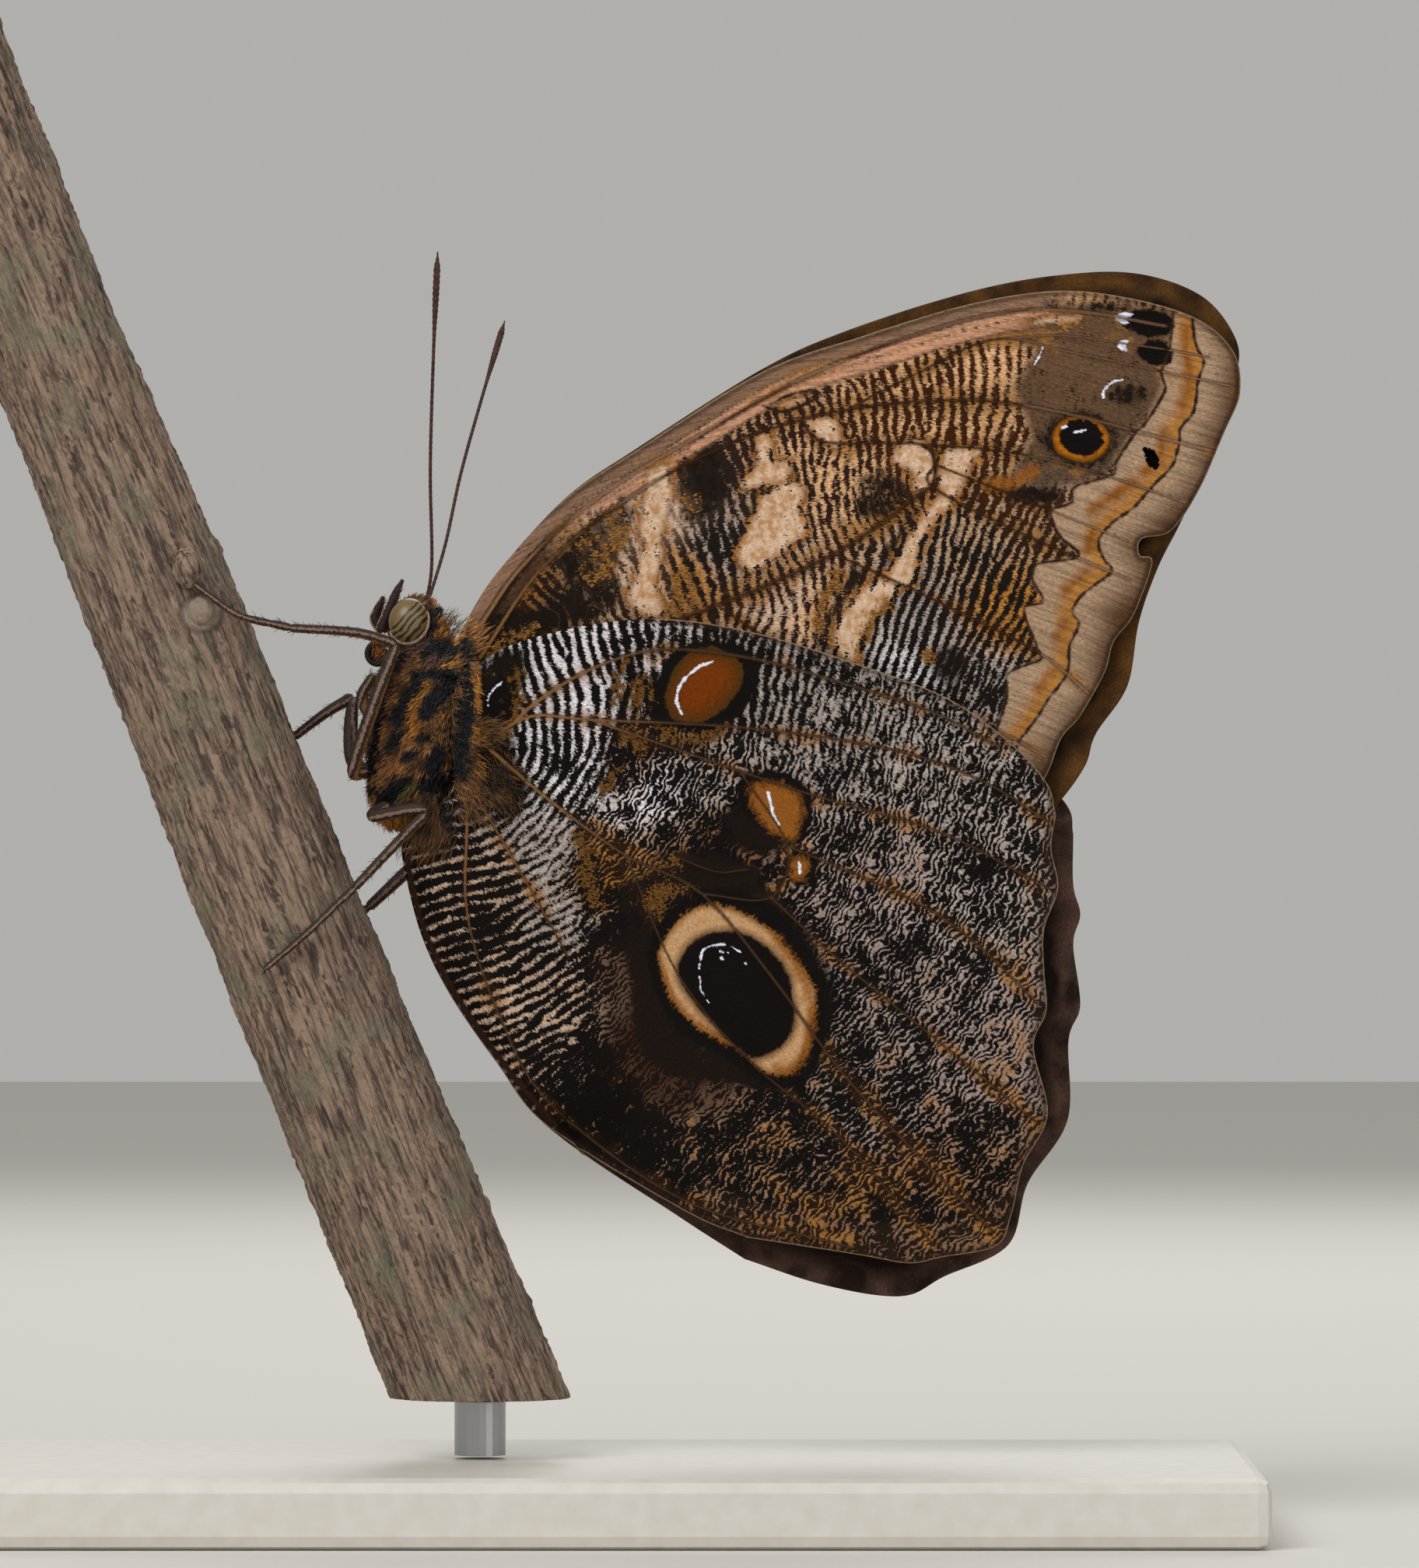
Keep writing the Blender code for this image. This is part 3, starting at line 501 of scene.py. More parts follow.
class Layer(Enum):
    """Markings, in the order in which they cover one another."""

    SHADE = "shade"
    SURROUND = "surround"
    CREAM = "cream"
    TAWNY = "tawny"
    OCHRE = "ochre"
    AMBER = "amber"
    PUPIL = "pupil"
    LINE = "line"
    CHALK = "chalk"


@dataclass(frozen=True)
class Mark:
    """A marking: a closed patch through its points, or a stroke along them if it has a half width."""

    layer: Layer
    what: str
    points: Line
    half_width: float = 0.0
    sink: float = 0.0  # how far it stays under the scales, so that they break it up; negative swells it

    def depth(self, at: np.ndarray) -> np.ndarray:
        """How far inside the marking each place lies, in millimetres, negative outside.

        Args:
            at: One place of the wing's plane in each row.

        Returns:
            The depths less the sink, and -2 less the sink far away.
        """
        line = smooth_line(self.points if self.half_width else self.points + self.points[:1], 0.5)
        near = ((at > line.min(0) - 2.0) & (at < line.max(0) + 2.0)).all(1)
        depth = np.full(len(at), -2.0)
        depth[near] = self.half_width - distance_to(at[near], line)
        if not self.half_width:
            depth[near] *= np.where(inside(at[near], line[:-1]), -1, 1)
        return np.minimum(depth - self.sink, 0.6 - self.sink if self.sink else 9.0)


@dataclass(frozen=True)
class Region:
    """What the scales show round one place: two colours, the pale share, and the ripples between."""

    x: float
    z: float
    pale: Hue
    deep: Hue
    share: float  # from -1, all deep, to 1, all pale
    wave: float  # from one ripple to the next
    disorder: float  # how often ripples fork and break
    rust: float = 0.3  # how far rusty scales spread from the veins


@dataclass(frozen=True)
class Zone:
    """A patch of the wing with plain colours of its own, soft at its edge."""

    points: Line
    inner: Hue
    outer: Hue  # near the line that closes the zone
    blur: float
    calm: float = 1.0  # how much of the ripples it hides
    reach: float = 1.5  # from the outer line to the inner colour
    line: Line = ()


@dataclass
class Ripples:
    """Dark and pale stripes across the cells of a wing, each set at right angles to the veins.

    They are grown from the root outwards out of many short wave packets, where each takes up
    the phase of what is there, so that stripes run on, fork and merge as real ones do.
    """

    step: float = 0.2
    packets: int = 7500
    long: float = 1.25  # spread of a packet along its stripes, in waves
    short: float = 0.62
    seed: int = 7

    def grow(self, low: np.ndarray, high: np.ndarray, at: np.ndarray, way: np.ndarray, wave: np.ndarray,
             disorder: np.ndarray) -> np.ndarray:
        """Sums the packets.

        Args:
            low: Lowest corner of the wing's plane.
            high: Its highest corner.
            at: Each packet's middle.
            way: The vein's direction there.
            wave: The distance between stripes there.
            disorder: Spread of the phase there, in radians.

        Returns:
            The complex field on a grid of the step, X along its second axis.
        """
        draw = np.random.default_rng(self.seed)
        columns, rows = np.ceil((high - low) / self.step).astype(int) + 1
        total = np.zeros((rows, columns), complex)
        order = np.argsort(np.hypot(*at.T) + draw.normal(0, 1.2, len(at)))
        turn = draw.normal(0, 0.3, len(at)) * disorder
        way = way * np.cos(turn)[:, None] + np.column_stack([-way[:, 1], way[:, 0]]) * np.sin(turn)[:, None]
        for index in order:
            reach = 2.3 * self.long * wave[index]
            first = np.maximum(((at[index] - reach - low) / self.step).astype(int), 0)
            last = np.minimum(((at[index] + reach - low) / self.step).astype(int) + 2, (columns, rows))
            x = low[0] + self.step * np.arange(first[0], last[0])[None, :] - at[index, 0]
            z = low[1] + self.step * np.arange(first[1], last[1])[:, None] - at[index, 1]
            along = x * way[index, 0] + z * way[index, 1]
            across = z * way[index, 0] - x * way[index, 1]
            spread = (along / (self.short * wave[index])) ** 2 + (across / (self.long * wave[index])) ** 2
            here = total[tuple(((at[index] - low) / self.step).round().astype(int)[::-1])]
            phase = np.angle(here) if abs(here) > 0.03 else draw.uniform(0, math.tau)
            phase += draw.normal(0, disorder[index])
            packet = np.exp(-0.5 * spread + 1j * (math.tau * along / wave[index] + phase))
            total[first[1] : last[1], first[0] : last[0]] += packet
        return total


def read_grid(grid: np.ndarray, low: np.ndarray, step: float, at: np.ndarray) -> np.ndarray:
    """Reads a grid between its points.

    Args:
        grid: Values, with X along the second axis.
        low: Place of the first value.
        step: Distance between values.
        at: The places to read.

    Returns:
        One value for each place.
    """
    place = (at - low) / step
    limit = np.array([grid.shape[1] - 1.001, grid.shape[0] - 1.001])
    place = np.clip(place, 0, limit)
    corner = place.astype(int)
    right, up = (place - corner).T
    x, z = corner.T
    lower = grid[z, x] * (1 - right) + grid[z, x + 1] * right
    upper = grid[z + 1, x] * (1 - right) + grid[z + 1, x + 1] * right
    return lower * (1 - up) + upper * up


@dataclass
class Wing:
    """One wing: a cambered membrane of scales on ridged veins, with its markings."""

    name: str
    side: int  # -1 for the near, left side
    layer: float  # of its middle from the body's middle plane
    edge: dict[str, Line]
    veins: tuple
    regions: tuple[Region, ...]
    zones: tuple[Zone, ...]
    marks: tuple[Mark, ...]
    bands: tuple = ()
    tear: Line = ()
    spacing: float = 0.25
    membrane: float = 0.26
    ridge: float = 0.3
    ridge_reach: float = 0.34

    def outline(self) -> np.ndarray:
        """The wing's edge as a closed loop of close points.

        Returns:
            One point of the plane in each row, the first not repeated.
        """
        runs = [self.edge["costa"], self.edge["termen"], self.edge["inner"]]
        loop = []
        for run, following in zip(runs, runs[1:] + runs[:1]):
            loop.append(smooth_line(run + following[:1], self.spacing)[:-1])
        return np.vstack(loop)

    def vein_distance(self, at: np.ndarray) -> tuple[np.ndarray, np.ndarray]:
        """Distance from each place to the nearest vein, and that vein's half width."""
        away, index = nearest(at, [smooth_line(vein, CLOSE) for _, vein in self.veins])
        return away, np.array([half for half, _ in self.veins])[index]

    def points(self, edge: np.ndarray) -> np.ndarray:
        """Points of the membrane: a close grid, with more along the veins and thin strokes.

        Args:
            edge: The wing's outline.

        Returns:
            One point of the plane in each row, the outline's own left out.
        """
        low, high = edge.min(0), edge.max(0)
        rows = np.arange(low[1], high[1], self.spacing * math.sqrt(3) / 2)
        columns = np.arange(low[0], high[0], self.spacing)
        x, z = np.meshgrid(columns, rows)
        x = x + np.where(np.arange(len(rows)) % 2, self.spacing / 2, 0)[:, None]
        grid = np.column_stack([x.ravel(), z.ravel()])
        grid = grid[inside(grid, edge)]
        closed = smooth_line(np.vstack([edge, edge[:1]]), CLOSE)
        thin = [mark.points for mark in self.marks if 0 < mark.half_width < 0.25]
        lines = [smooth_line(line, 0.2) for line in [vein for _, vein in self.veins] + thin]
        grid = grid[(nearest(grid, lines)[0] > 0.14) & (nearest(grid, [closed])[0] > 0.12)]
        extra = np.vstack(lines)
        extra = extra[inside(extra, edge) & (nearest(extra, [closed])[0] > 0.12)]
        return np.vstack([grid, extra])

    def flow(self, at: np.ndarray) -> np.ndarray:
        """The direction in which the veins run at each place, outwards.

        Args:
            at: The places.

        Returns:
            A unit vector for each place.
        """
        way = np.zeros_like(at)
        for _, vein in self.veins:
            line = smooth_line(vein, 1.2)
            for start, end in zip(line, line[1:]):
                away = np.linalg.norm(at - (start + end) / 2, axis=1)
                way += (end - start) / (away[:, None] ** 2 + 0.6) ** 1.3
        return way / np.linalg.norm(way, axis=1)[:, None]

    def weave(self, low: np.ndarray, high: np.ndarray, at: np.ndarray) -> np.ndarray:
        """Coordinates that follow the veins, in millimetres along and across them.

        Args:
            low: Lowest corner of the wing's plane.
            high: Its highest corner.
            at: The places to read.

        Returns:
            Two coordinates for each place, from the least squares fit to the flow on a grid.
        """
        step = 2.0
        columns, rows = np.ceil((high - low) / step).astype(int) + 1
        index = np.arange(rows * columns).reshape(rows, columns)
        pairs = (
            (index[:, :-1].ravel(), index[:, 1:].ravel(), 0), (index[:-1].ravel(), index[1:].ravel(), 1),
        )
        system = np.eye(rows * columns) * 1e-4
        wanted = np.zeros((rows * columns, 2))
        x, z = np.meshgrid(low[0] + step * np.arange(columns), low[1] + step * np.arange(rows))
        nodes = np.column_stack([x.ravel(), z.ravel()])
        for first, second, axis in pairs:
            way = self.flow((nodes[first] + nodes[second]) / 2)
            rise = step * np.column_stack([way[:, axis], (-way[:, 1], way[:, 0])[axis]])
            for one, other, sign in ((first, second, -1), (second, first, 1)):
                np.add.at(system, (one, one), 1)
                np.add.at(system, (one, other), -1)
                np.add.at(wanted, one, sign * rise)
        solved = np.linalg.solve(system, wanted)
        return np.column_stack(
            [read_grid(solved[:, part].reshape(rows, columns), low, step, at) for part in (0, 1)]
        )

    def region_mix(self, at: np.ndarray) -> dict[str, np.ndarray]:
        """Blends the regions at each place.

        Args:
            at: The places.

        Returns:
            The pale and deep colours, the pale share, the wave, the disorder and the rust.
        """
        weights = np.array([
            1 / ((at[:, 0] - r.x) ** 2 + (at[:, 1] - r.z) ** 2 + 3.0) ** 2.2 for r in self.regions
        ])
        weights /= weights.sum(0)
        mixed = {
            key: weights.T @ np.array([rgb(getattr(r, key)) for r in self.regions])
            for key in ("pale", "deep")
        }
        for key in ("share", "wave", "disorder", "rust"):
            mixed[key] = weights.T @ np.array([getattr(r, key) for r in self.regions])
        return mixed

    def paint(self, mesh: bpy.types.Mesh, at: np.ndarray, edge: np.ndarray) -> None:
        """Writes what the finish reads: colours, ripples, depths of markings and distances.

        Args:
            mesh: The wing's mesh.
            at: Each vertex's place in the wing's plane.
            edge: The wing's outline.
        """
        low, high = edge.min(0), edge.max(0)
        ripples = Ripples(seed=len(self.marks))  # the counts seed a pattern for each pair of wings
        draw = np.random.default_rng(len(self.regions))
        middles = low + draw.random((ripples.packets * 2, 2)) * (high - low)
        middles = middles[inside(middles, edge)][: ripples.packets]
        mixed = self.region_mix(middles)
        total = ripples.grow(low, high, middles, self.flow(middles), mixed["wave"], mixed["disorder"])
        here = read_grid(total, low, ripples.step, at)
        mixed = self.region_mix(at)
        costal = nearest(at, [smooth_line(self.edge["costa"], CLOSE)])[0]
        calm = np.zeros(len(at))
        for zone in self.zones:
            inwards = ramp(depth_in(at, np.array(zone.points)), -zone.blur, zone.blur) * zone.calm
            share = ramp(distance_to(at, np.array(zone.line or zone.points)), 0.2, zone.reach)[:, None]
            paint = np.array(rgb(zone.outer)) * (1 - share) + np.array(rgb(zone.inner)) * share
            mixed["pale"] += (paint - mixed["pale"]) * inwards[:, None]
            mixed["deep"] += (paint * 0.55 - mixed["deep"]) * inwards[:, None]
            mixed["share"] += (zone.calm * 1.3 - mixed["share"]) * inwards
            mixed["rust"] *= 1 - inwards
            calm = np.maximum(calm, inwards)
        for offset, half, hue, start, end in self.bands:
            within = ramp(half - np.abs(costal - offset), -0.15, 0.15)
            within *= ramp(at[:, 0], start, start + 5) * ramp(-at[:, 0], -end, 6 - end)
            mixed["pale"] += (np.array(rgb(hue)) - mixed["pale"]) * within[:, None]
            mixed["deep"] += (np.array(rgb(hue)) * 0.4 - mixed["deep"]) * within[:, None]
            mixed["share"] += (1.1 - mixed["share"]) * within
            mixed["rust"] *= 1 - within
            calm = np.maximum(calm, within)
        depths = {layer: np.full(len(at), -2.0) for layer in Layer}
        for mark in self.marks:
            depths[mark.layer] = np.maximum(depths[mark.layer], mark.depth(at))
        away, half = self.vein_distance(at)
        values = {
            "ripple": np.cos(np.angle(here)) * (1 - calm),
            "quarter": np.sin(np.angle(here)) * (1 - calm),
            "share": mixed["share"],
            "rust": mixed["rust"],
            "disorder": mixed["disorder"],
            "vein": np.minimum(away / half / (1 + 1.4 * np.exp(-np.hypot(*at.T) / 6)), 9.0),
            "rim": np.minimum(nearest(at, [smooth_line(np.vstack([edge, edge[:1]]), CLOSE)])[0], 8.0),
            **{layer.value: depth for layer, depth in depths.items()},
        }
        for name, value in values.items():
            write_values(mesh, name, value)
        for name in ("pale", "deep"):
            write_values(mesh, name, mixed[name], "FLOAT_COLOR")
        lie = np.column_stack([self.weave(low, high, at), np.zeros(len(at))])
        write_values(mesh, "weave", lie, "FLOAT_VECTOR")

    def relief(self, at: np.ndarray) -> np.ndarray:
        """How far the middle of the membrane lies from the middle plane at each place.

        Args:
            at: The places.

        Returns:
            Millimetres outwards, on either side.
        """
        away, _ = self.vein_distance(at)
        billow = 0.16 * ramp(away, 0.0, 2.4) - 0.08
        wave = 0.07 * np.sin(at[:, 0] * 0.9 + 0.4 * at[:, 1]) * np.sin(at[:, 1] * 0.7)
        free = ramp(np.hypot(*at.T), 14, 40)
        return self.layer + hug(*at.T) + (billow + wave) * free

    def build(self, finishes: list[bpy.types.Material]) -> bpy.types.Object:
        """Builds and paints the wing.

        Args:
            finishes: The materials of its outer face, its inner face and its cut edge.

        Returns:
            The wing's piece.
        """
        edge = self.outline()
        points = np.vstack([edge, self.points(edge)])
        flat = delaunay_2d_cdt([Vector(p) for p in points], [], [list(range(len(edge)))], 1, 1e-4)
        at = np.array([tuple(point) for point in flat[0]])
        faces = np.array([face for face in flat[2]])
        if self.tear:
            faces = faces[~inside(at[faces].mean(1), smooth_line(self.tear + self.tear[:1], 0.3)[:-1])]
        if self.side > 0:
            faces = faces[:, ::-1]
        used = np.unique(faces)
        at = at[used]
        faces = np.searchsorted(used, faces)
        place = np.column_stack([at[:, 0], self.side * self.relief(at), at[:, 1]]) + np.array(BODY)
        mesh = bpy.data.meshes.new(self.name + "_scales")
        mesh.from_pydata(place * MM, [], faces.tolist())
        self.paint(mesh, at, edge)
        wing = add_piece(self.name + "_scales", mesh, (self.name,), finishes[0])
        for finish in finishes[1:]:
            mesh.materials.append(finish)

        raised = wing.vertex_groups.new(name="ridge")
        away, _ = self.vein_distance(at)
        rim = np.empty(len(at), np.float32)
        mesh.attributes["rim"].data.foreach_get("value", rim)
        away = np.where(rim < 0.3, self.ridge_reach, away)
        levels = np.clip(1 - away / self.ridge_reach, 0, 1) ** 0.6
        for level in np.unique(levels.round(1)):
            raised.add(np.flatnonzero(levels.round(1) == level).tolist(), float(level), "REPLACE")
        thick = wing.modifiers.new("membrane", "SOLIDIFY")
        thick.thickness = (self.membrane + self.ridge) * MM
        thick.offset = 0.0
        thick.vertex_group = raised.name
        thick.thickness_vertex_group = self.membrane / (self.membrane + self.ridge)
        thick.material_offset = 1
        thick.material_offset_rim = 2
        return wing


FOREWING_REGIONS = (
    Region(7.0, 8.7, Hue.CLAY, Hue.SOOT, -0.6, 0.7, 0.62, 0.6),
    Region(10.7, 8.7, Hue.CLAY, Hue.SOOT, -0.5, 0.8, 0.62, 0.5),
    Region(16.3, 8.7, Hue.SAND, Hue.UMBER, 0, 0.9, 0.62, 0.4),
    Region(20.3, 18.7, Hue.BONE, Hue.TAN, 1, 1.0, 0.62, 0.0),
    Region(19.0, 12.0, Hue.BONE, Hue.BROWN, 0.5, 1.0, 0.62, 0.2),
    Region(22.7, 12.7, Hue.APRICOT, Hue.SOOT, 0.1, 1.2, 0.5, 0.4),
    Region(23.7, 20.7, Hue.TAN, Hue.SOOT, -0.6, 1.0, 0.62, 0.3),
    Region(25.0, 15.3, Hue.ASH, Hue.SOOT, -0.4, 0.8, 0.62, 0.3),
    Region(30.3, 24.0, Hue.PEACH, Hue.UMBER, 0.1, 0.8, 0.62, 0.4),
    Region(35.7, 20.7, Hue.PEACH, Hue.UMBER, 0.2, 0.75, 0.62, 0.5),
    Region(40.3, 24.7, Hue.PEACH, Hue.EMBER, -0.1, 0.8, 0.56, 0.4),
    Region(31.0, 11.3, Hue.BONE, Hue.UMBER, 0.1, 0.8, 0.56, 0.3),
    Region(34.3, 9.3, Hue.PEACH, Hue.UMBER, 0.3, 0.9, 0.62, 0.3),
    Region(42.3, 9.3, Hue.ASH, Hue.SOOT, -0.2, 0.93, 0.31, 0.1),
    Region(47.0, 15.3, Hue.SAND, Hue.SOOT, -0.2, 0.8, 0.5, 0.3),
    Region(46.3, 24.7, Hue.PEACH, Hue.EMBER, -0.1, 0.9, 0.56, 0.5),
    Region(51.0, 30.7, Hue.PEACH, Hue.EMBER, 0.3, 0.9, 0.56, 0.5),
    Region(50.3, 19.3, Hue.SAND, Hue.EMBER, -0.3, 0.8, 0.56, 0.6),
    Region(49.7, 10.0, Hue.APRICOT, Hue.SOOT, -0.2, 0.87, 0.5, 0.5),
    Region(47.7, 2.7, Hue.ASH, Hue.SOOT, -0.3, 0.6, 0.62, 0.0),
    Region(40.3, 4.0, Hue.LILAC, Hue.INK, 0, 0.87, 0.37, 0.0),
    Region(37.0, 4.7, Hue.ASH, Hue.INK, 0, 0.87, 0.37, 0.0),
)
HINDWING_REGIONS = (
    Region(12.0, -17.5, Hue.ASH, Hue.INK, 0.1, 0.8, 0.5, 0.0),
    Region(6.3, 2.0, Hue.LILAC, Hue.INK, -0.1, 0.95, 0.4, 0.2),
    Region(13.0, 2.0, Hue.LILAC, Hue.INK, 0.0, 1.0, 0.4, 0.2),
    Region(14.8, 1.0, Hue.LILAC, Hue.INK, -0.1, 1.0, 0.5, 0.1),
    Region(11.0, -3.6, Hue.LILAC, Hue.INK, -0.4, 0.85, 0.5, 0.0),
    Region(14.0, -4.0, Hue.LILAC, Hue.INK, -0.3, 0.85, 0.5, 0.0),
    Region(17.3, -3.0, Hue.TAN, Hue.INK, -0.8, 0.9, 0.7, 0.6),
    Region(19.5, -6.8, Hue.LILAC, Hue.INK, -0.7, 0.75, 0.9, 0.1),
    Region(5.0, -14.7, Hue.BONE, Hue.INK, -0.7, 1.0, 0.44, 0.0),
    Region(5.0, -20.0, Hue.BONE, Hue.INK, -0.6, 1.0, 0.44, 0.0),
    Region(10.6, -11.0, Hue.ASH, Hue.SOOT, 0.3, 0.8, 0.5, 0.0),
    Region(15.5, -13.0, Hue.OCHRE, Hue.INK, -0.9, 0.8, 0.9, 0.8),
    Region(20.5, -10.0, Hue.TAN, Hue.INK, -0.3, 0.8, 0.9, 0.6),
    Region(23.7, -5.3, Hue.ASH, Hue.INK, -0.5, 0.75, 0.9, 0.2),
    Region(24.7, -9.7, Hue.CLAY, Hue.INK, -0.9, 0.8, 0.9, 0.5),
    Region(29.0, 3.0, Hue.ASH, Hue.INK, -0.2, 0.8, 0.5, 0.1),
    Region(37.0, -1.3, Hue.ASH, Hue.INK, -0.1, 0.77, 0.6, 0.1),
    Region(43.7, -4.7, Hue.ASH, Hue.INK, -0.1, 0.77, 0.7, 0.1),
    Region(40.3, -11.3, Hue.MAUVE, Hue.INK, -0.2, 0.7, 0.9, 0.3),
    Region(40.3, -21.3, Hue.MAUVE, Hue.INK, -0.45, 0.67, 0.9, 0.4),
    Region(47.0, -14.7, Hue.ASH, Hue.INK, -0.3, 0.7, 0.9, 0.3),
    Region(48.0, -25.0, Hue.MAUVE, Hue.INK, -0.1, 0.67, 0.9, 0.5),
    Region(18.3, -28.0, Hue.HAZEL, Hue.INK, -2.0, 0.7, 0.9, 0.4),
    Region(9.0, -24.0, Hue.BONE, Hue.INK, -0.2, 0.9, 0.46, 0.0),
    Region(12.0, -23.0, Hue.BONE, Hue.INK, -0.2, 0.85, 0.46, 0.0),
    Region(16.4, -20.0, Hue.TAN, Hue.INK, -2.2, 0.7, 0.8, 0.4),
    Region(37.0, -32.7, Hue.MAUVE, Hue.INK, -0.6, 0.6, 0.9, 0.6),
    Region(30.3, -34.7, Hue.TAN, Hue.INK, -0.7, 0.6, 0.9, 0.6),
    Region(37.0, -42.0, Hue.TAN, Hue.INK, -0.7, 0.7, 0.9, 0.8),
    Region(47.0, -42.0, Hue.TAN, Hue.INK, -0.5, 0.7, 0.9, 0.6),
    Region(51.7, -18.0, Hue.ASH, Hue.SOOT, -0.3, 0.7, 0.9, 0.6),
)
INNER_LINE = (
    (64.2, 35.3), (63.9, 32.2), (63.2, 30.1), (63.5, 28.7), (62.9, 27.4), (61.7, 25.6), (60.9, 24.8),
    (59.3, 22.4), (59, 21.3), (55.7, 20.2), (55.5, 18.9), (53.7, 18.2), (54.4, 16.1), (56.1, 14.3),
    (52.5, 13.6), (52.1, 12.3), (53.1, 10.4), (51.4, 9.8), (52.5, 6.6), (52.9, 5.5), (50.1, 4.3),
    (49.9, 2.1), (49.1, -0.4), (48.7, -2),
)
OUTER_LINE = (
    (65.8, 34.8), (66.1, 32.5), (66.8, 31), (66.3, 29.3), (65.9, 26.7), (64.8, 25.3), (64.7, 24.1),
    (64.1, 22.1), (62.7, 20.6), (60.8, 18.5), (59.1, 17.3), (57.8, 15.7), (58.2, 14.1), (58.9, 13),
    (56.5, 11.1), (55.5, 9.6), (56.1, 8.5), (55.3, 6.6), (55.1, 4.3), (53.5, 2.1), (52.5, 0.5), (51, -1.5),
)
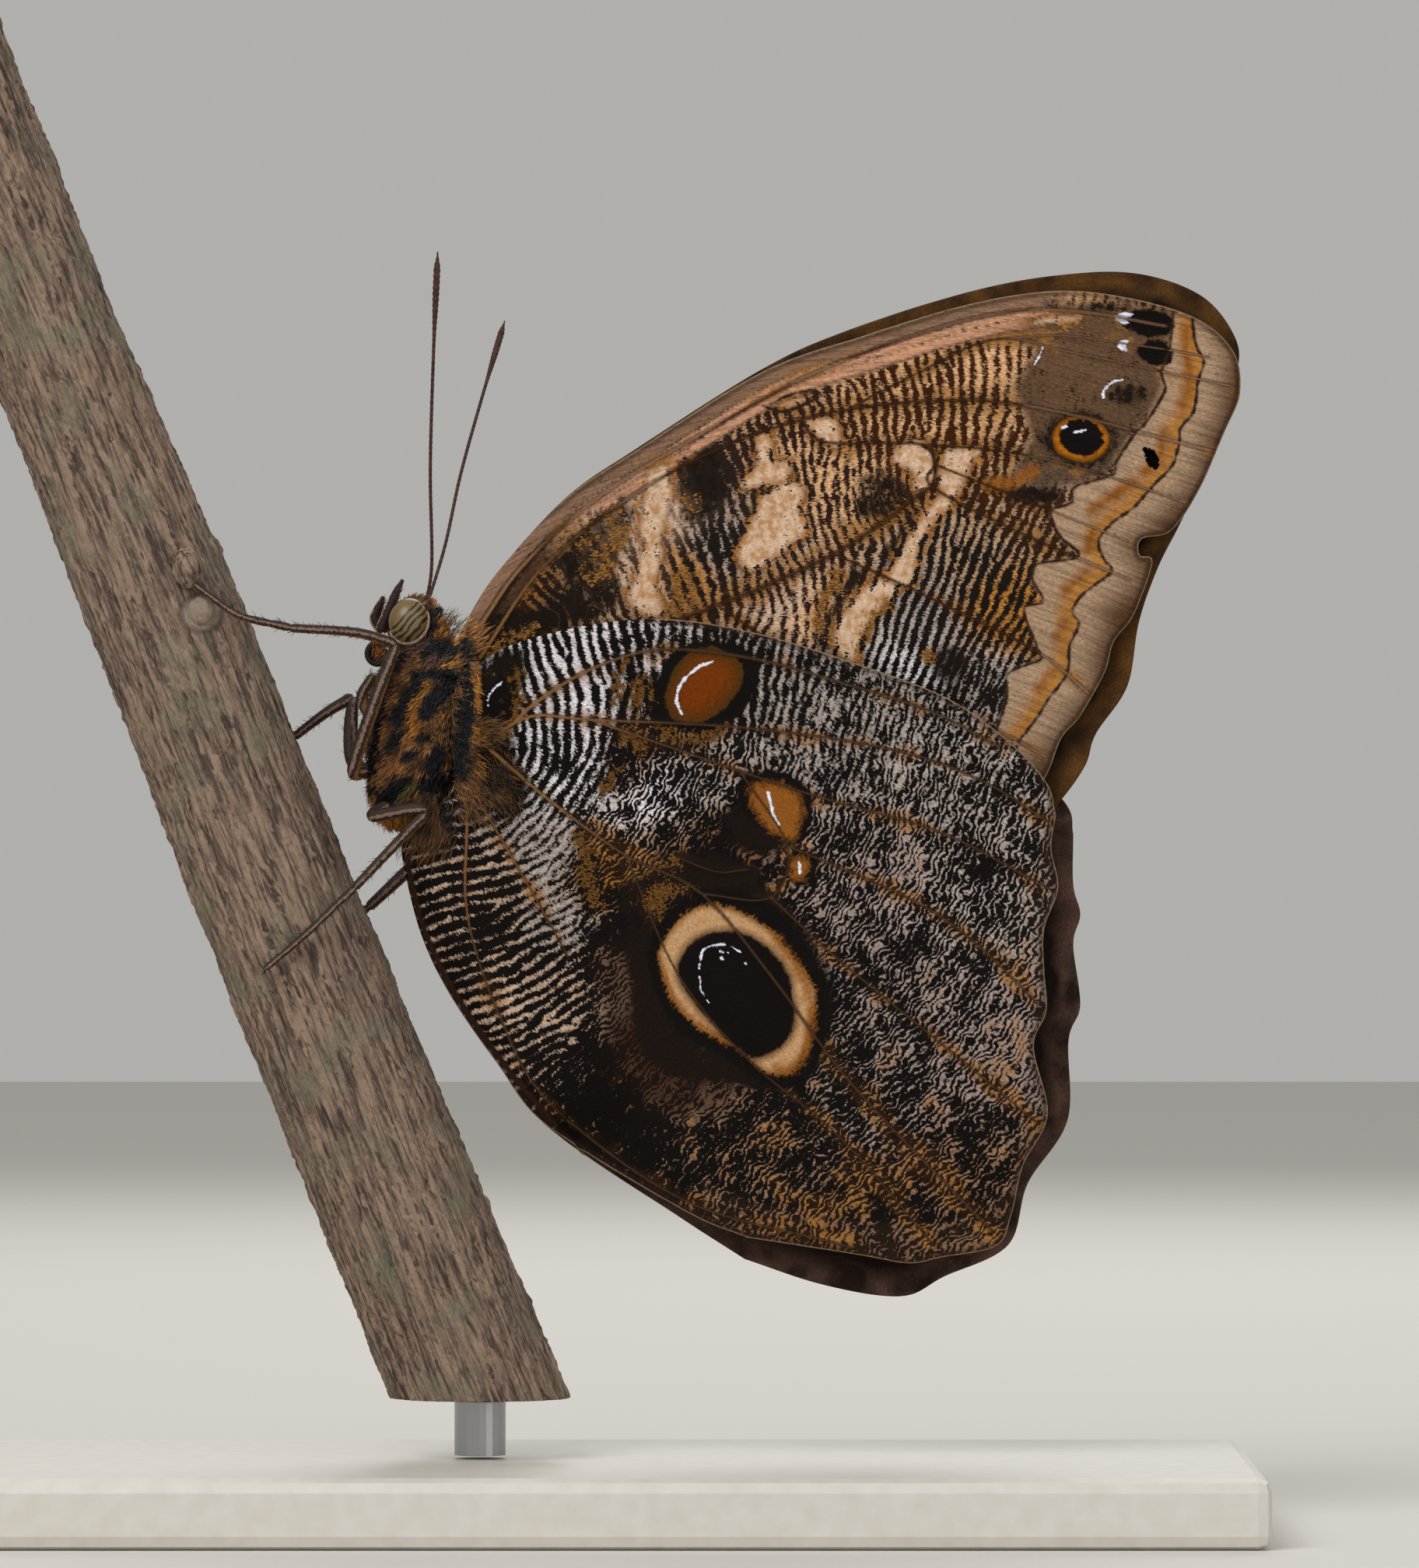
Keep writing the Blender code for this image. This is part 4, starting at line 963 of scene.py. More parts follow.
FOREWING_MARKS = (
    Mark(Layer.SHADE, "dark patch in the root of the cell", (
         (17.2, 19.8), (17.8, 19.5), (17.7, 18.7), (18.7, 18.4), (18.3, 17.5), (17.9, 16.5), (17.7, 15.7),
         (17.2, 15.2), (16.8, 14.1), (16.4, 13.2), (17.1, 11.9), (17.1, 10.9), (15.8, 9.6), (14.3, 8.7),
         (12.6, 9), (11.8, 10.3), (12.1, 11.4), (11.8, 12.9), (11.7, 14.1), (12.1, 15.2), (13, 16.5),
         (14.3, 17.8), (15.5, 18.9), (16.4, 19.5)), 0, 0.35),
    Mark(Layer.SHADE, "dark top of the cell", (
         (21.4, 22), (22.3, 23.5), (24.7, 23.9), (25.5, 22.7), (26, 21.2), (26.3, 19.3), (25.3, 18),
         (23.7, 17.2), (22, 17.3), (21.5, 19.3)), 0, 0.5),
    Mark(Layer.SHADE, "dark end of the cell", (
         (37.3, 21), (39, 22), (42, 20.5), (42.2, 19.3), (40.3, 17.7), (37.7, 17.3), (36.7, 18.7)), 0, 0.5),
    Mark(Layer.SHADE, "dark band before the pale stripe", (
         (36.5, 13.3), (39.1, 12.3), (37.4, 11.4), (36.3, 10), (35.3, 8.3), (35.1, 5.9), (33.5, 6.6),
         (33.6, 8.5), (34.4, 10.1), (35.8, 12.1)), 0, 0.35),
    Mark(Layer.SHADE, "dark edge of the upper pale stripe", (
         (43.3, 19.3), (44.7, 19.9), (43, 18.3), (41.3, 16), (40.3, 13.7), (39.3, 12.8), (39.7, 15.3),
         (41.3, 17.7)), 0, 0.35),
    Mark(Layer.SHADE, "dark spot near the lower edge", (
         (42.7, 5.9), (43.7, 6.5), (46, 6.3), (46.5, 5), (45.3, 3.7), (43.7, 4)), 0, 0.35),
    Mark(Layer.SHADE, "dark spot under the small eyespot", (
         (49.8, 20.1), (52, 20.5), (54.5, 20), (54.2, 19), (52.3, 18.7), (50.3, 19)), 0, 0.2),
    Mark(Layer.SHADE, "shade round the small eyespot", (
         (53.3, 24.4), (53.8, 25.7), (55.3, 26.5), (57, 26.6), (58.7, 25.7), (59.3, 24.3), (58.7, 23),
         (57, 22.1), (55, 22.3), (53.7, 23.2), (52.7, 24.3), (52.3, 25.2))),
    Mark(Layer.SHADE, "dark root", (
         (4, 6.6), (5.6, 9.4), (8.2, 9.9), (11.6, 9.2), (9.5, 7.2), (7, 5.8), (5, 4.6)), 0, 0.1),
    Mark(Layer.SHADE, "dark edge behind the tip of the front edge", (
         (53, 36), (57, 35.9), (60.5, 35.9), (60, 35.2), (57, 35.4), (53.5, 35.5)), 0, 0.1),
    Mark(Layer.SHADE, "dim third spot at the tip", (
         (58.3, 28.3), (59.5, 29.2), (61.6, 29), (62.4, 28), (61, 27), (59.2, 27.2)), 0, 0.35),
    Mark(Layer.CREAM, "large pale patch of the cell", (
         (29, 19.3), (28.6, 18.1), (28.2, 17.3), (27.8, 16.4), (27, 14.6), (27.5, 13.4), (28.6, 13.3),
         (29.7, 14.2), (30.8, 14.7), (31.5, 15.6), (32.5, 16.1), (32.5, 17.3), (31.9, 18.3), (32.4, 19.4),
         (32.3, 20.2), (31.1, 20.6), (30, 19.9)), 0, -0.35),
    Mark(Layer.CREAM, "pale arm above it", (
         (28.6, 24.3), (29.1, 24.8), (29.7, 24.1), (29.7, 22.4), (31.1, 22.3), (31.3, 21.5), (30.5, 20.7),
         (29.1, 20.5), (27.5, 20.2), (27.3, 20.7), (28.6, 21.9)), 0, -0.35),
    Mark(Layer.CREAM, "pale oval", (
         (30.2, 27.1), (31, 27.7), (32.7, 28.1), (33.5, 28.1), (32.7, 27.4), (31.1, 26.8))),
    Mark(Layer.CREAM, "pale triangle", ((32.7, 25.9), (35.1, 25.9), (35.4, 23.7), (34, 24.5)), 0, -0.35),
    Mark(Layer.CREAM, "pale patch at the end of the cell", (
         (41.3, 24), (42.5, 24.1), (43.3, 23.5), (43.6, 22.6), (43.5, 20.9), (42.5, 19.9), (42, 20.3),
         (42.1, 21.4), (41.4, 21.9), (40.3, 22.5), (40.6, 23.5)), 0, -0.35),
    Mark(Layer.CREAM, "upper pale stripe", (
         (44.5, 19.7), (43, 17.9), (41.7, 16), (40.8, 14.3), (39.8, 12.5), (40.8, 11.9), (41.8, 12.3),
         (42.2, 15), (43.7, 17.5), (45.1, 18.8)), 0, -0.35),
    Mark(Layer.CREAM, "lower pale stripe", (
         (38.5, 12), (37.4, 11.1), (36.5, 9.9), (35.5, 8.3), (35.3, 6.9), (35.8, 5.9), (36.9, 5.4),
         (37.1, 6.6), (37.8, 8.3), (38.9, 9.6), (40.5, 11.4), (40.1, 11.9), (39.2, 12.2)), 0, -0.35),
    Mark(Layer.CREAM, "pale patch past the cell", (
         (44.7, 23.3), (46.3, 23.5), (47.8, 23.3), (47, 22.7), (46, 20.3), (45.1, 19.3), (44.2, 20.5),
         (44.5, 22)), 0, -0.35),
    Mark(Layer.CREAM, "pale dash under the front edge", (
         (51.7, 34.5), (53.3, 35), (55.7, 35.1), (56.9, 34.8), (56, 34.3), (53.7, 34), (52, 33.9))),
    Mark(Layer.CREAM, "pale patch behind the dark one", (
         (19.4, 15.3), (20.1, 14.9), (19.8, 13.3), (19.4, 11.9), (20.2, 9.7), (19.3, 9.5), (18.5, 10),
         (17.8, 10.8), (18.5, 12.3), (18.9, 14.3)), 0, -0.6),
    Mark(Layer.CREAM, "pale band at the root of the cell", (
         (19, 21.6), (20.9, 22.2), (21.4, 19.6), (20.8, 17.2), (20, 15), (18.4, 16), (18.7, 19)), 0, -0.1),
    Mark(Layer.TAWNY, "tawny middle of the border at the tip", (
         (65.3, 33.6), (65.3, 31.3), (65.6, 29.4), (65, 27.2)), 0.5, 0.1),
    Mark(Layer.TAWNY, "tawny lobe", ((63.4, 25), (63, 22.8), (61.7, 21.6)), 0.5, 0.1),
    Mark(Layer.TAWNY, "tawny lobe", ((60.6, 20.6), (58.8, 19.3), (57.2, 18.2)), 0.6, 0.1),
    Mark(Layer.TAWNY, "tawny lobe", ((57.3, 16.6), (56.9, 14.9)), 0.5, 0.1),
    Mark(Layer.TAWNY, "tawny lobe", ((56.7, 12.9), (54.9, 11.3)), 0.5, 0.1),
    Mark(Layer.TAWNY, "tawny lobe", ((54.9, 8.7), (54.2, 7.3)), 0.45, 0.1),
    Mark(Layer.TAWNY, "tawny lobe", ((54, 4.6), (52.5, 3)), 0.4, 0.1),
    Mark(Layer.TAWNY, "tawny patch past the cell", ((48.4, 20.4), (50.6, 20.8), (52.2, 21.6)), 0.9, 0.4),
    Mark(Layer.OCHRE, "fleck", (
         (16, 18.5), (16.5, 18.7), (16.6, 17.7), (16.1, 17.5), (15.7, 16.9), (15.5, 17.7))),
    Mark(Layer.OCHRE, "fleck", (
         (16.8, 16.9), (17.4, 16.7), (17.4, 15.7), (16.9, 14.9), (16.5, 15.3), (16.1, 15.6), (16, 16.4))),
    Mark(Layer.OCHRE, "fleck", ((14.3, 16.7), (14.9, 16.7), (14.7, 16.1))),
    Mark(Layer.OCHRE, "fleck", ((13.5, 15.5), (14.1, 15.5), (13.9, 15.1), (13.4, 15.1))),
    Mark(Layer.OCHRE, "fleck", ((15.2, 15.6), (15.9, 15.7), (15.9, 14.8), (15.3, 14.8))),
    Mark(Layer.OCHRE, "fleck", ((14.9, 14.3), (15.7, 14.5), (15.6, 13.9), (14.9, 13.8))),
    Mark(Layer.OCHRE, "fleck", ((16.1, 13.5), (15.4, 12.8), (14.5, 12.4)), 0.3),
    Mark(Layer.OCHRE, "fleck", ((13.7, 13.7), (13.9, 13.6), (13.6, 13.3))),
    Mark(Layer.OCHRE, "ochre band before the pale stripe", ((35.5, 12.8), (34.3, 10.5), (33.8, 8.5)), 0.5),
    Mark(Layer.OCHRE, "ochre at the end of the cell", ((41, 18.3), (40.2, 17.5), (39, 16.7)), 0.35),
    Mark(Layer.OCHRE, "ochre edge of the pale stripe", ((39.7, 10.3), (38.3, 8.5), (37.5, 6.5)), 0.2),
    Mark(Layer.OCHRE, "ochre ripple", ((22.6, 13.1), (22.9, 11.7), (22.6, 9.7)), 0.35),
    Mark(Layer.OCHRE, "ochre ripple", ((21.5, 12.9), (21.8, 11.3), (21.5, 9.5)), 0.35),
    Mark(Layer.OCHRE, "fleck", ((42.9, 6.1), (43.7, 5.9), (43.4, 5.3), (42.7, 5.4))),
    Mark(Layer.OCHRE, "fleck", ((22.6, 19.3), (23.4, 19.3), (23, 18.5))),
    Mark(Layer.OCHRE, "gold at the root", ((5.6, 5.8), (7.2, 7), (9.2, 8)), 0.5, 0.2),
    Mark(Layer.AMBER, "ring of the small eyespot", (
         (53.7, 24.4), (54.1, 25.5), (55.3, 26.3), (56.5, 26.4), (57.8, 26), (58.7, 24.9), (58.8, 24),
         (58.1, 22.9), (56.6, 22.3), (55, 22.7), (54.1, 23.3))),
    Mark(Layer.PUPIL, "pupil of the small eyespot", (
         (54.3, 24.5), (54.8, 25.6), (56.2, 26.1), (57.5, 25.6), (58.2, 24.7), (58, 23.7), (57, 22.9),
         (55.9, 23), (54.8, 23.5))),
    Mark(Layer.PUPIL, "first black spot at the tip", (
         (59.6, 34.4), (60.5, 35.3), (62.3, 35.4), (64, 34.9), (64.2, 34), (63.6, 33.2), (61.9, 33.1),
         (60.3, 33.7))),
    Mark(Layer.PUPIL, "second black spot at the tip", (
         (60.9, 31.8), (61.6, 32.7), (63, 32.9), (63.9, 32.2), (64.2, 31.4), (63.5, 30.7), (62, 30.9))),
    Mark(Layer.LINE, "inner dark line of the border", INNER_LINE, 0.13),
    Mark(Layer.LINE, "outer dark line of the border", OUTER_LINE, 0.13),
    Mark(Layer.LINE, "line on the end of the cell", (
         (42.7, 23.8), (43.4, 23.3), (43.8, 22.1), (43.7, 20.8), (43.4, 20.1)), 0.13),
    Mark(Layer.LINE, "outline of the pale oval", (
         (29, 27.2), (30.7, 26.7), (32.3, 27.2), (34, 28.1), (33.3, 28.5), (31.3, 28.1),
         (29.7, 27.3)), 0.13),
    Mark(Layer.CHALK, "white mark", (
         (59, 34.9), (60, 35.2), (60.9, 35), (60.1, 34.6), (60.5, 34.1), (59.7, 34.3))),
    Mark(Layer.CHALK, "white mark", (
         (59.3, 32.3), (59.7, 32.8), (60.4, 32.9), (60.1, 32.4), (60.2, 31.8), (59.7, 32))),
    Mark(Layer.CHALK, "white bow", (
         (59.9, 29.4), (59.1, 29.3), (58.5, 28.8), (58.1, 28.3), (58.2, 27.9)), 0.1),
    Mark(Layer.CHALK, "glint", ((54.7, 25.3), (55, 25.4)), 0.14),
    Mark(Layer.CHALK, "glint", ((55.7, 24.9), (56.7, 25.1)), 0.07),
    Mark(Layer.CHALK, "white dash", ((53, 32.2), (52.6, 31.2), (52.3, 30.7)), 0.06),
)
HINDWING_MARKS = (
    Mark(Layer.SHADE, "dark field round the large eyespot", (
         (16.7, -14), (20.3, -12.7), (25.7, -13.3), (28.7, -13.3), (30.3, -15.3), (33, -18.3),
         (34.7, -21.3), (34.9, -24.7), (33.7, -29.3), (31.3, -31.2), (27.7, -31.3), (23.7, -30.7),
         (19.7, -29.3), (18, -26), (17.7, -22), (17, -18)), 0, 0.3),
    Mark(Layer.SHADE, "dark patch under the drop", (
         (25.7, -8.1), (27.3, -7.5), (29.3, -8.8), (30.4, -9.8), (30.7, -10.5), (29.2, -11), (26.9, -10.5),
         (26.1, -9.3))),
    Mark(Layer.SHADE, "dark cell above the large eyespot", (
         (20.5, -11.3), (23.7, -11.2), (27, -11.7), (28.7, -13), (27.7, -14.5), (23.7, -14.7), (21, -13))),
    Mark(Layer.SHADE, "dark furry root", (
         (3.7, 3.9), (5.5, 5.3), (7.6, 6.3), (8.7, 5.6), (8.6, 3.2), (8.1, 1.2), (7.4, -0.6), (7.8, -3),
         (8.6, -5.6), (8, -8), (6, -7.4), (4.9, -5.8), (2.8, -5.3)), 0, 0.15),
    Mark(Layer.SURROUND, "black round the large eyespot", (
         (19.2, -19.7), (19.7, -17.7), (21.1, -15.9), (23.1, -14.5), (25.3, -14.2), (27.7, -14.5),
         (30, -15.7), (31.8, -17.7), (33.3, -19.9), (34.5, -22.1), (34.6, -24.5), (34.1, -27.7),
         (33, -30.3), (31.3, -31.2), (29.3, -31), (27.7, -29.9), (25, -28.1), (22.7, -27), (20.9, -25),
         (19.7, -22.3))),
    Mark(Layer.SURROUND, "black round the upper eyespot", (
         (19.4, 1.7), (20.2, 4.1), (21.1, 5.7), (22.7, 6.8), (24.7, 7.1), (26.7, 6.7), (28.2, 5.7),
         (28.6, 4), (28.1, 2.3), (27, 0.8), (26, -0.1), (24.7, -0.7), (23, -0.9), (21.1, -0.5),
         (19.8, 0.3))),
    Mark(Layer.SURROUND, "black round the drop", (
         (27.1, -4.8), (28, -4.4), (29.2, -4), (30.7, -4.2), (32.1, -4.8), (33.1, -6), (33.3, -6.9),
         (33, -8.5), (32.5, -9.8), (31.7, -10.5), (30.7, -10.3), (29.7, -9.6), (28.2, -8.5), (27.3, -7),
         (26.9, -5.7))),
    Mark(Layer.SURROUND, "black round the least eyespot", (
         (31, -11.3), (32.3, -10.9), (33.5, -11.3), (33.7, -12.3), (33.2, -13.5), (32.2, -14),
         (31.3, -13.3))),
    Mark(Layer.SURROUND, "black oval at the root", (
         (5.2, 2), (5.8, 3.2), (6.7, 3.9), (7.4, 3.3), (8.1, 2), (7.9, 0.7), (7.1, -0.5), (6.1, -1.1),
         (5.3, -0.3))),
    Mark(Layer.SURROUND, "black bar past the zebra", (
         (17.8, 4.1), (18.5, 3.9), (17.4, 2.3), (17, 0.3)), 0.35),
    Mark(Layer.SURROUND, "black bar before the upper eyespot", ((19.8, 4.1), (19.4, 2.7), (19.5, 1)), 0.4),
    Mark(Layer.CREAM, "ring of the large eyespot", (
         (20, -19.6), (20.6, -18.3), (21.9, -16.7), (23.3, -15.7), (24.9, -15.5), (26.7, -15.9),
         (28.3, -16.7), (29.5, -17.5), (30.7, -18.7), (31.9, -20.3), (32.9, -21.7), (33.6, -22.9),
         (33.6, -24.3), (33.2, -25.8), (32.9, -27.5), (32.3, -28.8), (31.4, -29.9), (30.4, -30.1),
         (29.4, -30), (28.4, -29.3), (27.7, -28.5), (26.7, -27.7), (24.9, -26.9), (23.5, -26.1),
         (22, -24.8), (21, -23.2), (20.3, -21.3))),
    Mark(Layer.TAWNY, "middle of the least eyespot", (
         (31.4, -11.7), (32.2, -11.5), (32.9, -11.7), (32.7, -12.7), (32.1, -13.5), (31.5, -12.9))),
    Mark(Layer.TAWNY, "drop", (
         (27.9, -5.5), (28.7, -5.2), (29.8, -5.1), (31, -5.4), (31.9, -6), (32.4, -7.1), (32.4, -8),
         (32.1, -9), (31.7, -9.8), (31, -10.1), (30.4, -9.5), (29.4, -8.9), (28.5, -7.7), (28, -6.6))),
    Mark(Layer.TAWNY, "tawny side of the large ring", (
         (30.2, -18.6), (31.6, -20.4), (32.7, -22.4), (33.2, -24.2), (33, -26.2), (32.6, -28),
         (31.5, -29.5), (30.2, -29.7)), 0.3),
    Mark(Layer.TAWNY, "tawny foot of the large ring", (
         (20.5, -21), (21.3, -23.2), (22.5, -24.8), (25, -26.7), (27.6, -28.2)), 0.1),
    Mark(Layer.OCHRE, "lune above the large eyespot", (
         (18.8, -14.2), (20.5, -13.6), (22.5, -14.2), (21.5, -14.9), (20.5, -15.7), (20, -16.7),
         (19, -15.9), (18.6, -15.1)), 0, 0.1),
    Mark(Layer.OCHRE, "crescent under the upper eyespot", (
         (20.4, -0.7), (21.7, -1.5), (23, -1.7), (24.3, -1.3), (25.4, -0.7)), 0.3),
    Mark(Layer.OCHRE, "ochre spot", ((18.1, 3.7), (19, 4.1), (19.3, 3), (18.9, 1.7), (18, 1), (17.7, 2.1))),
    Mark(Layer.OCHRE, "ochre bar past the zebra", ((17.4, 5.3), (16.8, 4.5), (16.5, 3), (16.5, 1.7)), 0.32),
    Mark(Layer.OCHRE, "ochre fleck", ((17, -0.9), (18, -1.3), (18.7, -2.1)), 0.45),
    Mark(Layer.OCHRE, "ochre fleck", ((16.3, -4.1), (15.9, -4.9), (15.3, -6)), 0.28),
    Mark(Layer.OCHRE, "bow in the oval", ((7.1, 1.8), (7.7, 1.7), (7.3, 0.5), (6.7, -0.5), (6.4, 0)), 0.05),
    Mark(Layer.OCHRE, "rim of the oval", ((4.5, 4.1), (4.2, 2.7), (4, 1), (4.5, -0.1), (5.1, -0.8)), 0.35),
    Mark(Layer.OCHRE, "fleck", ((20.9, -11.9), (21.8, -11.6), (21.4, -12.5))),
    Mark(Layer.OCHRE, "fleck", ((19.5, -12.1), (20, -11.9), (20.2, -12.7))),
    Mark(Layer.OCHRE, "right rim of the oval", ((8, 4.2), (8.2, 2.5), (7.8, 0.9), (6.9, -0.6)), 0.22),
    Mark(Layer.OCHRE, "gold in the dark field", ((13.6, -9.6), (14, -12.4), (14.6, -15.4)), 0.9, 0.35),
    Mark(Layer.AMBER, "upper eyespot", (
         (20.6, 2.2), (21.2, 4), (22.3, 5.7), (23.7, 6.4), (24.9, 6.5), (26.3, 6), (27.1, 5.3), (27.3, 4.3),
         (27.1, 2.9), (26.3, 1.9), (25.4, 0.9), (24.2, 0.2), (22.9, -0.1), (21.8, 0.1), (21, 0.9))),
    Mark(Layer.PUPIL, "pupil of the large eyespot", (
         (21.9, -20.6), (22.5, -19.4), (23.7, -18.3), (25.5, -17.9), (26.7, -17.9), (28.1, -18.4),
         (29.4, -19.3), (30.5, -20.5), (31.3, -21.9), (31.4, -23.2), (31.7, -24.3), (31.6, -25.9),
         (31, -27.1), (30.1, -27.9), (29.1, -28.4), (27.8, -28.5), (26.3, -27.3), (24.9, -25.8),
         (23.5, -24.2), (22, -22))),
    Mark(Layer.LINE, "hairy inner edge", (
         (-1.3, -11), (-1.1, -13), (0.3, -18), (2.7, -22.9), (6.7, -28.7), (11.2, -34.2)), 0.25),
    Mark(Layer.CHALK, "bow in the pupil", ((23.9, -19.4), (24.7, -19), (25.7, -18.9)), 0.08),
    Mark(Layer.CHALK, "bow in the pupil", ((26.3, -19.1), (27.1, -19.6)), 0.06),
    Mark(Layer.CHALK, "bead", ((23.8, -19.7), (23.7, -20.2)), 0.08),
    Mark(Layer.CHALK, "bead", ((23.6, -20.6), (23.6, -21)), 0.08),
    Mark(Layer.CHALK, "bead", ((23.6, -21.7), (23.7, -22.1)), 0.07),
    Mark(Layer.CHALK, "bead", ((23.7, -22.5), (23.7, -22.8)), 0.06),
    Mark(Layer.CHALK, "bead", ((23.9, -23.1), (24.1, -23.3)), 0.04),
    Mark(Layer.CHALK, "bead", ((24.3, -23.7), (24.4, -23.9)), 0.03),
    Mark(Layer.CHALK, "speck", ((25.4, -19.5), (25.6, -19.6)), 0.1),
    Mark(Layer.CHALK, "speck", ((26, -19.6), (26.1, -19.6)), 0.08),
    Mark(Layer.CHALK, "speck", ((25.5, -20.1), (25.6, -20.2)), 0.08),
    Mark(Layer.CHALK, "speck", ((27.5, -20.5), (27.6, -20.6)), 0.08),
    Mark(Layer.CHALK, "bow in the upper eyespot", (
         (24.8, 5.3), (23.7, 4.9), (22.9, 4.3), (22.1, 3.5), (21.7, 2.6), (21.7, 1.6), (22.1, 0.8)), 0.12),
    Mark(Layer.CHALK, "streak in the drop", (
         (29.5, -6), (29.7, -6.7), (29.8, -7.4), (30, -8), (30.4, -8.7)), 0.12),
    Mark(Layer.CHALK, "streak in the least eyespot", ((32.1, -11.9), (32.2, -12.8)), 0.12),
    Mark(Layer.CHALK, "bow in the oval", ((6.7, 3.5), (6.1, 3), (5.6, 2.3), (5.5, 1.5)), 0.05),
)
BAND_ZONE = INNER_LINE + OUTER_LINE[::-1]
MARGIN_ZONE = OUTER_LINE + (
    (50.7, -7.3), (58.3, -7.3), (70.3, 8.7), (71.7, 22), (70.3, 32.7), (67.7, 35),
)
BROWN_ZONE = ((47, 33.3), (52.3, 35.3), (58.3, 36.3)) + INNER_LINE[:10] + (
    (52.3, 20.1), (50.3, 21.3), (52, 24.7), (50.3, 28.7), (52.3, 32), (49.7, 32.7),
)
FIELD_ZONE = (
    (16.3, -19), (19, -18), (20.3, -24), (23.7, -27.3), (27.7, -30.7), (26.3, -33.3), (22.3, -34),
    (19, -32.7), (15.6, -27.4), (14.6, -23), (14.8, -19.6),
)
HIND_MARGIN_ZONE = (
    (53.8, -2), (53.3, -6), (52.7, -11.3), (52.2, -17.3), (52, -23.3), (51.5, -29.3), (51.1, -34),
    (50.3, -39.3), (47.8, -42), (43.7, -42.8), (39, -42.7), (34.3, -42), (29, -41.2), (23.7, -39.3),
    (23.7, -51.3), (63.7, -51.3), (63.7, 2),
)
FOREWING_ZONES = (
    Zone(BROWN_ZONE, Hue.WOOD, Hue.UMBER, 0.8, 0.85),
    Zone(BAND_ZONE, Hue.SAND, Hue.APRICOT, 0.2, reach=2.2, line=OUTER_LINE),
    Zone(MARGIN_ZONE, Hue.HAZEL, Hue.SAND, 0.2, reach=3.6, line=OUTER_LINE),
)
HINDWING_ZONES = (
    Zone(FIELD_ZONE, Hue.UMBER, Hue.UMBER, 1.5, 0.7),
    Zone(HIND_MARGIN_ZONE, Hue.BROWN, Hue.BROWN, 0.5, 0.35),
)
# Bands along the front edge: middle and half width from the edge, colour, and where they start and end.
FRONT_BANDS = (
    (0.6, 0.65, Hue.TAN, -9, 58),
    (1.3, 0.08, Hue.UMBER, -9, 58),
    (1.75, 0.3, Hue.ROSE, 9, 58),
    (2.15, 0.06, Hue.UMBER, 12, 50),
    (2.6, 0.38, Hue.ROSE, 12, 54),
    (3.05, 0.1, Hue.UMBER, -9, 54),
    (1.5, 0.4, Hue.UMBER, -9, 14),
    (2.3, 0.4, Hue.BROWN, -9, 15),
)


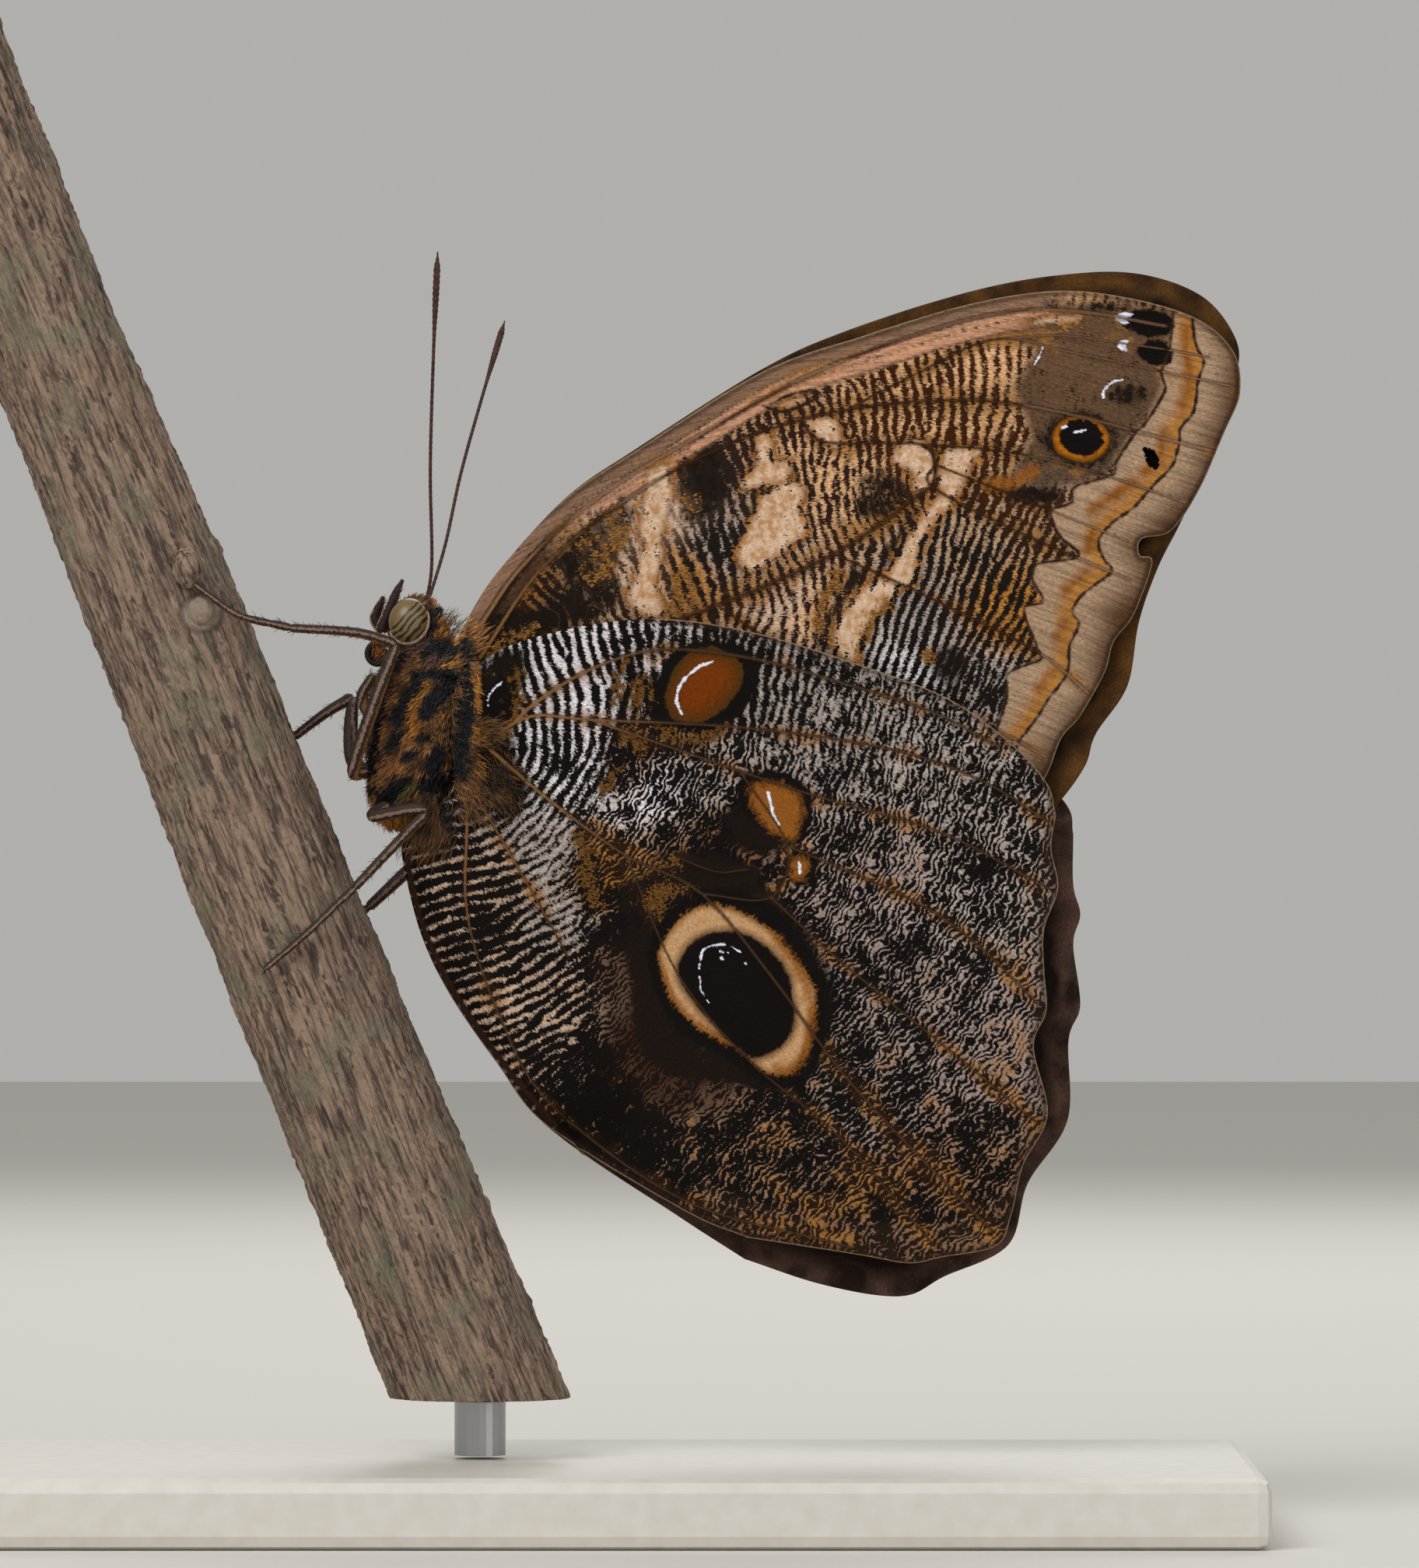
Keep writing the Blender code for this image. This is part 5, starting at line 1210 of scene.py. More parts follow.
@dataclass(frozen=True)
class WingScales:
    """Scales of a wing's under side: dust-fine and matt, in rows that run along the veins."""

    vein: Hue
    cream: Hue
    amber: Hue
    ragged: float  # how broken the edges of its pale patches are
    olive: float  # width of the olive edge of its amber spots
    hair: float = 0.36  # length of the streaks that the scales draw
    hair_width: float = 0.1
    grain: float = 0.18
    gap: float = 0.6  # of the breaks in a ripple
    waver: float = 0.9
    patch: float = 1.7
    cloud: float = 3.4
    crinkle: float = 0.56  # from one fine ripple to the next, where the coarse ones fail
    crinkled: float = 1.0  # how far the fine ones take their place there
    ochre: str = "#6b481e"
    clouded: float = 3.4  # how far the share of pale scales changes from place to place

    def make(self, name: str) -> bpy.types.Material:
        """Makes the material.

        Args:
            name: What the real surface is.

        Returns:
            The material. Its many soft, serrated colours over a rough base give the dusty look.
        """
        tree, at = new_material(name, 0.75, Specular_IOR_Level=0.08)
        names = [layer.value for layer in Layer]
        names += ["ripple", "quarter", "share", "rust", "disorder", "vein", "rim"]
        read = {key: add_node(tree, "Attribute", attribute_name=key).outputs["Fac"] for key in names}
        lie = add_node(tree, "Attribute", attribute_name="weave").outputs["Vector"]
        pale, deep = (
            add_node(tree, "Attribute", attribute_name=key).outputs["Color"] for key in ("pale", "deep")
        )
        rows = add_node(
            tree, "VectorMath", {0: lie, 1: (1 / self.hair, 1 / self.hair_width, 1.0)}, operation="MULTIPLY"
        )
        streak = add_node(tree, "TexNoise", {"Vector": rows, "Scale": 1.0, "Detail": 2.0})
        grain, gaps, patches, waver, cloud = (
            add_node(tree, "TexNoise", {"Vector": at, "Scale": 1 / (size * MM), "Detail": 2.0})
            for size in (self.grain, self.gap, self.patch, self.waver, self.cloud)
        )
        # How far an edge frays, scale by scale, and with breaks.
        jag = add_node(tree, "Math", {0: grain, 1: 0.35, 2: -0.5}, operation="MULTIPLY_ADD")
        jag = add_node(tree, "Math", {0: streak, 1: 0.65, 2: jag}, operation="MULTIPLY_ADD")
        broken = add_node(tree, "Math", {0: gaps, 1: 0.9, 2: -0.45}, operation="MULTIPLY_ADD")
        broken = add_node(tree, "Math", {0: jag, 1: 1.0, 2: broken}, operation="MULTIPLY_ADD")

        # Ripples: the coarse ones that were grown, with fine ones where those fail.
        shift = add_node(tree, "Math", {0: waver, 1: 8.0, 2: -4.0}, operation="MULTIPLY_ADD")
        shift = add_node(tree, "Math", {0: shift, 1: read["disorder"]}, operation="MULTIPLY")
        coarse = 0.0
        for part, turn in (("ripple", "COSINE"), ("quarter", "SINE")):
            turned = add_node(tree, "Math", {0: shift}, operation=turn)
            coarse = add_node(tree, "Math", {0: turned, 1: read[part], 2: coarse}, operation="MULTIPLY_ADD")
        fine = add_node(tree, "SeparateXYZ", {0: lie})
        for part, gain in ((fine, math.tau / self.crinkle), (waver, 15.0), (patches, 20.0)):
            before = 0.0 if part is fine else fine
            fine = add_node(tree, "Math", {0: part, 1: gain, 2: before}, operation="MULTIPLY_ADD")
        fine = add_node(tree, "Math", {0: fine}, operation="SINE")
        failing = add_node(
            tree, "MapRange",
            {"Value": read["disorder"], "From Min": 0.45, "From Max": 0.8, "To Max": self.crinkled},
        )
        wavy = add_node(tree, "Mix", {0: failing, 2: coarse, 3: fine})
        calm = add_node(tree, "MapRange", {"Value": read["share"], "From Min": 0.8, "From Max": 1.1})
        stripes = add_node(tree, "Math", {0: wavy, 1: read["share"]}, operation="ADD")
        rough = add_node(tree, "Math", {0: patches, 1: 2.5, 2: -3.25}, operation="MULTIPLY_ADD")
        rough = add_node(tree, "Math", {0: gaps, 1: 4.0, 2: rough}, operation="MULTIPLY_ADD")
        clouded = add_node(
            tree, "Math", {0: cloud, 1: self.clouded, 2: -0.5 * self.clouded}, operation="MULTIPLY_ADD"
        )
        rough = add_node(tree, "Math", {0: clouded, 1: rough}, operation="ADD")
        for part, gain in ((jag, 4.6), (rough, read["disorder"])):
            stripes = add_node(tree, "Math", {0: part, 1: gain, 2: stripes}, operation="MULTIPLY_ADD")
        mask = add_node(tree, "MapRange", {"Value": stripes, "From Min": -0.15, "From Max": 0.3})
        # Rusty scales spread from the veins. A painted highlight lightens each pale ripple along its middle,
        # and painted shade darkens it towards its edges.
        rusty = add_node(tree, "Math", {0: read["vein"], 1: -0.04, 2: cloud}, operation="MULTIPLY_ADD")
        rusty = add_node(tree, "Math", {0: read["rust"], 1: 0.4, 2: rusty}, operation="MULTIPLY_ADD")
        rusty = add_node(tree, "Math", {0: gaps, 1: 0.4, 2: rusty}, operation="MULTIPLY_ADD")
        rusty = add_node(
            tree, "MapRange", {"Value": rusty, "From Min": 0.62, "From Max": 0.82, "To Max": 0.8}
        )
        deep = add_node(tree, "Mix", {0: rusty, 6: deep, 7: "#2c190a"}, data_type="RGBA")
        pale = add_node(tree, "Mix", {0: rusty, 6: pale, 7: "#8a5e2c"}, data_type="RGBA")
        # Painted highlight and painted shade across each pale ripple, by how far into the ripple a place
        # lies.
        crest = add_node(
            tree, "MapRange",
            {"Value": stripes, "From Min": 0.1, "From Max": 1.5, "To Min": 0.68, "To Max": 1.3},
        )
        crest = add_node(tree, "Mix", {0: calm, 2: crest, 3: 1.0})
        pale = add_node(tree, "Mix", {0: 1.0, 6: pale, 7: crest}, data_type="RGBA", blend_type="MULTIPLY")
        colour = add_node(tree, "Mix", {0: mask, 6: deep, 7: pale}, data_type="RGBA")

        # Markings: each layer's paint, the blur of its edge, and how far the edge frays and ripples.
        border = add_node(tree, "MapRange", {"Value": read["cream"], "From Min": 0.05, "From Max": 0.6})
        cream = add_node(tree, "Mix", {0: border, 6: Hue.RUST, 7: self.cream}, data_type="RGBA")
        mottle = add_node(tree, "Math", {0: gaps, 1: 2.2, 2: streak}, operation="MULTIPLY_ADD")
        mottle = add_node(tree, "Math", {0: wavy, 1: -0.12, 2: mottle}, operation="MULTIPLY_ADD")
        mottle = add_node(
            tree, "MapRange",
            {"Value": mottle, "From Min": 1.55, "From Max": 1.95, "To Max": 0.22 * self.ragged},
        )
        cream = add_node(tree, "Mix", {0: mottle, 6: cream, 7: "#a87440"}, data_type="RGBA")
        mottle = add_node(tree, "MapRange", {"Value": streak, "From Min": 0.35, "From Max": 0.6})
        ochre = add_node(tree, "Mix", {0: mottle, 6: "#3a2410", 7: self.ochre}, data_type="RGBA")
        ring = add_node(tree, "MapRange", {"Value": read["amber"], "From Min": 0.0, "From Max": self.olive})
        amber = add_node(tree, "Mix", {0: ring, 6: "#452c09", 7: self.amber}, data_type="RGBA")
        painted = {
            Layer.SHADE: ("#18100a", 0.3, 2.6, 0.3),
            Layer.SURROUND: (Hue.INK, 0.1, 1.0, 0.0),
            Layer.CREAM: (cream, 0.12, self.ragged, 0.12 * self.ragged),
            Layer.TAWNY: ("#89521b", 0.4, 1.0, 0.1),
            Layer.OCHRE: (ochre, 0.2, 3.4, 0.3),
            Layer.AMBER: (amber, 0.08, 0.7, 0.0),
            Layer.PUPIL: (Hue.INK, 0.1, 0.8, 0.0),
            Layer.LINE: (Hue.UMBER, 0.1, 0.4, 0.0),
            Layer.CHALK: (Hue.CHALK, 0.05, 0.35, 0.0),
        }
        for layer, (paint, blur, ragged, rippled) in painted.items():
            if layer is Layer.PUPIL:
                near = add_node(
                    tree, "MapRange", {"Value": read["pupil"], "From Min": -0.7, "From Max": 0.1}
                )
                inside_ring = add_node(
                    tree, "MapRange", {"Value": read["cream"], "From Min": 0.1, "From Max": 0.3}
                )
                near = add_node(tree, "Math", {0: near, 1: inside_ring}, operation="MULTIPLY")
                colour = add_node(tree, "Mix", {0: near, 6: colour, 7: Hue.EMBER}, data_type="RGBA")
            depth = read[layer.value]
            for part, gain in ((broken, ragged), (wavy, rippled)):
                if gain:
                    depth = add_node(tree, "Math", {0: part, 1: gain, 2: depth}, operation="MULTIPLY_ADD")
            cover = add_node(tree, "MapRange", {"Value": depth, "From Min": -blur, "From Max": blur})
            colour = add_node(tree, "Mix", {0: cover, 6: colour, 7: paint}, data_type="RGBA")

        # Fine lines along the border, then veins, the rim and dust over all.
        crest = add_node(tree, "Math", {0: jag, 1: 1.2, 2: read["vein"]}, operation="MULTIPLY_ADD")
        vein = add_node(tree, "Mix", {0: calm, 6: self.vein, 7: Hue.TAN}, data_type="RGBA")
        long = add_node(tree, "VectorMath", {0: lie, 1: (0.14, 3.6, 1.0)}, operation="MULTIPLY")
        long = add_node(tree, "TexNoise", {"Vector": long, "Scale": 1.0, "Detail": 3.0})
        long = add_node(
            tree, "MapRange",
            {"Value": long, "From Min": 0.35, "From Max": 0.6, "To Min": 0.68, "To Max": 1.1},
        )
        colour = add_node(
            tree, "Mix", {0: calm, 6: colour, 7: long}, data_type="RGBA", blend_type="MULTIPLY"
        )
        rooted = add_node(tree, "VectorMath", {0: at, 1: tuple(-BODY * MM)}, operation="ADD")
        rooted = add_node(tree, "VectorMath", {0: rooted}, operation="LENGTH").outputs["Value"]
        rooted = add_node(tree, "MapRange", {"Value": rooted, "From Min": 0.022, "From Max": 0.008})
        vein = add_node(tree, "Mix", {0: rooted, 6: vein, 7: "#94683c"}, data_type="RGBA")
        for far, close, paint, cover in ((1.5, 0.9, Hue.SOOT, 0.55), (0.75, 0.35, vein, 0.8)):
            cover = add_node(
                tree, "MapRange", {"Value": crest, "From Min": far, "From Max": close, "To Max": cover}
            )
            colour = add_node(tree, "Mix", {0: cover, 6: colour, 7: paint}, data_type="RGBA")
        rim = add_node(tree, "Math", {0: rooted, 1: 2.0, 2: read["rim"]}, operation="MULTIPLY_ADD")
        for far, close, paint, cover in ((0.6, 0.3, Hue.UMBER, 0.6), (0.12, 0.06, Hue.FRINGE, 0.8)):
            cover = add_node(
                tree, "MapRange", {"Value": rim, "From Min": far, "From Max": close, "To Max": cover}
            )
            colour = add_node(tree, "Mix", {0: cover, 6: colour, 7: paint}, data_type="RGBA")
        dust = add_node(
            tree, "MapRange",
            {"Value": streak, "From Min": 0.3, "From Max": 0.7, "To Min": 0.7, "To Max": 1.3},
        )
        colour = add_node(tree, "Mix", {0: 1.0, 6: colour, 7: dust}, data_type="RGBA", blend_type="MULTIPLY")
        return finish_material(name, colour, jag, 0.04, 0.6)


@dataclass(frozen=True)
class WingBack:
    """Scales of a wing's upper side, which rests inwards: brown, darker past a tawny edge."""

    dark: str
    light: str
    inner: str  # of all but the edge
    cloud: float = 3.0
    grain: float = 0.2

    def make(self, name: str) -> bpy.types.Material:
        """Makes the material.

        Args:
            name: What the real surface is.

        Returns:
            The material. Its edge is mottled in two browns, and the rest is plain and dark.
        """
        tree, at = new_material(name, 0.7, Specular_IOR_Level=0.1)
        read = {
            key: add_node(tree, "Attribute", attribute_name=key).outputs["Fac"] for key in ("vein", "rim")
        }
        cloud = add_node(tree, "TexNoise", {"Vector": at, "Scale": PER_MM / self.cloud, "Detail": 5.0})
        grain = add_node(tree, "TexNoise", {"Vector": at, "Scale": PER_MM / self.grain, "Detail": 1.0})
        mottle = add_node(tree, "MapRange", {"Value": cloud, "From Min": 0.35, "From Max": 0.65})
        colour = add_node(tree, "Mix", {0: mottle, 6: self.dark, 7: self.light}, data_type="RGBA")
        inwards = add_node(tree, "Math", {0: cloud, 1: 4.0, 2: read["rim"]}, operation="MULTIPLY_ADD")
        within = add_node(tree, "MapRange", {"Value": inwards, "From Min": 3.4, "From Max": 4.6})
        colour = add_node(tree, "Mix", {0: within, 6: colour, 7: self.inner}, data_type="RGBA")
        crest = add_node(tree, "MapRange", {"Value": read["vein"], "From Min": 1.6, "From Max": 0.8})
        colour = add_node(tree, "Mix", {0: crest, 6: colour, 7: Hue.SOOT}, data_type="RGBA")
        dust = add_node(
            tree, "MapRange",
            {"Value": grain, "From Min": 0.3, "From Max": 0.7, "To Min": 0.75, "To Max": 1.25},
        )
        colour = add_node(tree, "Mix", {0: 1.0, 6: colour, 7: dust}, data_type="RGBA", blend_type="MULTIPLY")
        return finish_material(name, colour, grain, 0.04, 0.5)


@dataclass(frozen=True)
class WingFringe:
    """Fringe of pale hair scales on the wing's cut edge."""

    def make(self, name: str) -> bpy.types.Material:
        """Makes the material.

        Args:
            name: What the real surface is.

        Returns:
            The material. Its pale and dark dashes read as a fringe of separate scales.
        """
        tree, at = new_material(name, 0.8)
        dashes = add_node(tree, "TexNoise", {"Vector": at, "Scale": PER_MM / 1.2, "Detail": 2.0})
        share = add_node(tree, "MapRange", {"Value": dashes, "From Min": 0.4, "From Max": 0.55})
        colour = add_node(tree, "Mix", {0: share, 6: Hue.UMBER, 7: Hue.FRINGE}, data_type="RGBA")
        return finish_material(name, colour)


def open_edges(ring: list[bmesh.types.BMVert]) -> list[bmesh.types.BMEdge]:
    """The edges that join a ring's own vertices."""
    return list({edge for vert in ring for edge in vert.link_edges if edge.other_vert(vert) in ring})


def sweep(bm: bmesh.types.BMesh, line: np.ndarray, radii: np.ndarray, sides: int,
          flat: float = 1.0) -> list[bmesh.types.BMVert]:
    """Extrudes a ring along a line as a closed tube.

    Args:
        bm: The bmesh to add to.
        line: The tube's middle, one point in each row.
        radii: The radius at each point.
        sides: Sides of the ring.
        flat: The ring's second half axis as a share of the first.

    Returns:
        The tube's vertices.
    """
    tangents = [Vector(way) for way in np.gradient(line, axis=0)]
    side = tangents[0].orthogonal().normalized()
    ring = bmesh.ops.create_circle(bm, segments=sides, radius=1.0, cap_ends=True)["verts"]
    shape = [vert.co.copy() for vert in ring]
    made = []
    for index, (centre, radius, along) in enumerate(zip(line, radii, tangents)):
        if index:
            geometry = bmesh.ops.extrude_edge_only(bm, edges=open_edges(ring))["geom"]
            fresh = [item for item in geometry if isinstance(item, bmesh.types.BMVert)]
            by_place = {tuple(round(value, 7) for value in vert.co): vert for vert in fresh}
            ring = [by_place[tuple(round(value, 7) for value in vert.co)] for vert in ring]
        along = along.normalized()
        side = (side - along * side.dot(along)).normalized()
        up = along.cross(side)
        for vert, corner in zip(ring, shape):
            vert.co = Vector(centre) + (side * corner.x + up * corner.y * flat) * radius
        made += ring
    bmesh.ops.contextual_create(bm, geom=open_edges(ring))
    faces = list({face for vert in made for face in vert.link_faces})
    bmesh.ops.recalc_face_normals(bm, faces=faces)
    return made


def blades(roots: np.ndarray, ways: np.ndarray, bends: np.ndarray, widths: np.ndarray) -> bpy.types.Mesh:
    """Many small tapered hairs or tufts as one mesh, each closed and of ten triangles.

    Args:
        roots: Their roots.
        ways: From each root to its tip.
        bends: How far the middle of each is moved from the straight line.
        widths: Their thickness at the root.

    Returns:
        The mesh, in the body's millimetres. Each blade has seven vertices in order.
    """
    count = len(roots)
    along = ways / np.linalg.norm(ways, axis=1)[:, None]
    helper = np.where(np.abs(along[:, 1:2]) < 0.8, [[0.0, 1.0, 0.0]], [[1.0, 0.0, 0.0]])
    side = np.cross(along, helper)
    side /= np.linalg.norm(side, axis=1)[:, None]
    up = np.cross(along, side)
    verts = np.empty((count, 7, 3))
    for corner in range(3):
        angle = math.tau * corner / 3
        arm = (side * math.cos(angle) + up * math.sin(angle)) * widths[:, None] / 2
        verts[:, corner] = roots + arm
        verts[:, 3 + corner] = roots + ways * 0.55 + bends + arm * 0.8
    verts[:, 6] = roots + ways
    blade = [(0, 2, 1)]
    for corner in range(3):
        following = (corner + 1) % 3
        blade += [
            (corner, following, 3 + following), (corner, 3 + following, 3 + corner),
            (3 + corner, 3 + following, 6),
        ]
    faces = (np.array(blade)[None] + 7 * np.arange(count)[:, None, None]).reshape(-1, 3)
    mesh = bpy.data.meshes.new("blades")
    mesh.from_pydata(verts.reshape(-1, 3), [], faces.tolist())
    return mesh


class Tone(Enum):
    """What the fur's markings are."""

    BLACK = "black"
    GOLD = "gold"
    OLIVE = "olive"
    ROSE = "rose"


# Markings of the fur, the same on both sides: tone, half width, and points along X and Z.
BODY_MARKS = (
    (Tone.BLACK, 1.0, ((0.8, 6.2), (1.7, 6.0))),
    (Tone.BLACK, 0.5, ((-0.4, 4.2), (0.9, 4.3), (2.4, 4.0))),
    (Tone.BLACK, 0.55, ((-0.3, 3.6), (-1.2, 2.2), (-2.1, 0.4))),
    (Tone.BLACK, 0.75, ((2.2, 3.4), (1.3, 2.4), (0.4, 1.1))),
    (Tone.BLACK, 0.4, ((-1.5, 5.9), (-2.6, 4.0), (-3.3, 1.7), (-3.9, -1.9), (-4.1, -4.0))),
    (Tone.BLACK, 0.5, ((-1.9, -0.8), (-2.5, -1.8))),
    (Tone.BLACK, 0.75, ((1.4, -2.4), (1.0, -3.5))),
    (Tone.BLACK, 0.35, ((-0.5, -2.3), (-1.3, -2.8))),
    (Tone.BLACK, 0.9, ((-1.3, -5.0), (-3.0, -6.3))),
    (Tone.BLACK, 0.35, ((-3.6, -5.1), (-4.5, -5.5))),
    (Tone.BLACK, 0.8, ((0.4, -5.0), (1.6, -4.6))),
    (Tone.BLACK, 0.4, ((0.1, -1.1), (0.7, -1.1))),
    (Tone.BLACK, 0.6, ((3.3, 2.0), (3.2, -1.5), (2.8, -4.0))),
    (Tone.GOLD, 0.3, ((4.3, 4.0), (4.1, 0.4), (4.7, -2.2), (4.4, -4.0))),
    (Tone.BLACK, 0.45, ((0.6, 8.0), (-0.3, 6.6), (0.4, 8.8), (1.4, 9.3))),
    (Tone.GOLD, 0.35, ((0.3, 7.1), (1.6, 7.7), (2.9, 7.9))),
    (Tone.GOLD, 0.25, ((2.9, 7.9), (2.5, 6.7), (2.2, 5.1), (1.4, 4.9))),
    (Tone.GOLD, 0.3, ((0.9, 8.4), (1.1, 9.4))),
    (Tone.GOLD, 0.5, ((0.4, 3.4), (-0.6, 2.0), (-0.5, -0.6))),
    (Tone.GOLD, 0.9, ((-4.2, -8.2), (-1.6, -8.4))),
    (Tone.GOLD, 0.35, ((4.2, 4.4), (4.5, 2.0), (4.7, -0.6))),
    (Tone.BLACK, 0.5, ((3.2, 6.4), (3.6, 3.5), (3.8, 0.5))),
    (Tone.BLACK, 0.5, ((1.7, -6.0), (2.6, -8.6))),
    (Tone.OLIVE, 0.25, ((-0.5, -4.9), (-2.5, -7.0))),
    (Tone.OLIVE, 0.25, ((2.2, 1.9), (2.3, 1.6))),
    (Tone.ROSE, 0.4, ((0.9, 5.6), (1.4, 5.5))),
    (Tone.ROSE, 0.4, ((-0.9, 6.6), (0.1, 6.9))),
)


@dataclass(frozen=True)
class Hairs:
    """A soft-edged patch of longer hairs, on the body or, with a layer, on that layer of the wings."""

    name: str
    middle: tuple[float, float, float]
    size: tuple[float, float, float]
    lean: float  # of the patch, from upright towards the wing's tip, in degrees
    way: tuple[float, float, float]
    spread: float
    long: float
    width: float
    count: int
    tones: tuple[float, float]
    layer: float = 0.0


HAIRS = (
    Hairs("forewing_root", (3.3, 0, 6.2), (0.5, 0, 1.1), 35, (0.7, 0.05, 0.4), 0.2, 1.2, 0.1, 900,
          (0.0, 1.1), 0.85),
    Hairs("wing_joint", (4.0, 0, 1.4), (0.25, 0, 1.9), 3, (0.5, 0.05, -0.6), 0.3, 0.8, 0.1, 1000,
          (0.2, 1.1), 2.15),
    Hairs("hinge", (3.3, 0, -0.4), (0.35, 0, 2.4), 0, (0.5, 0.05, -0.4), 0.5, 0.8, 0.09, 1100,
          (-0.2, 0.7), 2.2),
    Hairs("hindwing_joint", (5.3, 0, -0.9), (0.9, 0, 0.6), 0, (0.8, 0.05, 0.1), 0.4, 1.0, 0.07, 450,
          (-0.4, 0.2), 2.15),
    Hairs("hindwing_root", (3.9, 0, -5.0), (0.6, 0, 1.6), -4, (0.5, 0.05, -0.6), 0.35, 1.1, 0.08, 1000,
          (-0.5, 0.5), 2.15),
    Hairs("hindwing_cell", (6.4, 0, -5.4), (1.0, 0, 1.5), 20, (0.4, 0.05, -0.6), 0.4, 1.3, 0.06, 520,
          (-0.6, 0.1), 2.1),
    Hairs("hindwing_edge", (0.8, 0, -8.4), (1.1, 0, 1.2), 10, (-0.4, 0.1, -0.85), 0.25, 1.7, 0.06, 850,
          (-0.5, 0.3), 2.1),
    Hairs("nape", (1.9, 0.6, 8.0), (0.8, 0.5, 0.6), 40, (0.6, 0.15, 0.75), 0.3, 1.1, 0.06, 110,
          (-0.7, 0.1)),
    Hairs("breast", (-3.4, 0.7, -1.0), (0.3, 0.5, 2.4), 0, (-1.0, 0.25, -0.1), 0.25, 1.3, 0.06, 260,
          (0.4, 1.3)),
)


@dataclass
class Body:
    """Head, thorax and abdomen: one skin, with a coat of short tufts that stands on it."""

    flesh: tuple[str, ...] = ("head", "thorax", "abdomen")
    voxel: float = 0.27
    grow: float = 0.28  # closes the gaps between the solids
    coat_depth: float = 0.45
    tuft_width: float = 0.12
    density: float = 26.0  # tufts in a square millimetre
    hair_seed: int = 15
    middle: Line = ((-0.6, 0, 11.0), (-0.4, 0, 5.0), (0.0, 0, 0.0), (0.4, 0, -6.0), *ABDOMEN_LINE)
    skin: bpy.types.Mesh = field(init=False)

    def build_skin(self, nodes: dict[str, bpy.types.Object], finish: bpy.types.Material) -> None:
        """Makes one skin out of merged copies of the flesh solids, and draws it in by the coat's depth.

        Args:
            nodes: The frame's solids.
            finish: The skin's material.
        """
        bm = bmesh.new()
        for name in self.flesh:
            bm.from_mesh(nodes[name].data)
        bmesh.ops.remove_doubles(bm, verts=bm.verts, dist=1e-6)
        bmesh.ops.scale(bm, vec=(1 / MM,) * 3, verts=bm.verts)
        bmesh.ops.translate(bm, vec=-BODY, verts=bm.verts)
        self.push(bm, self.grow)
        raw = bpy.data.meshes.new("flesh")
        bm.to_mesh(raw)
        bm.free()
        holder = bpy.data.objects.new("flesh", raw)
        bpy.context.scene.collection.objects.link(holder)
        remesh = holder.modifiers.new("remesh", "REMESH")
        remesh.mode = "VOXEL"
        remesh.voxel_size = self.voxel
        graph = bpy.context.evaluated_depsgraph_get()
        mesh = bpy.data.meshes.new_from_object(holder.evaluated_get(graph))
        bpy.data.objects.remove(holder)
        bm = bmesh.new()
        bm.from_mesh(mesh)
        every_way = {"factor": 0.5, "use_axis_x": True, "use_axis_y": True, "use_axis_z": True}
        for _ in range(3):
            bmesh.ops.smooth_vert(bm, verts=bm.verts, **every_way)
        self.push(bm, -self.grow - self.coat_depth)
        bmesh.ops.smooth_vert(bm, verts=bm.verts, **every_way)
        self.skin = bpy.data.meshes.new("body_skin")
        bm.to_mesh(self.skin)
        frame_mesh = to_frame(bm, "body_skin")
        places = np.array([vert.co for vert in self.skin.vertices])
        self.write_tones(frame_mesh, places)
        write_uv(frame_mesh, self.unwrap(places))
        add_piece("body_skin", frame_mesh, self.flesh, finish)

    @staticmethod
    def push(bm: bmesh.types.BMesh, amount: float) -> None:
        """Moves every vertex along its normal.

        Args:
            bm: The bmesh.
            amount: Millimetres outwards, or inwards if negative.
        """
        bm.normal_update()
        for vert, normal in [(vert, vert.normal.copy()) for vert in bm.verts]:
            vert.co += normal * amount

    def unwrap(self, places: np.ndarray) -> np.ndarray:
        """Places on a wrap round the body's middle line.

        Args:
            places: Points on the body.

        Returns:
            The turn round the line and the share of its length, each from 0 to 1.
        """
        line = smooth_line(self.middle, 0.3)
        nearest_one = np.argmin(np.linalg.norm(places[:, None] - line[None], axis=2), axis=1)
        away = places - line[nearest_one]
        turn = np.arctan2(away[:, 1], away[:, 0]) / math.tau + 0.5
        return np.column_stack([turn * 0.98 + 0.01, 0.01 + 0.98 * nearest_one / len(line)])

    @staticmethod
    def write_tones(mesh: bpy.types.Mesh, places: np.ndarray) -> None:
        """Writes how far inside each tone's markings the places lie.

        Args:
            mesh: The mesh to write to.
            places: Each vertex's place on the body.
        """
        for tone in Tone:
            depth = np.full(len(places), -2.0)
            for mark_tone, half, points in BODY_MARKS:
                if mark_tone is tone:
                    away = distance_to(places[:, [0, 2]], smooth_line(points, 0.3))
                    depth = np.maximum(depth, half - away)
            write_values(mesh, tone.value, depth)

    def lie(self, roots: np.ndarray, normals: np.ndarray) -> np.ndarray:
        """The way in which the fur lies: up and back on the head, down and forward on the thorax.

        Args:
            roots: Where its tufts stand.
            normals: The skin's normals there.

        Returns:
            A way along the skin for each root, at most 1 long.
        """
        head = ramp(roots[:, 2], 6.0, 8.0)[:, None]
        tail = ramp(-roots[:, 2], 6.0, 10.0)[:, None]
        way = head * np.array([0.5, 0, 0.75]) + (1 - head) * np.array([-0.5, 0, -0.6])
        way = way * (1 - tail) + tail * np.array([0.4, 0, -0.9])
        way = way - (way * normals).sum(1)[:, None] * normals
        return way / np.maximum(np.linalg.norm(way, axis=1), 0.2)[:, None]

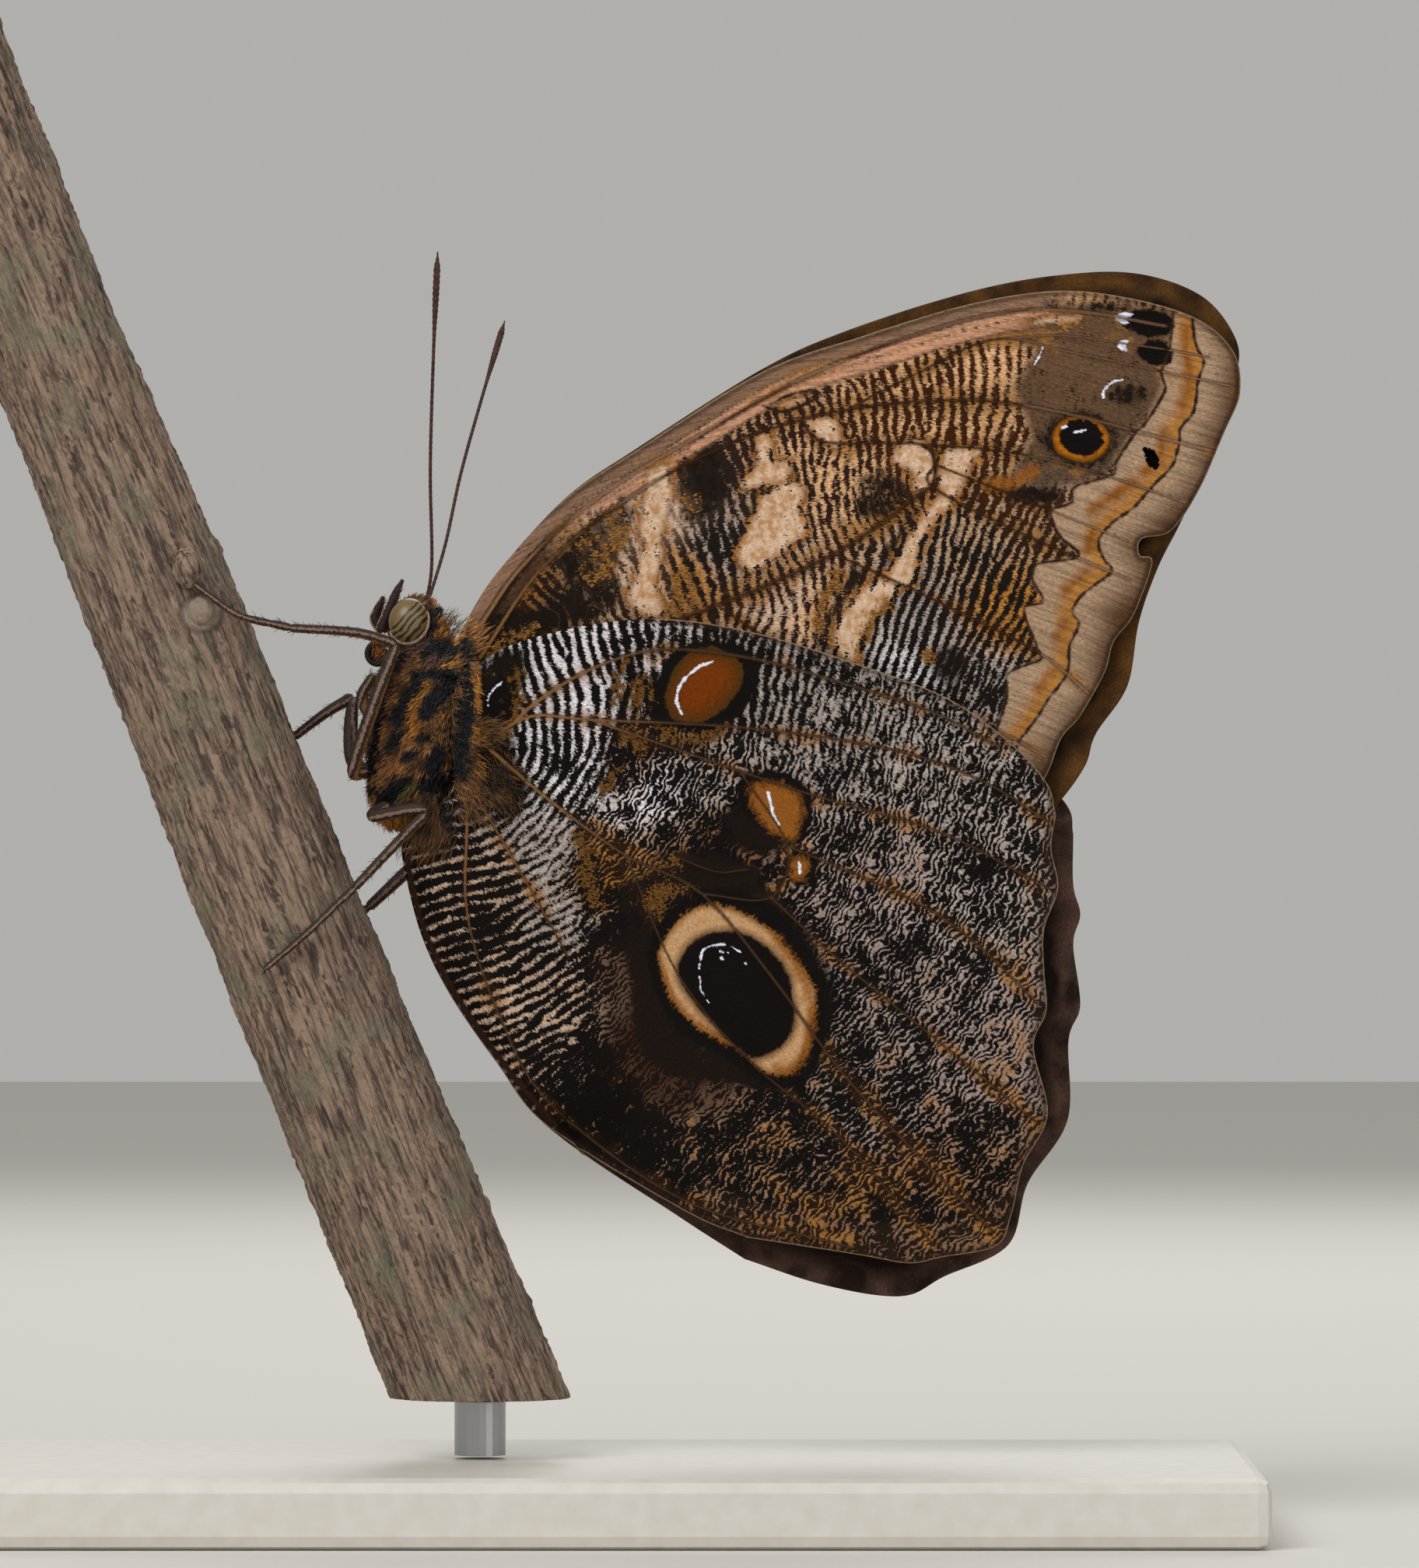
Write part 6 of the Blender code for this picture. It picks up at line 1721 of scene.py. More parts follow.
    def build_coat(self, name: str, low: float, high: float, long: float, finish: bpy.types.Material,
                   seed: int) -> None:
        """Grows tufts on one stretch of the skin.

        Args:
            name: The piece's name.
            low: Lowest height of its roots.
            high: Highest height.
            long: Length of a tuft.
            finish: The coat's material.
            seed: Seed of its random draws.
        """
        draw = np.random.default_rng(seed)
        self.skin.calc_loop_triangles()
        corners = np.array([triangle.vertices for triangle in self.skin.loop_triangles])
        places = np.array([vert.co for vert in self.skin.vertices])[corners]
        cross = np.cross(places[:, 1] - places[:, 0], places[:, 2] - places[:, 0])
        area = np.linalg.norm(cross, axis=1) / 2
        height = places[:, :, 2].mean(1)
        chosen = (height >= low) & (height < high)
        places, cross, area = places[chosen], cross[chosen], area[chosen]
        count = int(area.sum() * self.density)
        picked = draw.choice(len(area), count, p=area / area.sum())
        share = draw.random((count, 2))
        share = np.where(share.sum(1, keepdims=True) > 1, 1 - share, share)
        roots = places[picked, 0] + (share[:, :, None] * (places[picked, 1:] - places[picked, :1])).sum(1)
        normals = cross[picked] / np.linalg.norm(cross[picked], axis=1)[:, None]
        way = self.lie(roots, normals) * 0.75 + normals * draw.uniform(0.4, 0.8, (count, 1))
        way += draw.normal(0, 0.16, (count, 3))
        way /= np.linalg.norm(way, axis=1)[:, None]
        lengths = long * draw.uniform(0.75, 1.25, (count, 1))
        face = ramp(-roots[:, 0], 0.5, 2.5) * ramp(roots[:, 2], 5.5, 7.0)
        lengths *= 1 - 0.5 * face[:, None]
        bends = normals * lengths * 0.1
        widths = self.tuft_width * draw.uniform(0.7, 1.2, count)
        shape = (roots - normals * 0.1, way * lengths, bends, widths)
        self.add_tufts(name, roots, shape, draw.random(count), finish)

    def build_hairs(self, finish: bpy.types.Material) -> None:
        """Grows the longer hairs, on both sides: over the wing roots, behind the head and on the breast.

        Args:
            finish: The coat's material.
        """
        draw = np.random.default_rng(self.hair_seed)
        for patch in HAIRS:
            for name, side in (("left", -1), ("right", 1)):
                place = np.clip(draw.normal(0, 1, (patch.count, 3)), -2, 2) * patch.size
                turn = np.array(Matrix.Rotation(math.radians(patch.lean), 3, "Y"))
                roots = np.array(patch.middle) + place @ turn.T
                if patch.layer:
                    roots[:, 1] = hug(roots[:, 0], roots[:, 2]) + patch.layer
                roots[:, 1] *= side
                way = np.array(patch.way) * (1, side, 1) + draw.normal(0, patch.spread, (patch.count, 3))
                way *= patch.long * draw.uniform(0.6, 1.2, (patch.count, 1))
                bends = np.array([0, side * 0.12 * patch.long, 0]) * draw.uniform(0.3, 1.3, (patch.count, 1))
                widths = patch.width * draw.uniform(0.7, 1.2, patch.count)
                tones = draw.uniform(*patch.tones, patch.count)
                shape = (roots, way, bends, widths)
                self.add_tufts(f"coat_{patch.name}_{name}", roots, shape, tones, finish)

    def add_tufts(self, name: str, roots: np.ndarray, shape: tuple[np.ndarray, ...], tones: np.ndarray,
                  finish: bpy.types.Material) -> None:
        """Adds a piece of the coat.

        Args:
            name: The piece's name.
            roots: Where the tufts stand.
            shape: Roots, ways, bends and widths, as blades takes them.
            tones: How light each is, from 0 to 1.
            finish: The coat's material.
        """
        mesh = blades(*shape)
        self.write_tones(mesh, np.repeat(roots, 7, axis=0))
        write_values(mesh, "tone", np.repeat(tones, 7))
        write_values(mesh, "tip", np.tile([0, 0, 0, 0.55, 0.55, 0.55, 1.0], len(roots)))
        spot = np.array([(0, 0), (1, 0), (0.5, 1), (0.2, 0.4), (0.8, 0.4), (0.5, 0.8), (0.5, 0.5)]) * 0.003
        write_uv(mesh, (self.unwrap(roots)[:, None] + spot[None]).reshape(-1, 2))
        mesh.transform(Matrix.Scale(MM, 4) @ Matrix.Translation(BODY))
        add_piece(name, mesh, (), finish, smooth=False)


@dataclass(frozen=True)
class Fur:
    """Short velvet fur of hair scales: tawny, blue-black, gold and olive."""

    fleck: float = 0.5

    def make(self, name: str, coat: bool) -> bpy.types.Material:
        """Makes the material of the coat or of the skin below it.

        Args:
            name: What the real surface is.
            coat: Whether it covers tufts, which are darker at their roots than at their tips, partly as
                their own paler tips and partly as painted shade among the tufts; the skin below is darkened
                in flecks as painted shade under the coat.

        Returns:
            The material. Its sheen gives the soft edge of velvet.
        """
        tree, at = new_material(name, 0.75, Specular_IOR_Level=0.3, Sheen_Weight=0.15)
        read = {tone: add_node(tree, "Attribute", attribute_name=tone.value).outputs["Fac"] for tone in Tone}
        cloud = add_node(tree, "TexNoise", {"Vector": at, "Scale": PER_MM / 1.6, "Detail": 3.0})
        fleck = add_node(tree, "TexNoise", {"Vector": at, "Scale": PER_MM / self.fleck, "Detail": 2.0})
        browns = add_node(tree, "MapRange", {"Value": cloud, "From Min": 0.36, "From Max": 0.62})
        colour = add_node(tree, "Mix", {0: browns, 6: "#4a301c", 7: "#a06f3e"}, data_type="RGBA")
        jag = add_node(tree, "Math", {0: fleck, 1: 1.2, 2: -0.6}, operation="MULTIPLY_ADD")
        for tone, paint in (
            (Tone.GOLD, "#ad742b"), (Tone.BLACK, "#0d1016"), (Tone.OLIVE, "#6f6438"), (Tone.ROSE, "#6a5048")
        ):
            depth = add_node(tree, "Math", {0: read[tone], 1: jag}, operation="ADD")
            cover = add_node(tree, "MapRange", {"Value": depth, "From Min": -0.12, "From Max": 0.12})
            colour = add_node(tree, "Mix", {0: cover, 6: colour, 7: paint}, data_type="RGBA")
        if coat:
            tone = add_node(tree, "Attribute", attribute_name="tone").outputs["Fac"]
            tip = add_node(tree, "Attribute", attribute_name="tip").outputs["Fac"]
            light = add_node(tree, "Math", {0: tone, 1: 0.6, 2: 0.4}, operation="MULTIPLY_ADD")
            # Each tuft lightens towards its tip: partly its own paler tips, partly painted shade at its root
            # among the other tufts.
            tip = add_node(tree, "Math", {0: tip, 1: 1.1, 2: 1.0}, operation="MULTIPLY_ADD")
            light = add_node(tree, "Math", {0: tip, 1: light}, operation="MULTIPLY")
        else:
            # Painted shade: the skin under the coat is darkened, in flecks.
            light = add_node(tree, "Math", {0: fleck, 1: 0.6, 2: 0.2}, operation="MULTIPLY_ADD")
        colour = add_node(
            tree, "Mix", {0: 1.0, 6: colour, 7: light}, data_type="RGBA", blend_type="MULTIPLY"
        )
        return finish_material(name, colour, None if coat else fleck, 0.1, 0.7)


@dataclass
class Eye:
    """A large compound eye with dark wavy stripes, set in a pale rim of scales."""

    name: str
    side: int
    centre: Vector = field(default_factory=lambda: Vector((-1.3, 0.0, 8.8)))
    size: Vector = field(default_factory=lambda: Vector((1.65, 1.45, 1.9)))
    lean: float = math.radians(18)
    back: float = 2.1  # of its flat back, from the middle plane

    def build(self, finish: bpy.types.Material) -> None:
        """Builds the dome on its flat back.

        Args:
            finish: The cornea's material.
        """
        bm = bmesh.new()
        bmesh.ops.create_uvsphere(bm, u_segments=64, v_segments=40, radius=1.0)
        bmesh.ops.scale(bm, vec=self.size, verts=bm.verts)
        bmesh.ops.rotate(bm, matrix=Matrix.Rotation(self.lean, 3, "Y"), verts=bm.verts)
        bmesh.ops.translate(bm, vec=self.centre + Vector((0, self.side * self.back, 0)), verts=bm.verts)
        cut_flat(bm, (0, self.side * self.back, 0), (0, -self.side, 0))
        bmesh.ops.recalc_face_normals(bm, faces=bm.faces)
        add_piece(self.name + "_dome", to_frame(bm, self.name), (self.name,), finish)

    def finish(self) -> bpy.types.Material:
        """Makes the cornea: olive with dark wavy stripes, and a broad pale rim.

        Returns:
            The material, for both eyes. A thin coat gives the wet look.
        """
        name = "striped cornea"
        tree, at = new_material(name, 0.4, Coat_Weight=0.15, Coat_Roughness=0.15)
        middle = (BODY + self.centre) * MM
        centred = add_node(tree, "VectorMath", {0: at, 1: (-middle.x, 0.0, -middle.z)}, operation="ADD")
        turned = add_node(
            tree, "Mapping",
            {"Vector": centred, "Rotation": (0.0, -self.lean, 0.0), "Scale": (1 / MM, 1 / MM, 1 / MM)},
        )
        slanted = add_node(tree, "Mapping", {"Vector": turned, "Rotation": (0.0, math.radians(-26), 0.0)})
        wave = add_node(
            tree, "TexWave",
            {"Vector": slanted, "Scale": 0.6, "Distortion": 5.0, "Detail": 2.5, "Detail Scale": 1.0},
            wave_type="BANDS", bands_direction="X",
        )
        out = add_node(tree, "SeparateXYZ", {0: slanted})
        speck = add_node(tree, "TexNoise", {"Vector": at, "Scale": PER_MM / 0.12, "Detail": 2.0})
        stripe = add_node(tree, "Math", {0: speck, 1: 0.5, 2: wave.outputs["Fac"]}, operation="MULTIPLY_ADD")
        stripe = add_node(tree, "MapRange", {"Value": stripe, "From Min": 0.5, "From Max": 0.75})
        olive = add_node(tree, "Mix", {0: stripe, 6: "#1a140b", 7: "#7a6236"}, data_type="RGBA")
        out = add_node(tree, "Math", {0: speck, 1: 0.5, 2: out}, operation="MULTIPLY_ADD")
        edge = add_node(tree, "MapRange", {"Value": out, "From Min": -0.2, "From Max": -0.5})
        pale = add_node(tree, "Mix", {0: speck, 6: "#554224", 7: "#886c40"}, data_type="RGBA")
        colour = add_node(tree, "Mix", {0: edge, 6: olive, 7: pale}, data_type="RGBA")
        return finish_material(name, colour)

    def build_orbit(self, finish: bpy.types.Material) -> None:
        """Builds the raised rim of scales below and before the eye.

        Args:
            finish: The rim's material.
        """
        turn = np.linspace(math.radians(-135), math.radians(40), 49)
        ring = np.column_stack([np.cos(turn) * 1.7, np.zeros(49), np.sin(turn) * 1.95])
        rotation = np.array(Matrix.Rotation(self.lean, 3, "Y"))
        ring = ring @ rotation.T + np.array(self.centre) + [0, self.side * (self.back - 0.05), 0]
        bm = bmesh.new()
        sweep(bm, ring, 0.03 + 0.17 * np.sin(np.linspace(0.05, 3.1, 49)) ** 0.5, 8)
        add_piece(self.name + "_orbit", to_frame(bm, self.name + "_orbit"), (), finish)


@dataclass(frozen=True)
class Horn:
    """Scaled or bare horn of the small parts, in flecks of two colours."""

    dark: str
    light: str
    fleck: float = 0.25
    rough: float = 0.5

    def make(self, name: str) -> bpy.types.Material:
        """Makes the material.

        Args:
            name: What the real surface is.

        Returns:
            The material. Two close colours in flecks read as fine scales.
        """
        tree, at = new_material(name, self.rough)
        fleck = add_node(tree, "TexNoise", {"Vector": at, "Scale": PER_MM / self.fleck, "Detail": 3.0})
        share = add_node(tree, "MapRange", {"Value": fleck, "From Min": 0.38, "From Max": 0.62})
        colour = add_node(tree, "Mix", {0: share, 6: self.dark, 7: self.light}, data_type="RGBA")
        return finish_material(name, colour, fleck, 0.05, 0.5)


@dataclass
class Antenna:
    """A ringed feeler with a slim club."""

    name: str
    points: Line
    radius: float = 0.15
    club: float = 0.29
    ring: float = 0.5

    def build(self, finish: bpy.types.Material) -> None:
        """Builds the feeler.

        Args:
            finish: Its horn.
        """
        line = smooth_line(self.points, self.ring / 4)
        share = np.linspace(0, 1, len(line))
        radii = self.radius + (self.club - self.radius) * ramp(share, 0.74, 0.9)
        radii *= 1 - 0.8 * ramp(share, 0.95, 1.0)
        radii *= np.tile([0.86, 1.0, 1.05, 1.02], len(line) // 4 + 1)[: len(line)]
        bm = bmesh.new()
        sweep(bm, line, radii, 10)
        add_piece(self.name + "_rings", to_frame(bm, self.name), (self.name,), finish)


def write_sides(bm: bmesh.types.BMesh, verts: list[bmesh.types.BMVert], line: np.ndarray,
                front: tuple[float, float, float]) -> None:
    """Writes where each vertex of a swept tube lies round it, which its lengthwise stripes read.

    Args:
        bm: The tube's bmesh.
        verts: The tube's vertices, as sweep returns them.
        line: The tube's middle.
        front: The direction where the value is 1.
    """
    layer = bm.verts.layers.float["side"]
    sides = len(verts) // len(line)
    along = np.gradient(line, axis=0)
    along /= np.linalg.norm(along, axis=1)[:, None]
    ahead = np.array(front) - (along @ np.array(front))[:, None] * along
    ahead /= np.linalg.norm(ahead, axis=1)[:, None]
    for index, vert in enumerate(verts):
        arm = np.array(vert.co) - line[index // sides]
        vert[layer] = float(arm @ ahead[index // sides] / max(np.linalg.norm(arm), 1e-9))


def add_blades(bm: bmesh.types.BMesh, roots: np.ndarray, ways: np.ndarray, width: float,
               side: float) -> None:
    """Adds bristles to a limb.

    Args:
        bm: The limb's bmesh, with its layer of sides.
        roots: Their roots.
        ways: From each root to its tip.
        width: Their thickness at the root.
        side: The value of the limb's stripes that they take.
    """
    hairs = blades(roots, ways, ways * (0, 0, 0.06), np.full(len(roots), width))
    first = len(bm.verts)
    bm.from_mesh(hairs)
    bpy.data.meshes.remove(hairs)
    layer = bm.verts.layers.float["side"]
    bm.verts.ensure_lookup_table()
    for vert in bm.verts[first:]:
        vert[layer] = side


@dataclass(frozen=True)
class Striped:
    """Scales in stripes along a limb, from its back to its front, as pairs of place and colour."""

    stops: tuple[tuple[float, str], ...]
    fleck: float = 0.22

    def make(self, name: str) -> bpy.types.Material:
        """Makes the material.

        Args:
            name: What the real surface is.

        Returns:
            The material. Its ragged lengthwise stripes read as rows of flat scales.
        """
        tree, at = new_material(name, 0.65, Specular_IOR_Level=0.3)
        side = add_node(tree, "Attribute", attribute_name="side").outputs["Fac"]
        fleck = add_node(tree, "TexNoise", {"Vector": at, "Scale": PER_MM / self.fleck, "Detail": 2.0})
        side = add_node(tree, "Math", {0: fleck, 1: 0.9, 2: side}, operation="MULTIPLY_ADD")
        (_, first), *others = self.stops
        colour = first
        for place, paint in others:
            cover = add_node(
                tree, "MapRange", {"Value": side, "From Min": place + 0.4, "From Max": place + 0.5}
            )
            colour = add_node(tree, "Mix", {0: cover, 6: colour, 7: paint}, data_type="RGBA")
        light = add_node(tree, "MapRange", {"Value": fleck, "To Min": 0.6, "To Max": 1.4})
        colour = add_node(
            tree, "Mix", {0: 1.0, 6: colour, 7: light}, data_type="RGBA", blend_type="MULTIPLY"
        )
        return finish_material(name, colour, fleck, 0.05, 0.5)


@dataclass
class Palp:
    """A labial palp: held up before the face, with hairs behind."""

    name: str
    points: Line
    radii: tuple[float, ...] = (0.5, 0.5, 0.36, 0.16)
    hairs: int = 170

    def build(self, finish: bpy.types.Material) -> None:
        """Builds the palp and the hairs behind it.

        Args:
            finish: Its scales.
        """
        line = smooth_line(tuple((*p, r) for p, r in zip(self.points, self.radii)), 0.15)
        bm = bmesh.new()
        bm.verts.layers.float.new("side")
        verts = sweep(bm, line[:, :3], line[:, 3], 14)
        write_sides(bm, verts, line[:, :3], (-1.0, 0.0, 0.4))
        draw = np.random.default_rng(self.hairs)
        at = draw.integers(0, int(len(line) * 0.75), self.hairs)
        roots = line[at, :3] + draw.normal(0, 0.1, (self.hairs, 3)) + (0.12, 0, 0)
        ways = np.array([0.45, 0, 0.55]) + draw.normal(0, 0.16, (self.hairs, 3))
        ways = ways * draw.uniform(0.5, 1.3, (self.hairs, 1))
        add_blades(bm, roots, ways, 0.08, -0.9)
        add_piece(self.name + "_scales", to_frame(bm, self.name), (self.name,), finish)


@dataclass
class Proboscis:
    """The tongue, coiled flat below the face."""

    centre: tuple[float, float, float] = (-3.9, 0.0, 5.9)
    outer: float = 1.08
    turns: float = 2.1
    thick: float = 0.27
    hairs: int = 160

    def build(self, finish: bpy.types.Material) -> None:
        """Builds the coil and the small hairs on it.

        Args:
            finish: Its horn.
        """
        share = np.linspace(0, 1, 180)
        turn = math.tau * self.turns * share + 0.8
        reach = self.outer * (1 - share) + 0.12 * share
        line = np.array(self.centre) + np.column_stack(
            [reach * np.cos(turn), 0 * turn, reach * np.sin(turn)]
        )
        radii = self.thick * (1 - 0.5 * share) * np.tile([1.0, 1.08, 0.92], 60)
        bm = bmesh.new()
        bm.verts.layers.float.new("side")
        verts = sweep(bm, line, radii, 12, 1.35)
        write_sides(bm, verts, line, (0.0, 0.0, 1.0))
        draw = np.random.default_rng(self.hairs)
        turn, reach = draw.uniform(0, math.tau, self.hairs), draw.uniform(0.05, 0.8, self.hairs)
        roots = np.array(self.centre) + np.column_stack(
            [reach * np.cos(turn), draw.choice((-0.25, 0.25), self.hairs), reach * np.sin(turn)]
        )
        ways = np.array([0.15, 0, 0.45]) + draw.normal(0, 0.14, (self.hairs, 3))
        ways[:, 1] += np.sign(roots[:, 1]) * 0.12
        add_blades(bm, roots, ways, 0.07, -2.0)
        add_piece("proboscis_coil", to_frame(bm, "proboscis"), ("proboscis",), finish)


LEGS = {
    "foreleg_left": (
        ((-4.35, -1.3, 0.4, 0.45), (-5.3, -1.75, 2.2, 0.38), (-4.3, -1.9, 4.2, 0.26)),
    ),
    "foreleg_right": (
        ((-4.35, 1.3, 0.4, 0.45), (-5.3, 1.75, 2.2, 0.38), (-4.3, 1.9, 4.2, 0.26)),
    ),
    "midleg_left": (
        (
            (-4.9, -2.0, -4.2, 0.42), (-5.9, -3.2, -3.7, 0.45), (-3.5, -4.9, 3.4, 0.45),
            (-2.3, -4.7, 6.7, 0.36),
        ),
        ((-2.3, -4.7, 6.7, 0.4), (-5.6, -5.3, 7.7, 0.34), (-11.3, -6.0, 8.1, 0.3)),
        (
            (-11.1, -6.0, 8.1, 0.28), (-14.8, -6.3, 8.9, 0.26), (-16.2, -6.5, 9.5, 0.26),
            (-19.6, -6.5, 12.0, 0.22),
        ),
    ),
    "midleg_right": (
        (
            (-4.9, 2.0, -4.0, 0.42), (-6.2, 3.0, -3.2, 0.48), (-6.4, 4.2, -0.5, 0.5),
            (-6.2, 4.6, 2.3, 0.38),
        ),
        ((-6.2, 4.6, 2.3, 0.42), (-8.6, 5.2, 0.9, 0.36), (-11.4, 6.2, -1.2, 0.3)),
        ((-11.2, 6.1, -1.1, 0.28), (-14.4, 7.2, 0.4, 0.26), (-17.8, 7.5, 2.6, 0.22)),
    ),
    "hindleg_left": (
        (
            (-3.0, -2.6, -7.0, 0.42), (-4.2, -4.0, -7.9, 0.45), (-0.6, -5.8, -7.3, 0.42),
            (0.3, -5.9, -7.7, 0.36),
        ),
        ((0.3, -5.9, -7.7, 0.38), (-2.8, -6.2, -10.9, 0.34), (-5.8, -6.6, -14.1, 0.3)),
        (
            (-5.7, -6.6, -14.0, 0.28), (-7.6, -7.2, -15.8, 0.26), (-10.1, -7.7, -18.2, 0.25),
            (-13.4, -7.6, -21.0, 0.22),
        ),
    ),
    "hindleg_right": (
        (
            (-3.0, 2.6, -7.0, 0.42), (-2.4, 4.2, -7.6, 0.45), (0.0, 5.7, -8.3, 0.42),
            (1.8, 6.0, -9.4, 0.36),
        ),
        ((1.8, 6.0, -9.4, 0.4), (-1.8, 6.2, -12.9, 0.44), (-5.0, 6.4, -15.9, 0.36)),
        ((-4.9, 6.4, -15.8, 0.28), (-7.3, 7.4, -17.3, 0.26), (-11.6, 7.7, -19.6, 0.22)),
    ),
}


@dataclass
class Leg:
    """A leg of femur, tibia and jointed foot with bristles, spurs and claws, or a short foreleg."""

    name: str
    pieces: tuple
    bristle: float = 0.8
    spur: float = 1.1
    claw: float = 0.7
    coat: float = 1.25  # how much thicker its scales make it than the solid
    seed: int = 3

    def build(self, finish: bpy.types.Material) -> None:
        """Builds the leg.

        Args:
            finish: Its scales.
        """
        draw = np.random.default_rng(self.seed)
        bm = bmesh.new()
        bm.verts.layers.float.new("side")
        roots, ways = [], []
        for number, joints in enumerate(self.pieces):
            line = smooth_line(joints, 0.16)
            radii = line[:, 3].copy()
            if number == 2:
                beat = np.arange(len(line)) / len(line) * 5 % 1
                radii *= 0.86 + 0.2 * np.sin(beat * math.pi) ** 0.6
            ends = np.minimum(np.arange(len(line)), np.arange(len(line))[::-1])
            radii *= self.coat * np.clip(0.55 + 0.3 * ends, 0, 1)
            write_sides(bm, sweep(bm, line[:, :3], radii, 16), line[:, :3], (-0.5, 0.0, 0.85))
            along = np.gradient(line[:, :3], axis=0)
            along /= np.linalg.norm(along, axis=1)[:, None]
            count = int(len(line) * (1.6, 1.4, 0.9)[number])
            at = draw.integers(0, len(line), count)
            turn = draw.normal(0, 1, (count, 3))
            turn -= (turn * along[at]).sum(1)[:, None] * along[at]
            turn /= np.linalg.norm(turn, axis=1)[:, None]
            roots.append(line[at, :3] + turn * radii[at, None] * 0.9)
            way = along[at] * 0.7 + turn * draw.uniform(0.3, 0.8, (count, 1))
            ways.append(way * self.bristle * draw.uniform(0.4, 1.0, (count, 1)))
            if number:
                size = (self.spur, self.claw)[number - 1]
                tip = line[-2, :3] - along[-1] * (0.5, 0.0)[number - 1]
                hooks = np.array([(0, 0.45, -0.4), (0, -0.45, -0.4)]) + along[-1] * 0.8
                add_blades(bm, np.array([tip, tip]), hooks * size, (0.16, 0.14)[number - 1], 0.9)
        add_blades(bm, np.vstack(roots), np.vstack(ways), 0.06, 0.9)
        add_piece(self.name + "_scales", to_frame(bm, self.name), (self.name,), finish)


@dataclass
class Twig:
    """The cut length of twig: wrinkled bark, the scar of a leaf stalk, a bud and a knot."""

    line: tuple = (
        ((-42.6, 0, 60.4), 5.8), ((-38.0, 0, 48.7), 5.9), ((-31.5, 0, 31.8), 6.15), ((-22.5, 0, 10.1), 6.65),
        ((-14.2, 0, -11.3), 6.9), ((-3.1, 0, -38.7), 7.15), ((6.8, 0, -62.6), 7.4),
    )
    foot: float = 11.2
    wrinkle: float = 0.5
    sides: int = 170
    spacing: float = 0.4

    def build(self, finish: bpy.types.Material) -> None:
        """Sweeps the twig, wrinkles its bark, cuts its foot level and adds its lumps.

        Args:
            finish: Its bark.
        """
        line = smooth_line(tuple((*point, radius) for point, radius in self.line), self.spacing)
        bm = bmesh.new()
        sweep(bm, line[:, :3], line[:, 3] - self.wrinkle * 0.5, self.sides)
        bm.normal_update()
        axis = Vector(self.line[-1][0]) - Vector(self.line[0][0])
        axis.normalize()
        for vert in bm.verts:
            along = vert.co.dot(axis)
            radial = vert.co - axis * along
            slant = noise.noise(Vector((radial.x, radial.y, along)) * 0.4) * 1.5
            ridge = noise.noise(Vector((radial.x + slant, radial.y, along * 0.16)) * 2.1)
            fine = 0.7 - 2 * abs(noise.noise(Vector((radial.x + slant, radial.y, along * 0.2)) * 4.0))
            broad = noise.noise(Vector((radial.x, radial.y, along * 0.5)) * 0.3)
            lift = 0.5 * ridge + 0.35 * fine + 0.5 * broad - 0.1
            vert.co += vert.normal * self.wrinkle * lift
        cut_flat(bm, (0, 0, self.foot - BODY.z), (0, 0, -1))
        for centre, size in (((-20.0, -6.2, 13.2), (1.3, 1.5, 1.7)), ((-18.9, -5.7, 9.6), (1.2, 0.9, 1.2)),
                             ((-18.4, -0.8, 14.6), (1.2, 1.6, 1.4))):
            lump = bmesh.ops.create_uvsphere(bm, u_segments=32, v_segments=20, radius=1.0)["verts"]
            bmesh.ops.scale(bm, vec=size, verts=lump)
            for vert in lump:
                vert.co *= 1 + 0.12 * noise.noise(vert.co * 1.7)
            bmesh.ops.translate(bm, vec=centre, verts=lump)
        add_piece("perch_bark", to_frame(bm, "perch_bark"), ("perch_branch",), finish)


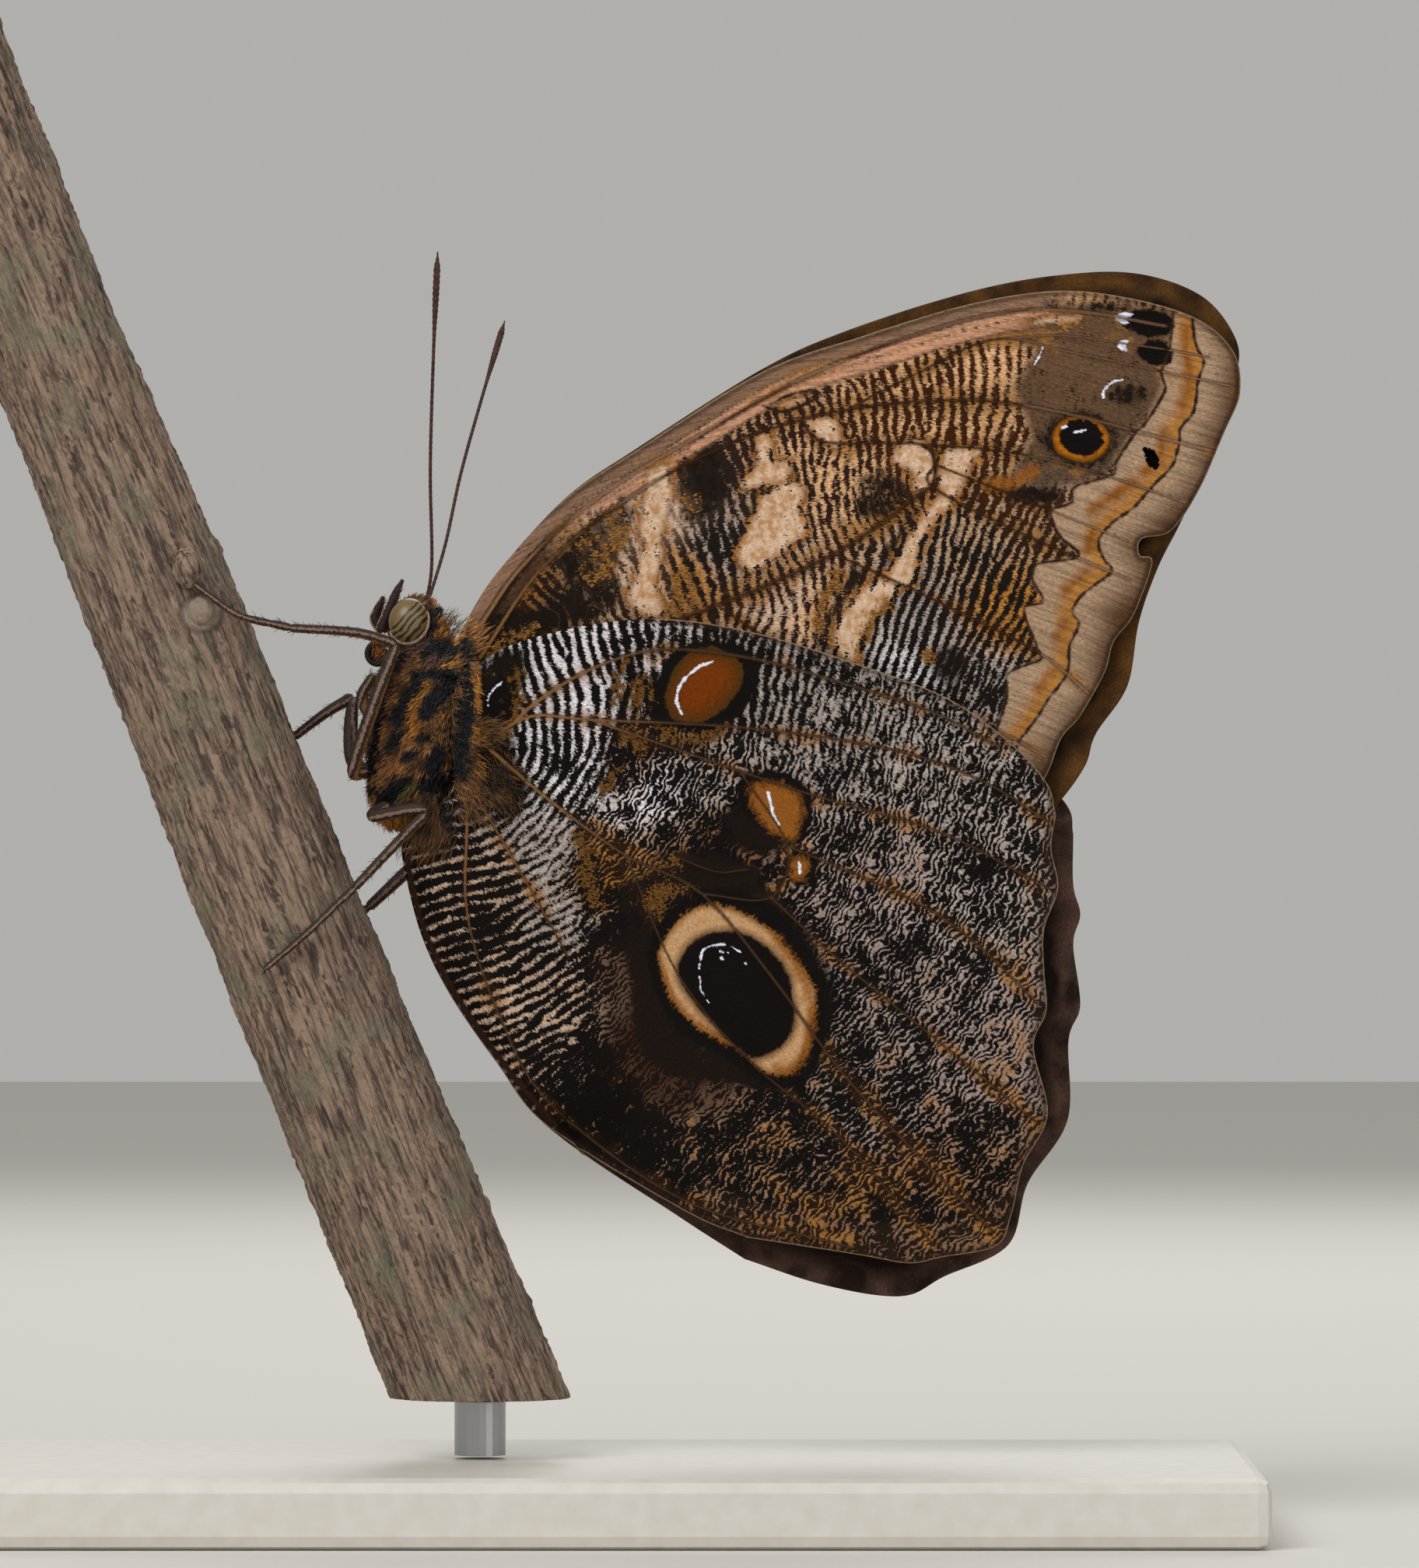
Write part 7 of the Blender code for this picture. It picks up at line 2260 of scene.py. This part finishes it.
@dataclass(frozen=True)
class Bark:
    """Thin grey-brown bark in long flakes, with tan tops, dark furrows and grey-green bloom."""

    long: float = 4.6
    wide: float = 0.42
    scar: tuple = ((-18.7, 0.0, 9.4), 1.5)  # middle and radius of the leaf scar, on the camera's side

    def make(self, name: str, axis: Vector) -> bpy.types.Material:
        """Makes the material.

        Args:
            name: What the real surface is.
            axis: The twig's direction.

        Returns:
            The material. Stretched noise gives the flakes their grain along the twig,
            and its sawn ends show pale wood.
        """
        tree, at = new_material(name, 0.9, Specular_IOR_Level=0.2)
        lean = math.atan2(axis.x, axis.z)
        upright = add_node(tree, "Mapping", {"Vector": at, "Rotation": (0.0, -lean, 0.0)})
        flakes = add_node(
            tree, "VectorMath",
            {0: upright, 1: (PER_MM / self.wide, PER_MM / self.wide, PER_MM / self.long)},
            operation="MULTIPLY",
        )
        flake = add_node(
            tree, "TexNoise", {"Vector": flakes, "Scale": 1.0, "Detail": 3.0, "Distortion": 0.7}
        )
        cloud = add_node(tree, "TexNoise", {"Vector": at, "Scale": PER_MM / 5.0, "Detail": 4.0})
        grit = add_node(tree, "TexNoise", {"Vector": at, "Scale": PER_MM / 0.3, "Detail": 3.0})
        tops = add_node(tree, "MapRange", {"Value": flake, "From Min": 0.4, "From Max": 0.6})
        colour = add_node(tree, "Mix", {0: tops, 6: "#564840", 7: "#937c6a"}, data_type="RGBA")
        bloom = add_node(
            tree, "MapRange", {"Value": cloud, "From Min": 0.5, "From Max": 0.68, "To Max": 0.6}
        )
        colour = add_node(tree, "Mix", {0: bloom, 6: colour, 7: "#6f6e5c"}, data_type="RGBA")
        furrow = add_node(
            tree, "MapRange", {"Value": flake, "From Min": 0.4, "From Max": 0.3, "To Max": 0.6}
        )
        colour = add_node(tree, "Mix", {0: furrow, 6: colour, 7: "#2b221c"}, data_type="RGBA")
        centre, size = self.scar
        away = add_node(
            tree, "VectorMath", {0: at, 1: tuple(-(value + body) * MM for value, body in zip(centre, BODY))},
            operation="ADD",
        )
        away = add_node(tree, "VectorMath", {0: away, 1: (PER_MM, 0.0, PER_MM)}, operation="MULTIPLY")
        away = add_node(tree, "VectorMath", {0: away}, operation="LENGTH").outputs["Value"]
        away = add_node(tree, "Math", {0: cloud, 1: 2.0, 2: away}, operation="MULTIPLY_ADD")
        for rim, paint in ((1.15, "#4c4036"), (0.95, "#8d7e70")):
            cover = add_node(
                tree, "MapRange", {"Value": away, "From Min": size * rim + 1.3, "From Max": size * rim + 0.8}
            )
            colour = add_node(tree, "Mix", {0: cover, 6: colour, 7: paint}, data_type="RGBA")
        facing = add_node(tree, "NewGeometry").outputs["True Normal"]
        facing = add_node(
            tree, "VectorMath", {0: facing, 1: tuple(axis.normalized())}, operation="DOT_PRODUCT"
        )
        facing = add_node(tree, "Math", {0: facing.outputs["Value"]}, operation="ABSOLUTE")
        cut = add_node(tree, "MapRange", {"Value": facing, "From Min": 0.86, "From Max": 0.93})
        wood = add_node(tree, "Mix", {0: grit, 6: "#8a6c48", 7: "#b99a6e"}, data_type="RGBA")
        colour = add_node(tree, "Mix", {0: cut, 6: colour, 7: wood}, data_type="RGBA")
        light = add_node(tree, "MapRange", {"Value": grit, "To Min": 0.7, "To Max": 1.3})
        colour = add_node(
            tree, "Mix", {0: 1.0, 6: colour, 7: light}, data_type="RGBA", blend_type="MULTIPLY"
        )
        height = add_node(tree, "Math", {0: grit, 1: 0.35, 2: flake}, operation="MULTIPLY_ADD")
        return finish_material(name, colour, height, 0.3, 0.8)


def dress_stand(nodes: dict[str, bpy.types.Object]) -> None:
    """Gives the stand's solids their finishes.

    Args:
        nodes: The frame's solids.
    """
    wood, steel = "off-white lacquered wood", "brushed steel rod"
    tree, at = new_material(wood, 0.45)
    speck = add_node(tree, "TexNoise", {"Vector": at, "Scale": PER_MM / 2.0, "Detail": 3.0})
    colour = add_node(tree, "Mix", {0: speck, 6: "#c9c4ba", 7: "#dedad2"}, data_type="RGBA")
    finish_material(wood, colour, speck, 0.05, 0.3)
    tree, at = new_material(steel, 0.3, Metallic=1.0, Base_Color="#a9a9ab")
    brushed = add_node(tree, "VectorMath", {0: at, 1: (900.0, 900.0, 12000.0)}, operation="MULTIPLY")
    lines = add_node(tree, "TexNoise", {"Vector": brushed, "Scale": 1.0, "Detail": 2.0})
    finish_material(steel, None, lines, 0.02, 0.4)
    for name, finish in (("stand_base", wood), ("stand_rod", steel)):
        for holder in nodes[name].material_slots:
            holder.material = bpy.data.materials[finish]


# Stretches of the coat: name, from and to which height, and length of its tufts.
COATS = (
    ("coat_head", 5.6, 20.0, 0.8),
    ("coat_thorax_upper", -1.5, 5.6, 0.95),
    ("coat_thorax_lower", -10.0, -1.5, 1.05),
    ("coat_abdomen", -40.0, -10.0, 1.0),
)


def build_butterfly(nodes: dict[str, bpy.types.Object]) -> None:
    """Builds everything but the wings.

    Args:
        nodes: The frame's solids.
    """
    body = Body()
    body.build_skin(nodes, Fur().make("skin under the fur", False))
    coat = Fur().make("velvet fur", True)
    for seed, (name, low, high, long) in enumerate(COATS, 11):
        body.build_coat(name, low, high, long, coat, seed)
    body.build_hairs(coat)
    eyes = Eye("eye_left", -1), Eye("eye_right", 1)
    cornea = eyes[0].finish()
    for eye in eyes:
        eye.build(cornea)
    orbit = Horn("#8a6a56", "#c9a994", 0.18, 0.8).make("pale scales round the eye")
    for eye in eyes:
        eye.build_orbit(orbit)
    feeler = Horn("#200d07", "#4f2413", 0.3, 0.7).make("ringed horn of the feelers")
    for name, points in (
        ("antenna_left", ((0.1, -0.8, 10.0), (0.7, -1.4, 13.6), (0.65, -4.4, 21.7), (1.0, -7.6, 31.5),
                          (1.4, -9.4, 40.0))),
        ("antenna_right", ((0.2, 0.8, 10.0), (1.75, 2.6, 15.3), (3.0, 5.7, 21.4), (4.6, 11.6, 27.8),
                           (6.6, 18.2, 35.2))),
    ):
        Antenna(name, points).build(feeler)
    palp = Striped(
        ((-2, "#5f3818"), (-0.7, "#20130d"), (0.8, "#94705f"))
    ).make("striped scales of the palps")
    for name, points in (
        ("palp_left", ((-3.7, -0.95, 7.9), (-3.1, -1.0, 9.3), (-2.4, -0.9, 11.1), (-1.8, -0.8, 12.3))),
        ("palp_right", ((-3.5, 1.0, 7.9), (-4.2, 1.1, 8.9), (-3.95, 1.0, 9.9), (-3.5, 0.9, 10.9))),
    ):
        Palp(name, points).build(palp)
    tongue = Striped(((-3, "#a0622c"), (-1.5, "#17100d")), 0.3)
    Proboscis().build(tongue.make("horn and hairs of the coiled tongue"))
    shank = Striped(
        ((-2, "#7a4e26"), (-0.8, "#261913"), (-0.3, "#7b6355"), (0.2, "#33251e"))
    ).make("striped scales of the legs")
    for number, (name, pieces) in enumerate(LEGS.items()):
        Leg(name, pieces, seed=number).build(shank)
    Twig().build(Bark().make("flaking bark", Vector((49.4, 0.0, -123.0))))
    dress_stand(nodes)


@dataclass
class Studio:
    """Plain floor, soft light and the camera at the photograph's view."""

    distance: float = 1000.0
    view_x: float = 13.17  # middle of the photograph's frame
    view_z: float = 63.8
    view_high: float = 134.4

    def floor(self) -> None:
        """Lays a plain pale floor under the stand."""
        bm = bmesh.new()
        bmesh.ops.create_grid(bm, x_segments=1, y_segments=1, size=1.5)
        mesh = bpy.data.meshes.new("floor")
        bm.to_mesh(mesh)
        bm.free()
        new_material("pale paper floor", 0.9, Base_Color="#d9d6d0")
        mesh.materials.append(bpy.data.materials["pale paper floor"])
        floor = bpy.data.objects.new("floor", mesh)
        bpy.context.scene.collection.objects.link(floor)

    def light(self) -> None:
        """Sets a soft key at the upper left, a weaker fill, a rim from behind and an even surround."""
        world = bpy.data.worlds.new("studio")
        bpy.context.scene.world = world
        world.use_nodes = True
        backdrop = world.node_tree.nodes["Background"]
        backdrop.inputs["Color"].default_value = rgb("#e4e3e0")
        backdrop.inputs["Strength"].default_value = 0.56
        bpy.context.scene.view_settings.view_transform = "Standard"
        for name, place, size, power in (
            ("key", (-0.35, -0.6, 0.65), 0.5, 4.6),
            ("fill", (0.5, -0.6, 0.25), 0.6, 1.1),
            ("rim", (0.1, 0.6, 0.5), 0.5, 1.7),
        ):
            lamp = bpy.data.lights.new(name, "AREA")
            lamp.size = size
            lamp.energy = power
            holder = bpy.data.objects.new(name, lamp)
            holder.location = place
            way = Vector((0.0, 0.0, 0.065)) - Vector(place)
            holder.rotation_euler = way.to_track_quat("-Z", "Y").to_euler()
            bpy.context.scene.collection.objects.link(holder)

    def camera(self) -> None:
        """Sets a level camera a metre off, facing the left side."""
        lens = bpy.data.cameras.new("camera")
        lens.sensor_fit = "AUTO"
        lens.sensor_width = 36.0
        lens.lens = 36.0 * self.distance / self.view_high
        lens.clip_start = 0.05
        lens.clip_end = 20.0
        holder = bpy.data.objects.new("camera", lens)
        holder.location = Vector((self.view_x, -self.distance, self.view_z)) * MM
        holder.rotation_euler = (math.pi / 2, 0, 0)
        bpy.context.scene.collection.objects.link(holder)
        bpy.context.scene.camera = holder


FORE_SCALES = WingScales(
    Hue.EMBER, Hue.CREAM, Hue.FLAME, 3.4, 0.5, crinkle=0.7, crinkled=0.35, ochre="#8f6230", clouded=2.4
)
HIND_SCALES = WingScales(Hue.BROWN, Hue.WHEAT, Hue.AMBER, 0.8, 1.7)
FORE_BACK = WingBack("#2c1a0a", "#5c3c18", "#160c05")
HIND_BACK = WingBack("#241712", "#5a4238", "#1a100c")


def build_wings() -> None:
    """Builds the four wings with their finishes."""
    fringe = WingFringe().make("fringe scales")
    for fore, edges, layer, *pattern in (
        (True, (FOREWING_EDGE, FAR_FOREWING_EDGE), FOREWING_LAYER, FOREWING_VEINS, FOREWING_REGIONS,
         FOREWING_ZONES, FOREWING_MARKS, FRONT_BANDS),
        (False, (HINDWING_EDGE, FAR_HINDWING_EDGE), HINDWING_LAYER, HINDWING_VEINS, HINDWING_REGIONS,
         HINDWING_ZONES, HINDWING_MARKS),
    ):
        kind = "forewing" if fore else "hindwing"
        scales = (FORE_SCALES if fore else HIND_SCALES).make(f"{kind} scales")
        back = (FORE_BACK if fore else HIND_BACK).make(f"upper scales of the {kind}")
        for name, side, edge in zip(("left", "right"), (-1, 1), edges):
            wing = Wing(f"{kind}_{name}", side, layer, edge, *pattern)
            if fore and side < 0:
                wing.tear = TEAR
            wing.build([scales, back, fringe])


def main() -> None:
    """Builds the butterfly, its perch and the stand, in the order in which they are made."""
    logging.basicConfig(level=logging.INFO, format="%(message)s")
    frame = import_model()
    build_butterfly(frame["nodes"])
    build_wings()
    studio = Studio()
    studio.floor()
    studio.light()
    studio.camera()


if __name__ == "__main__":
    main()
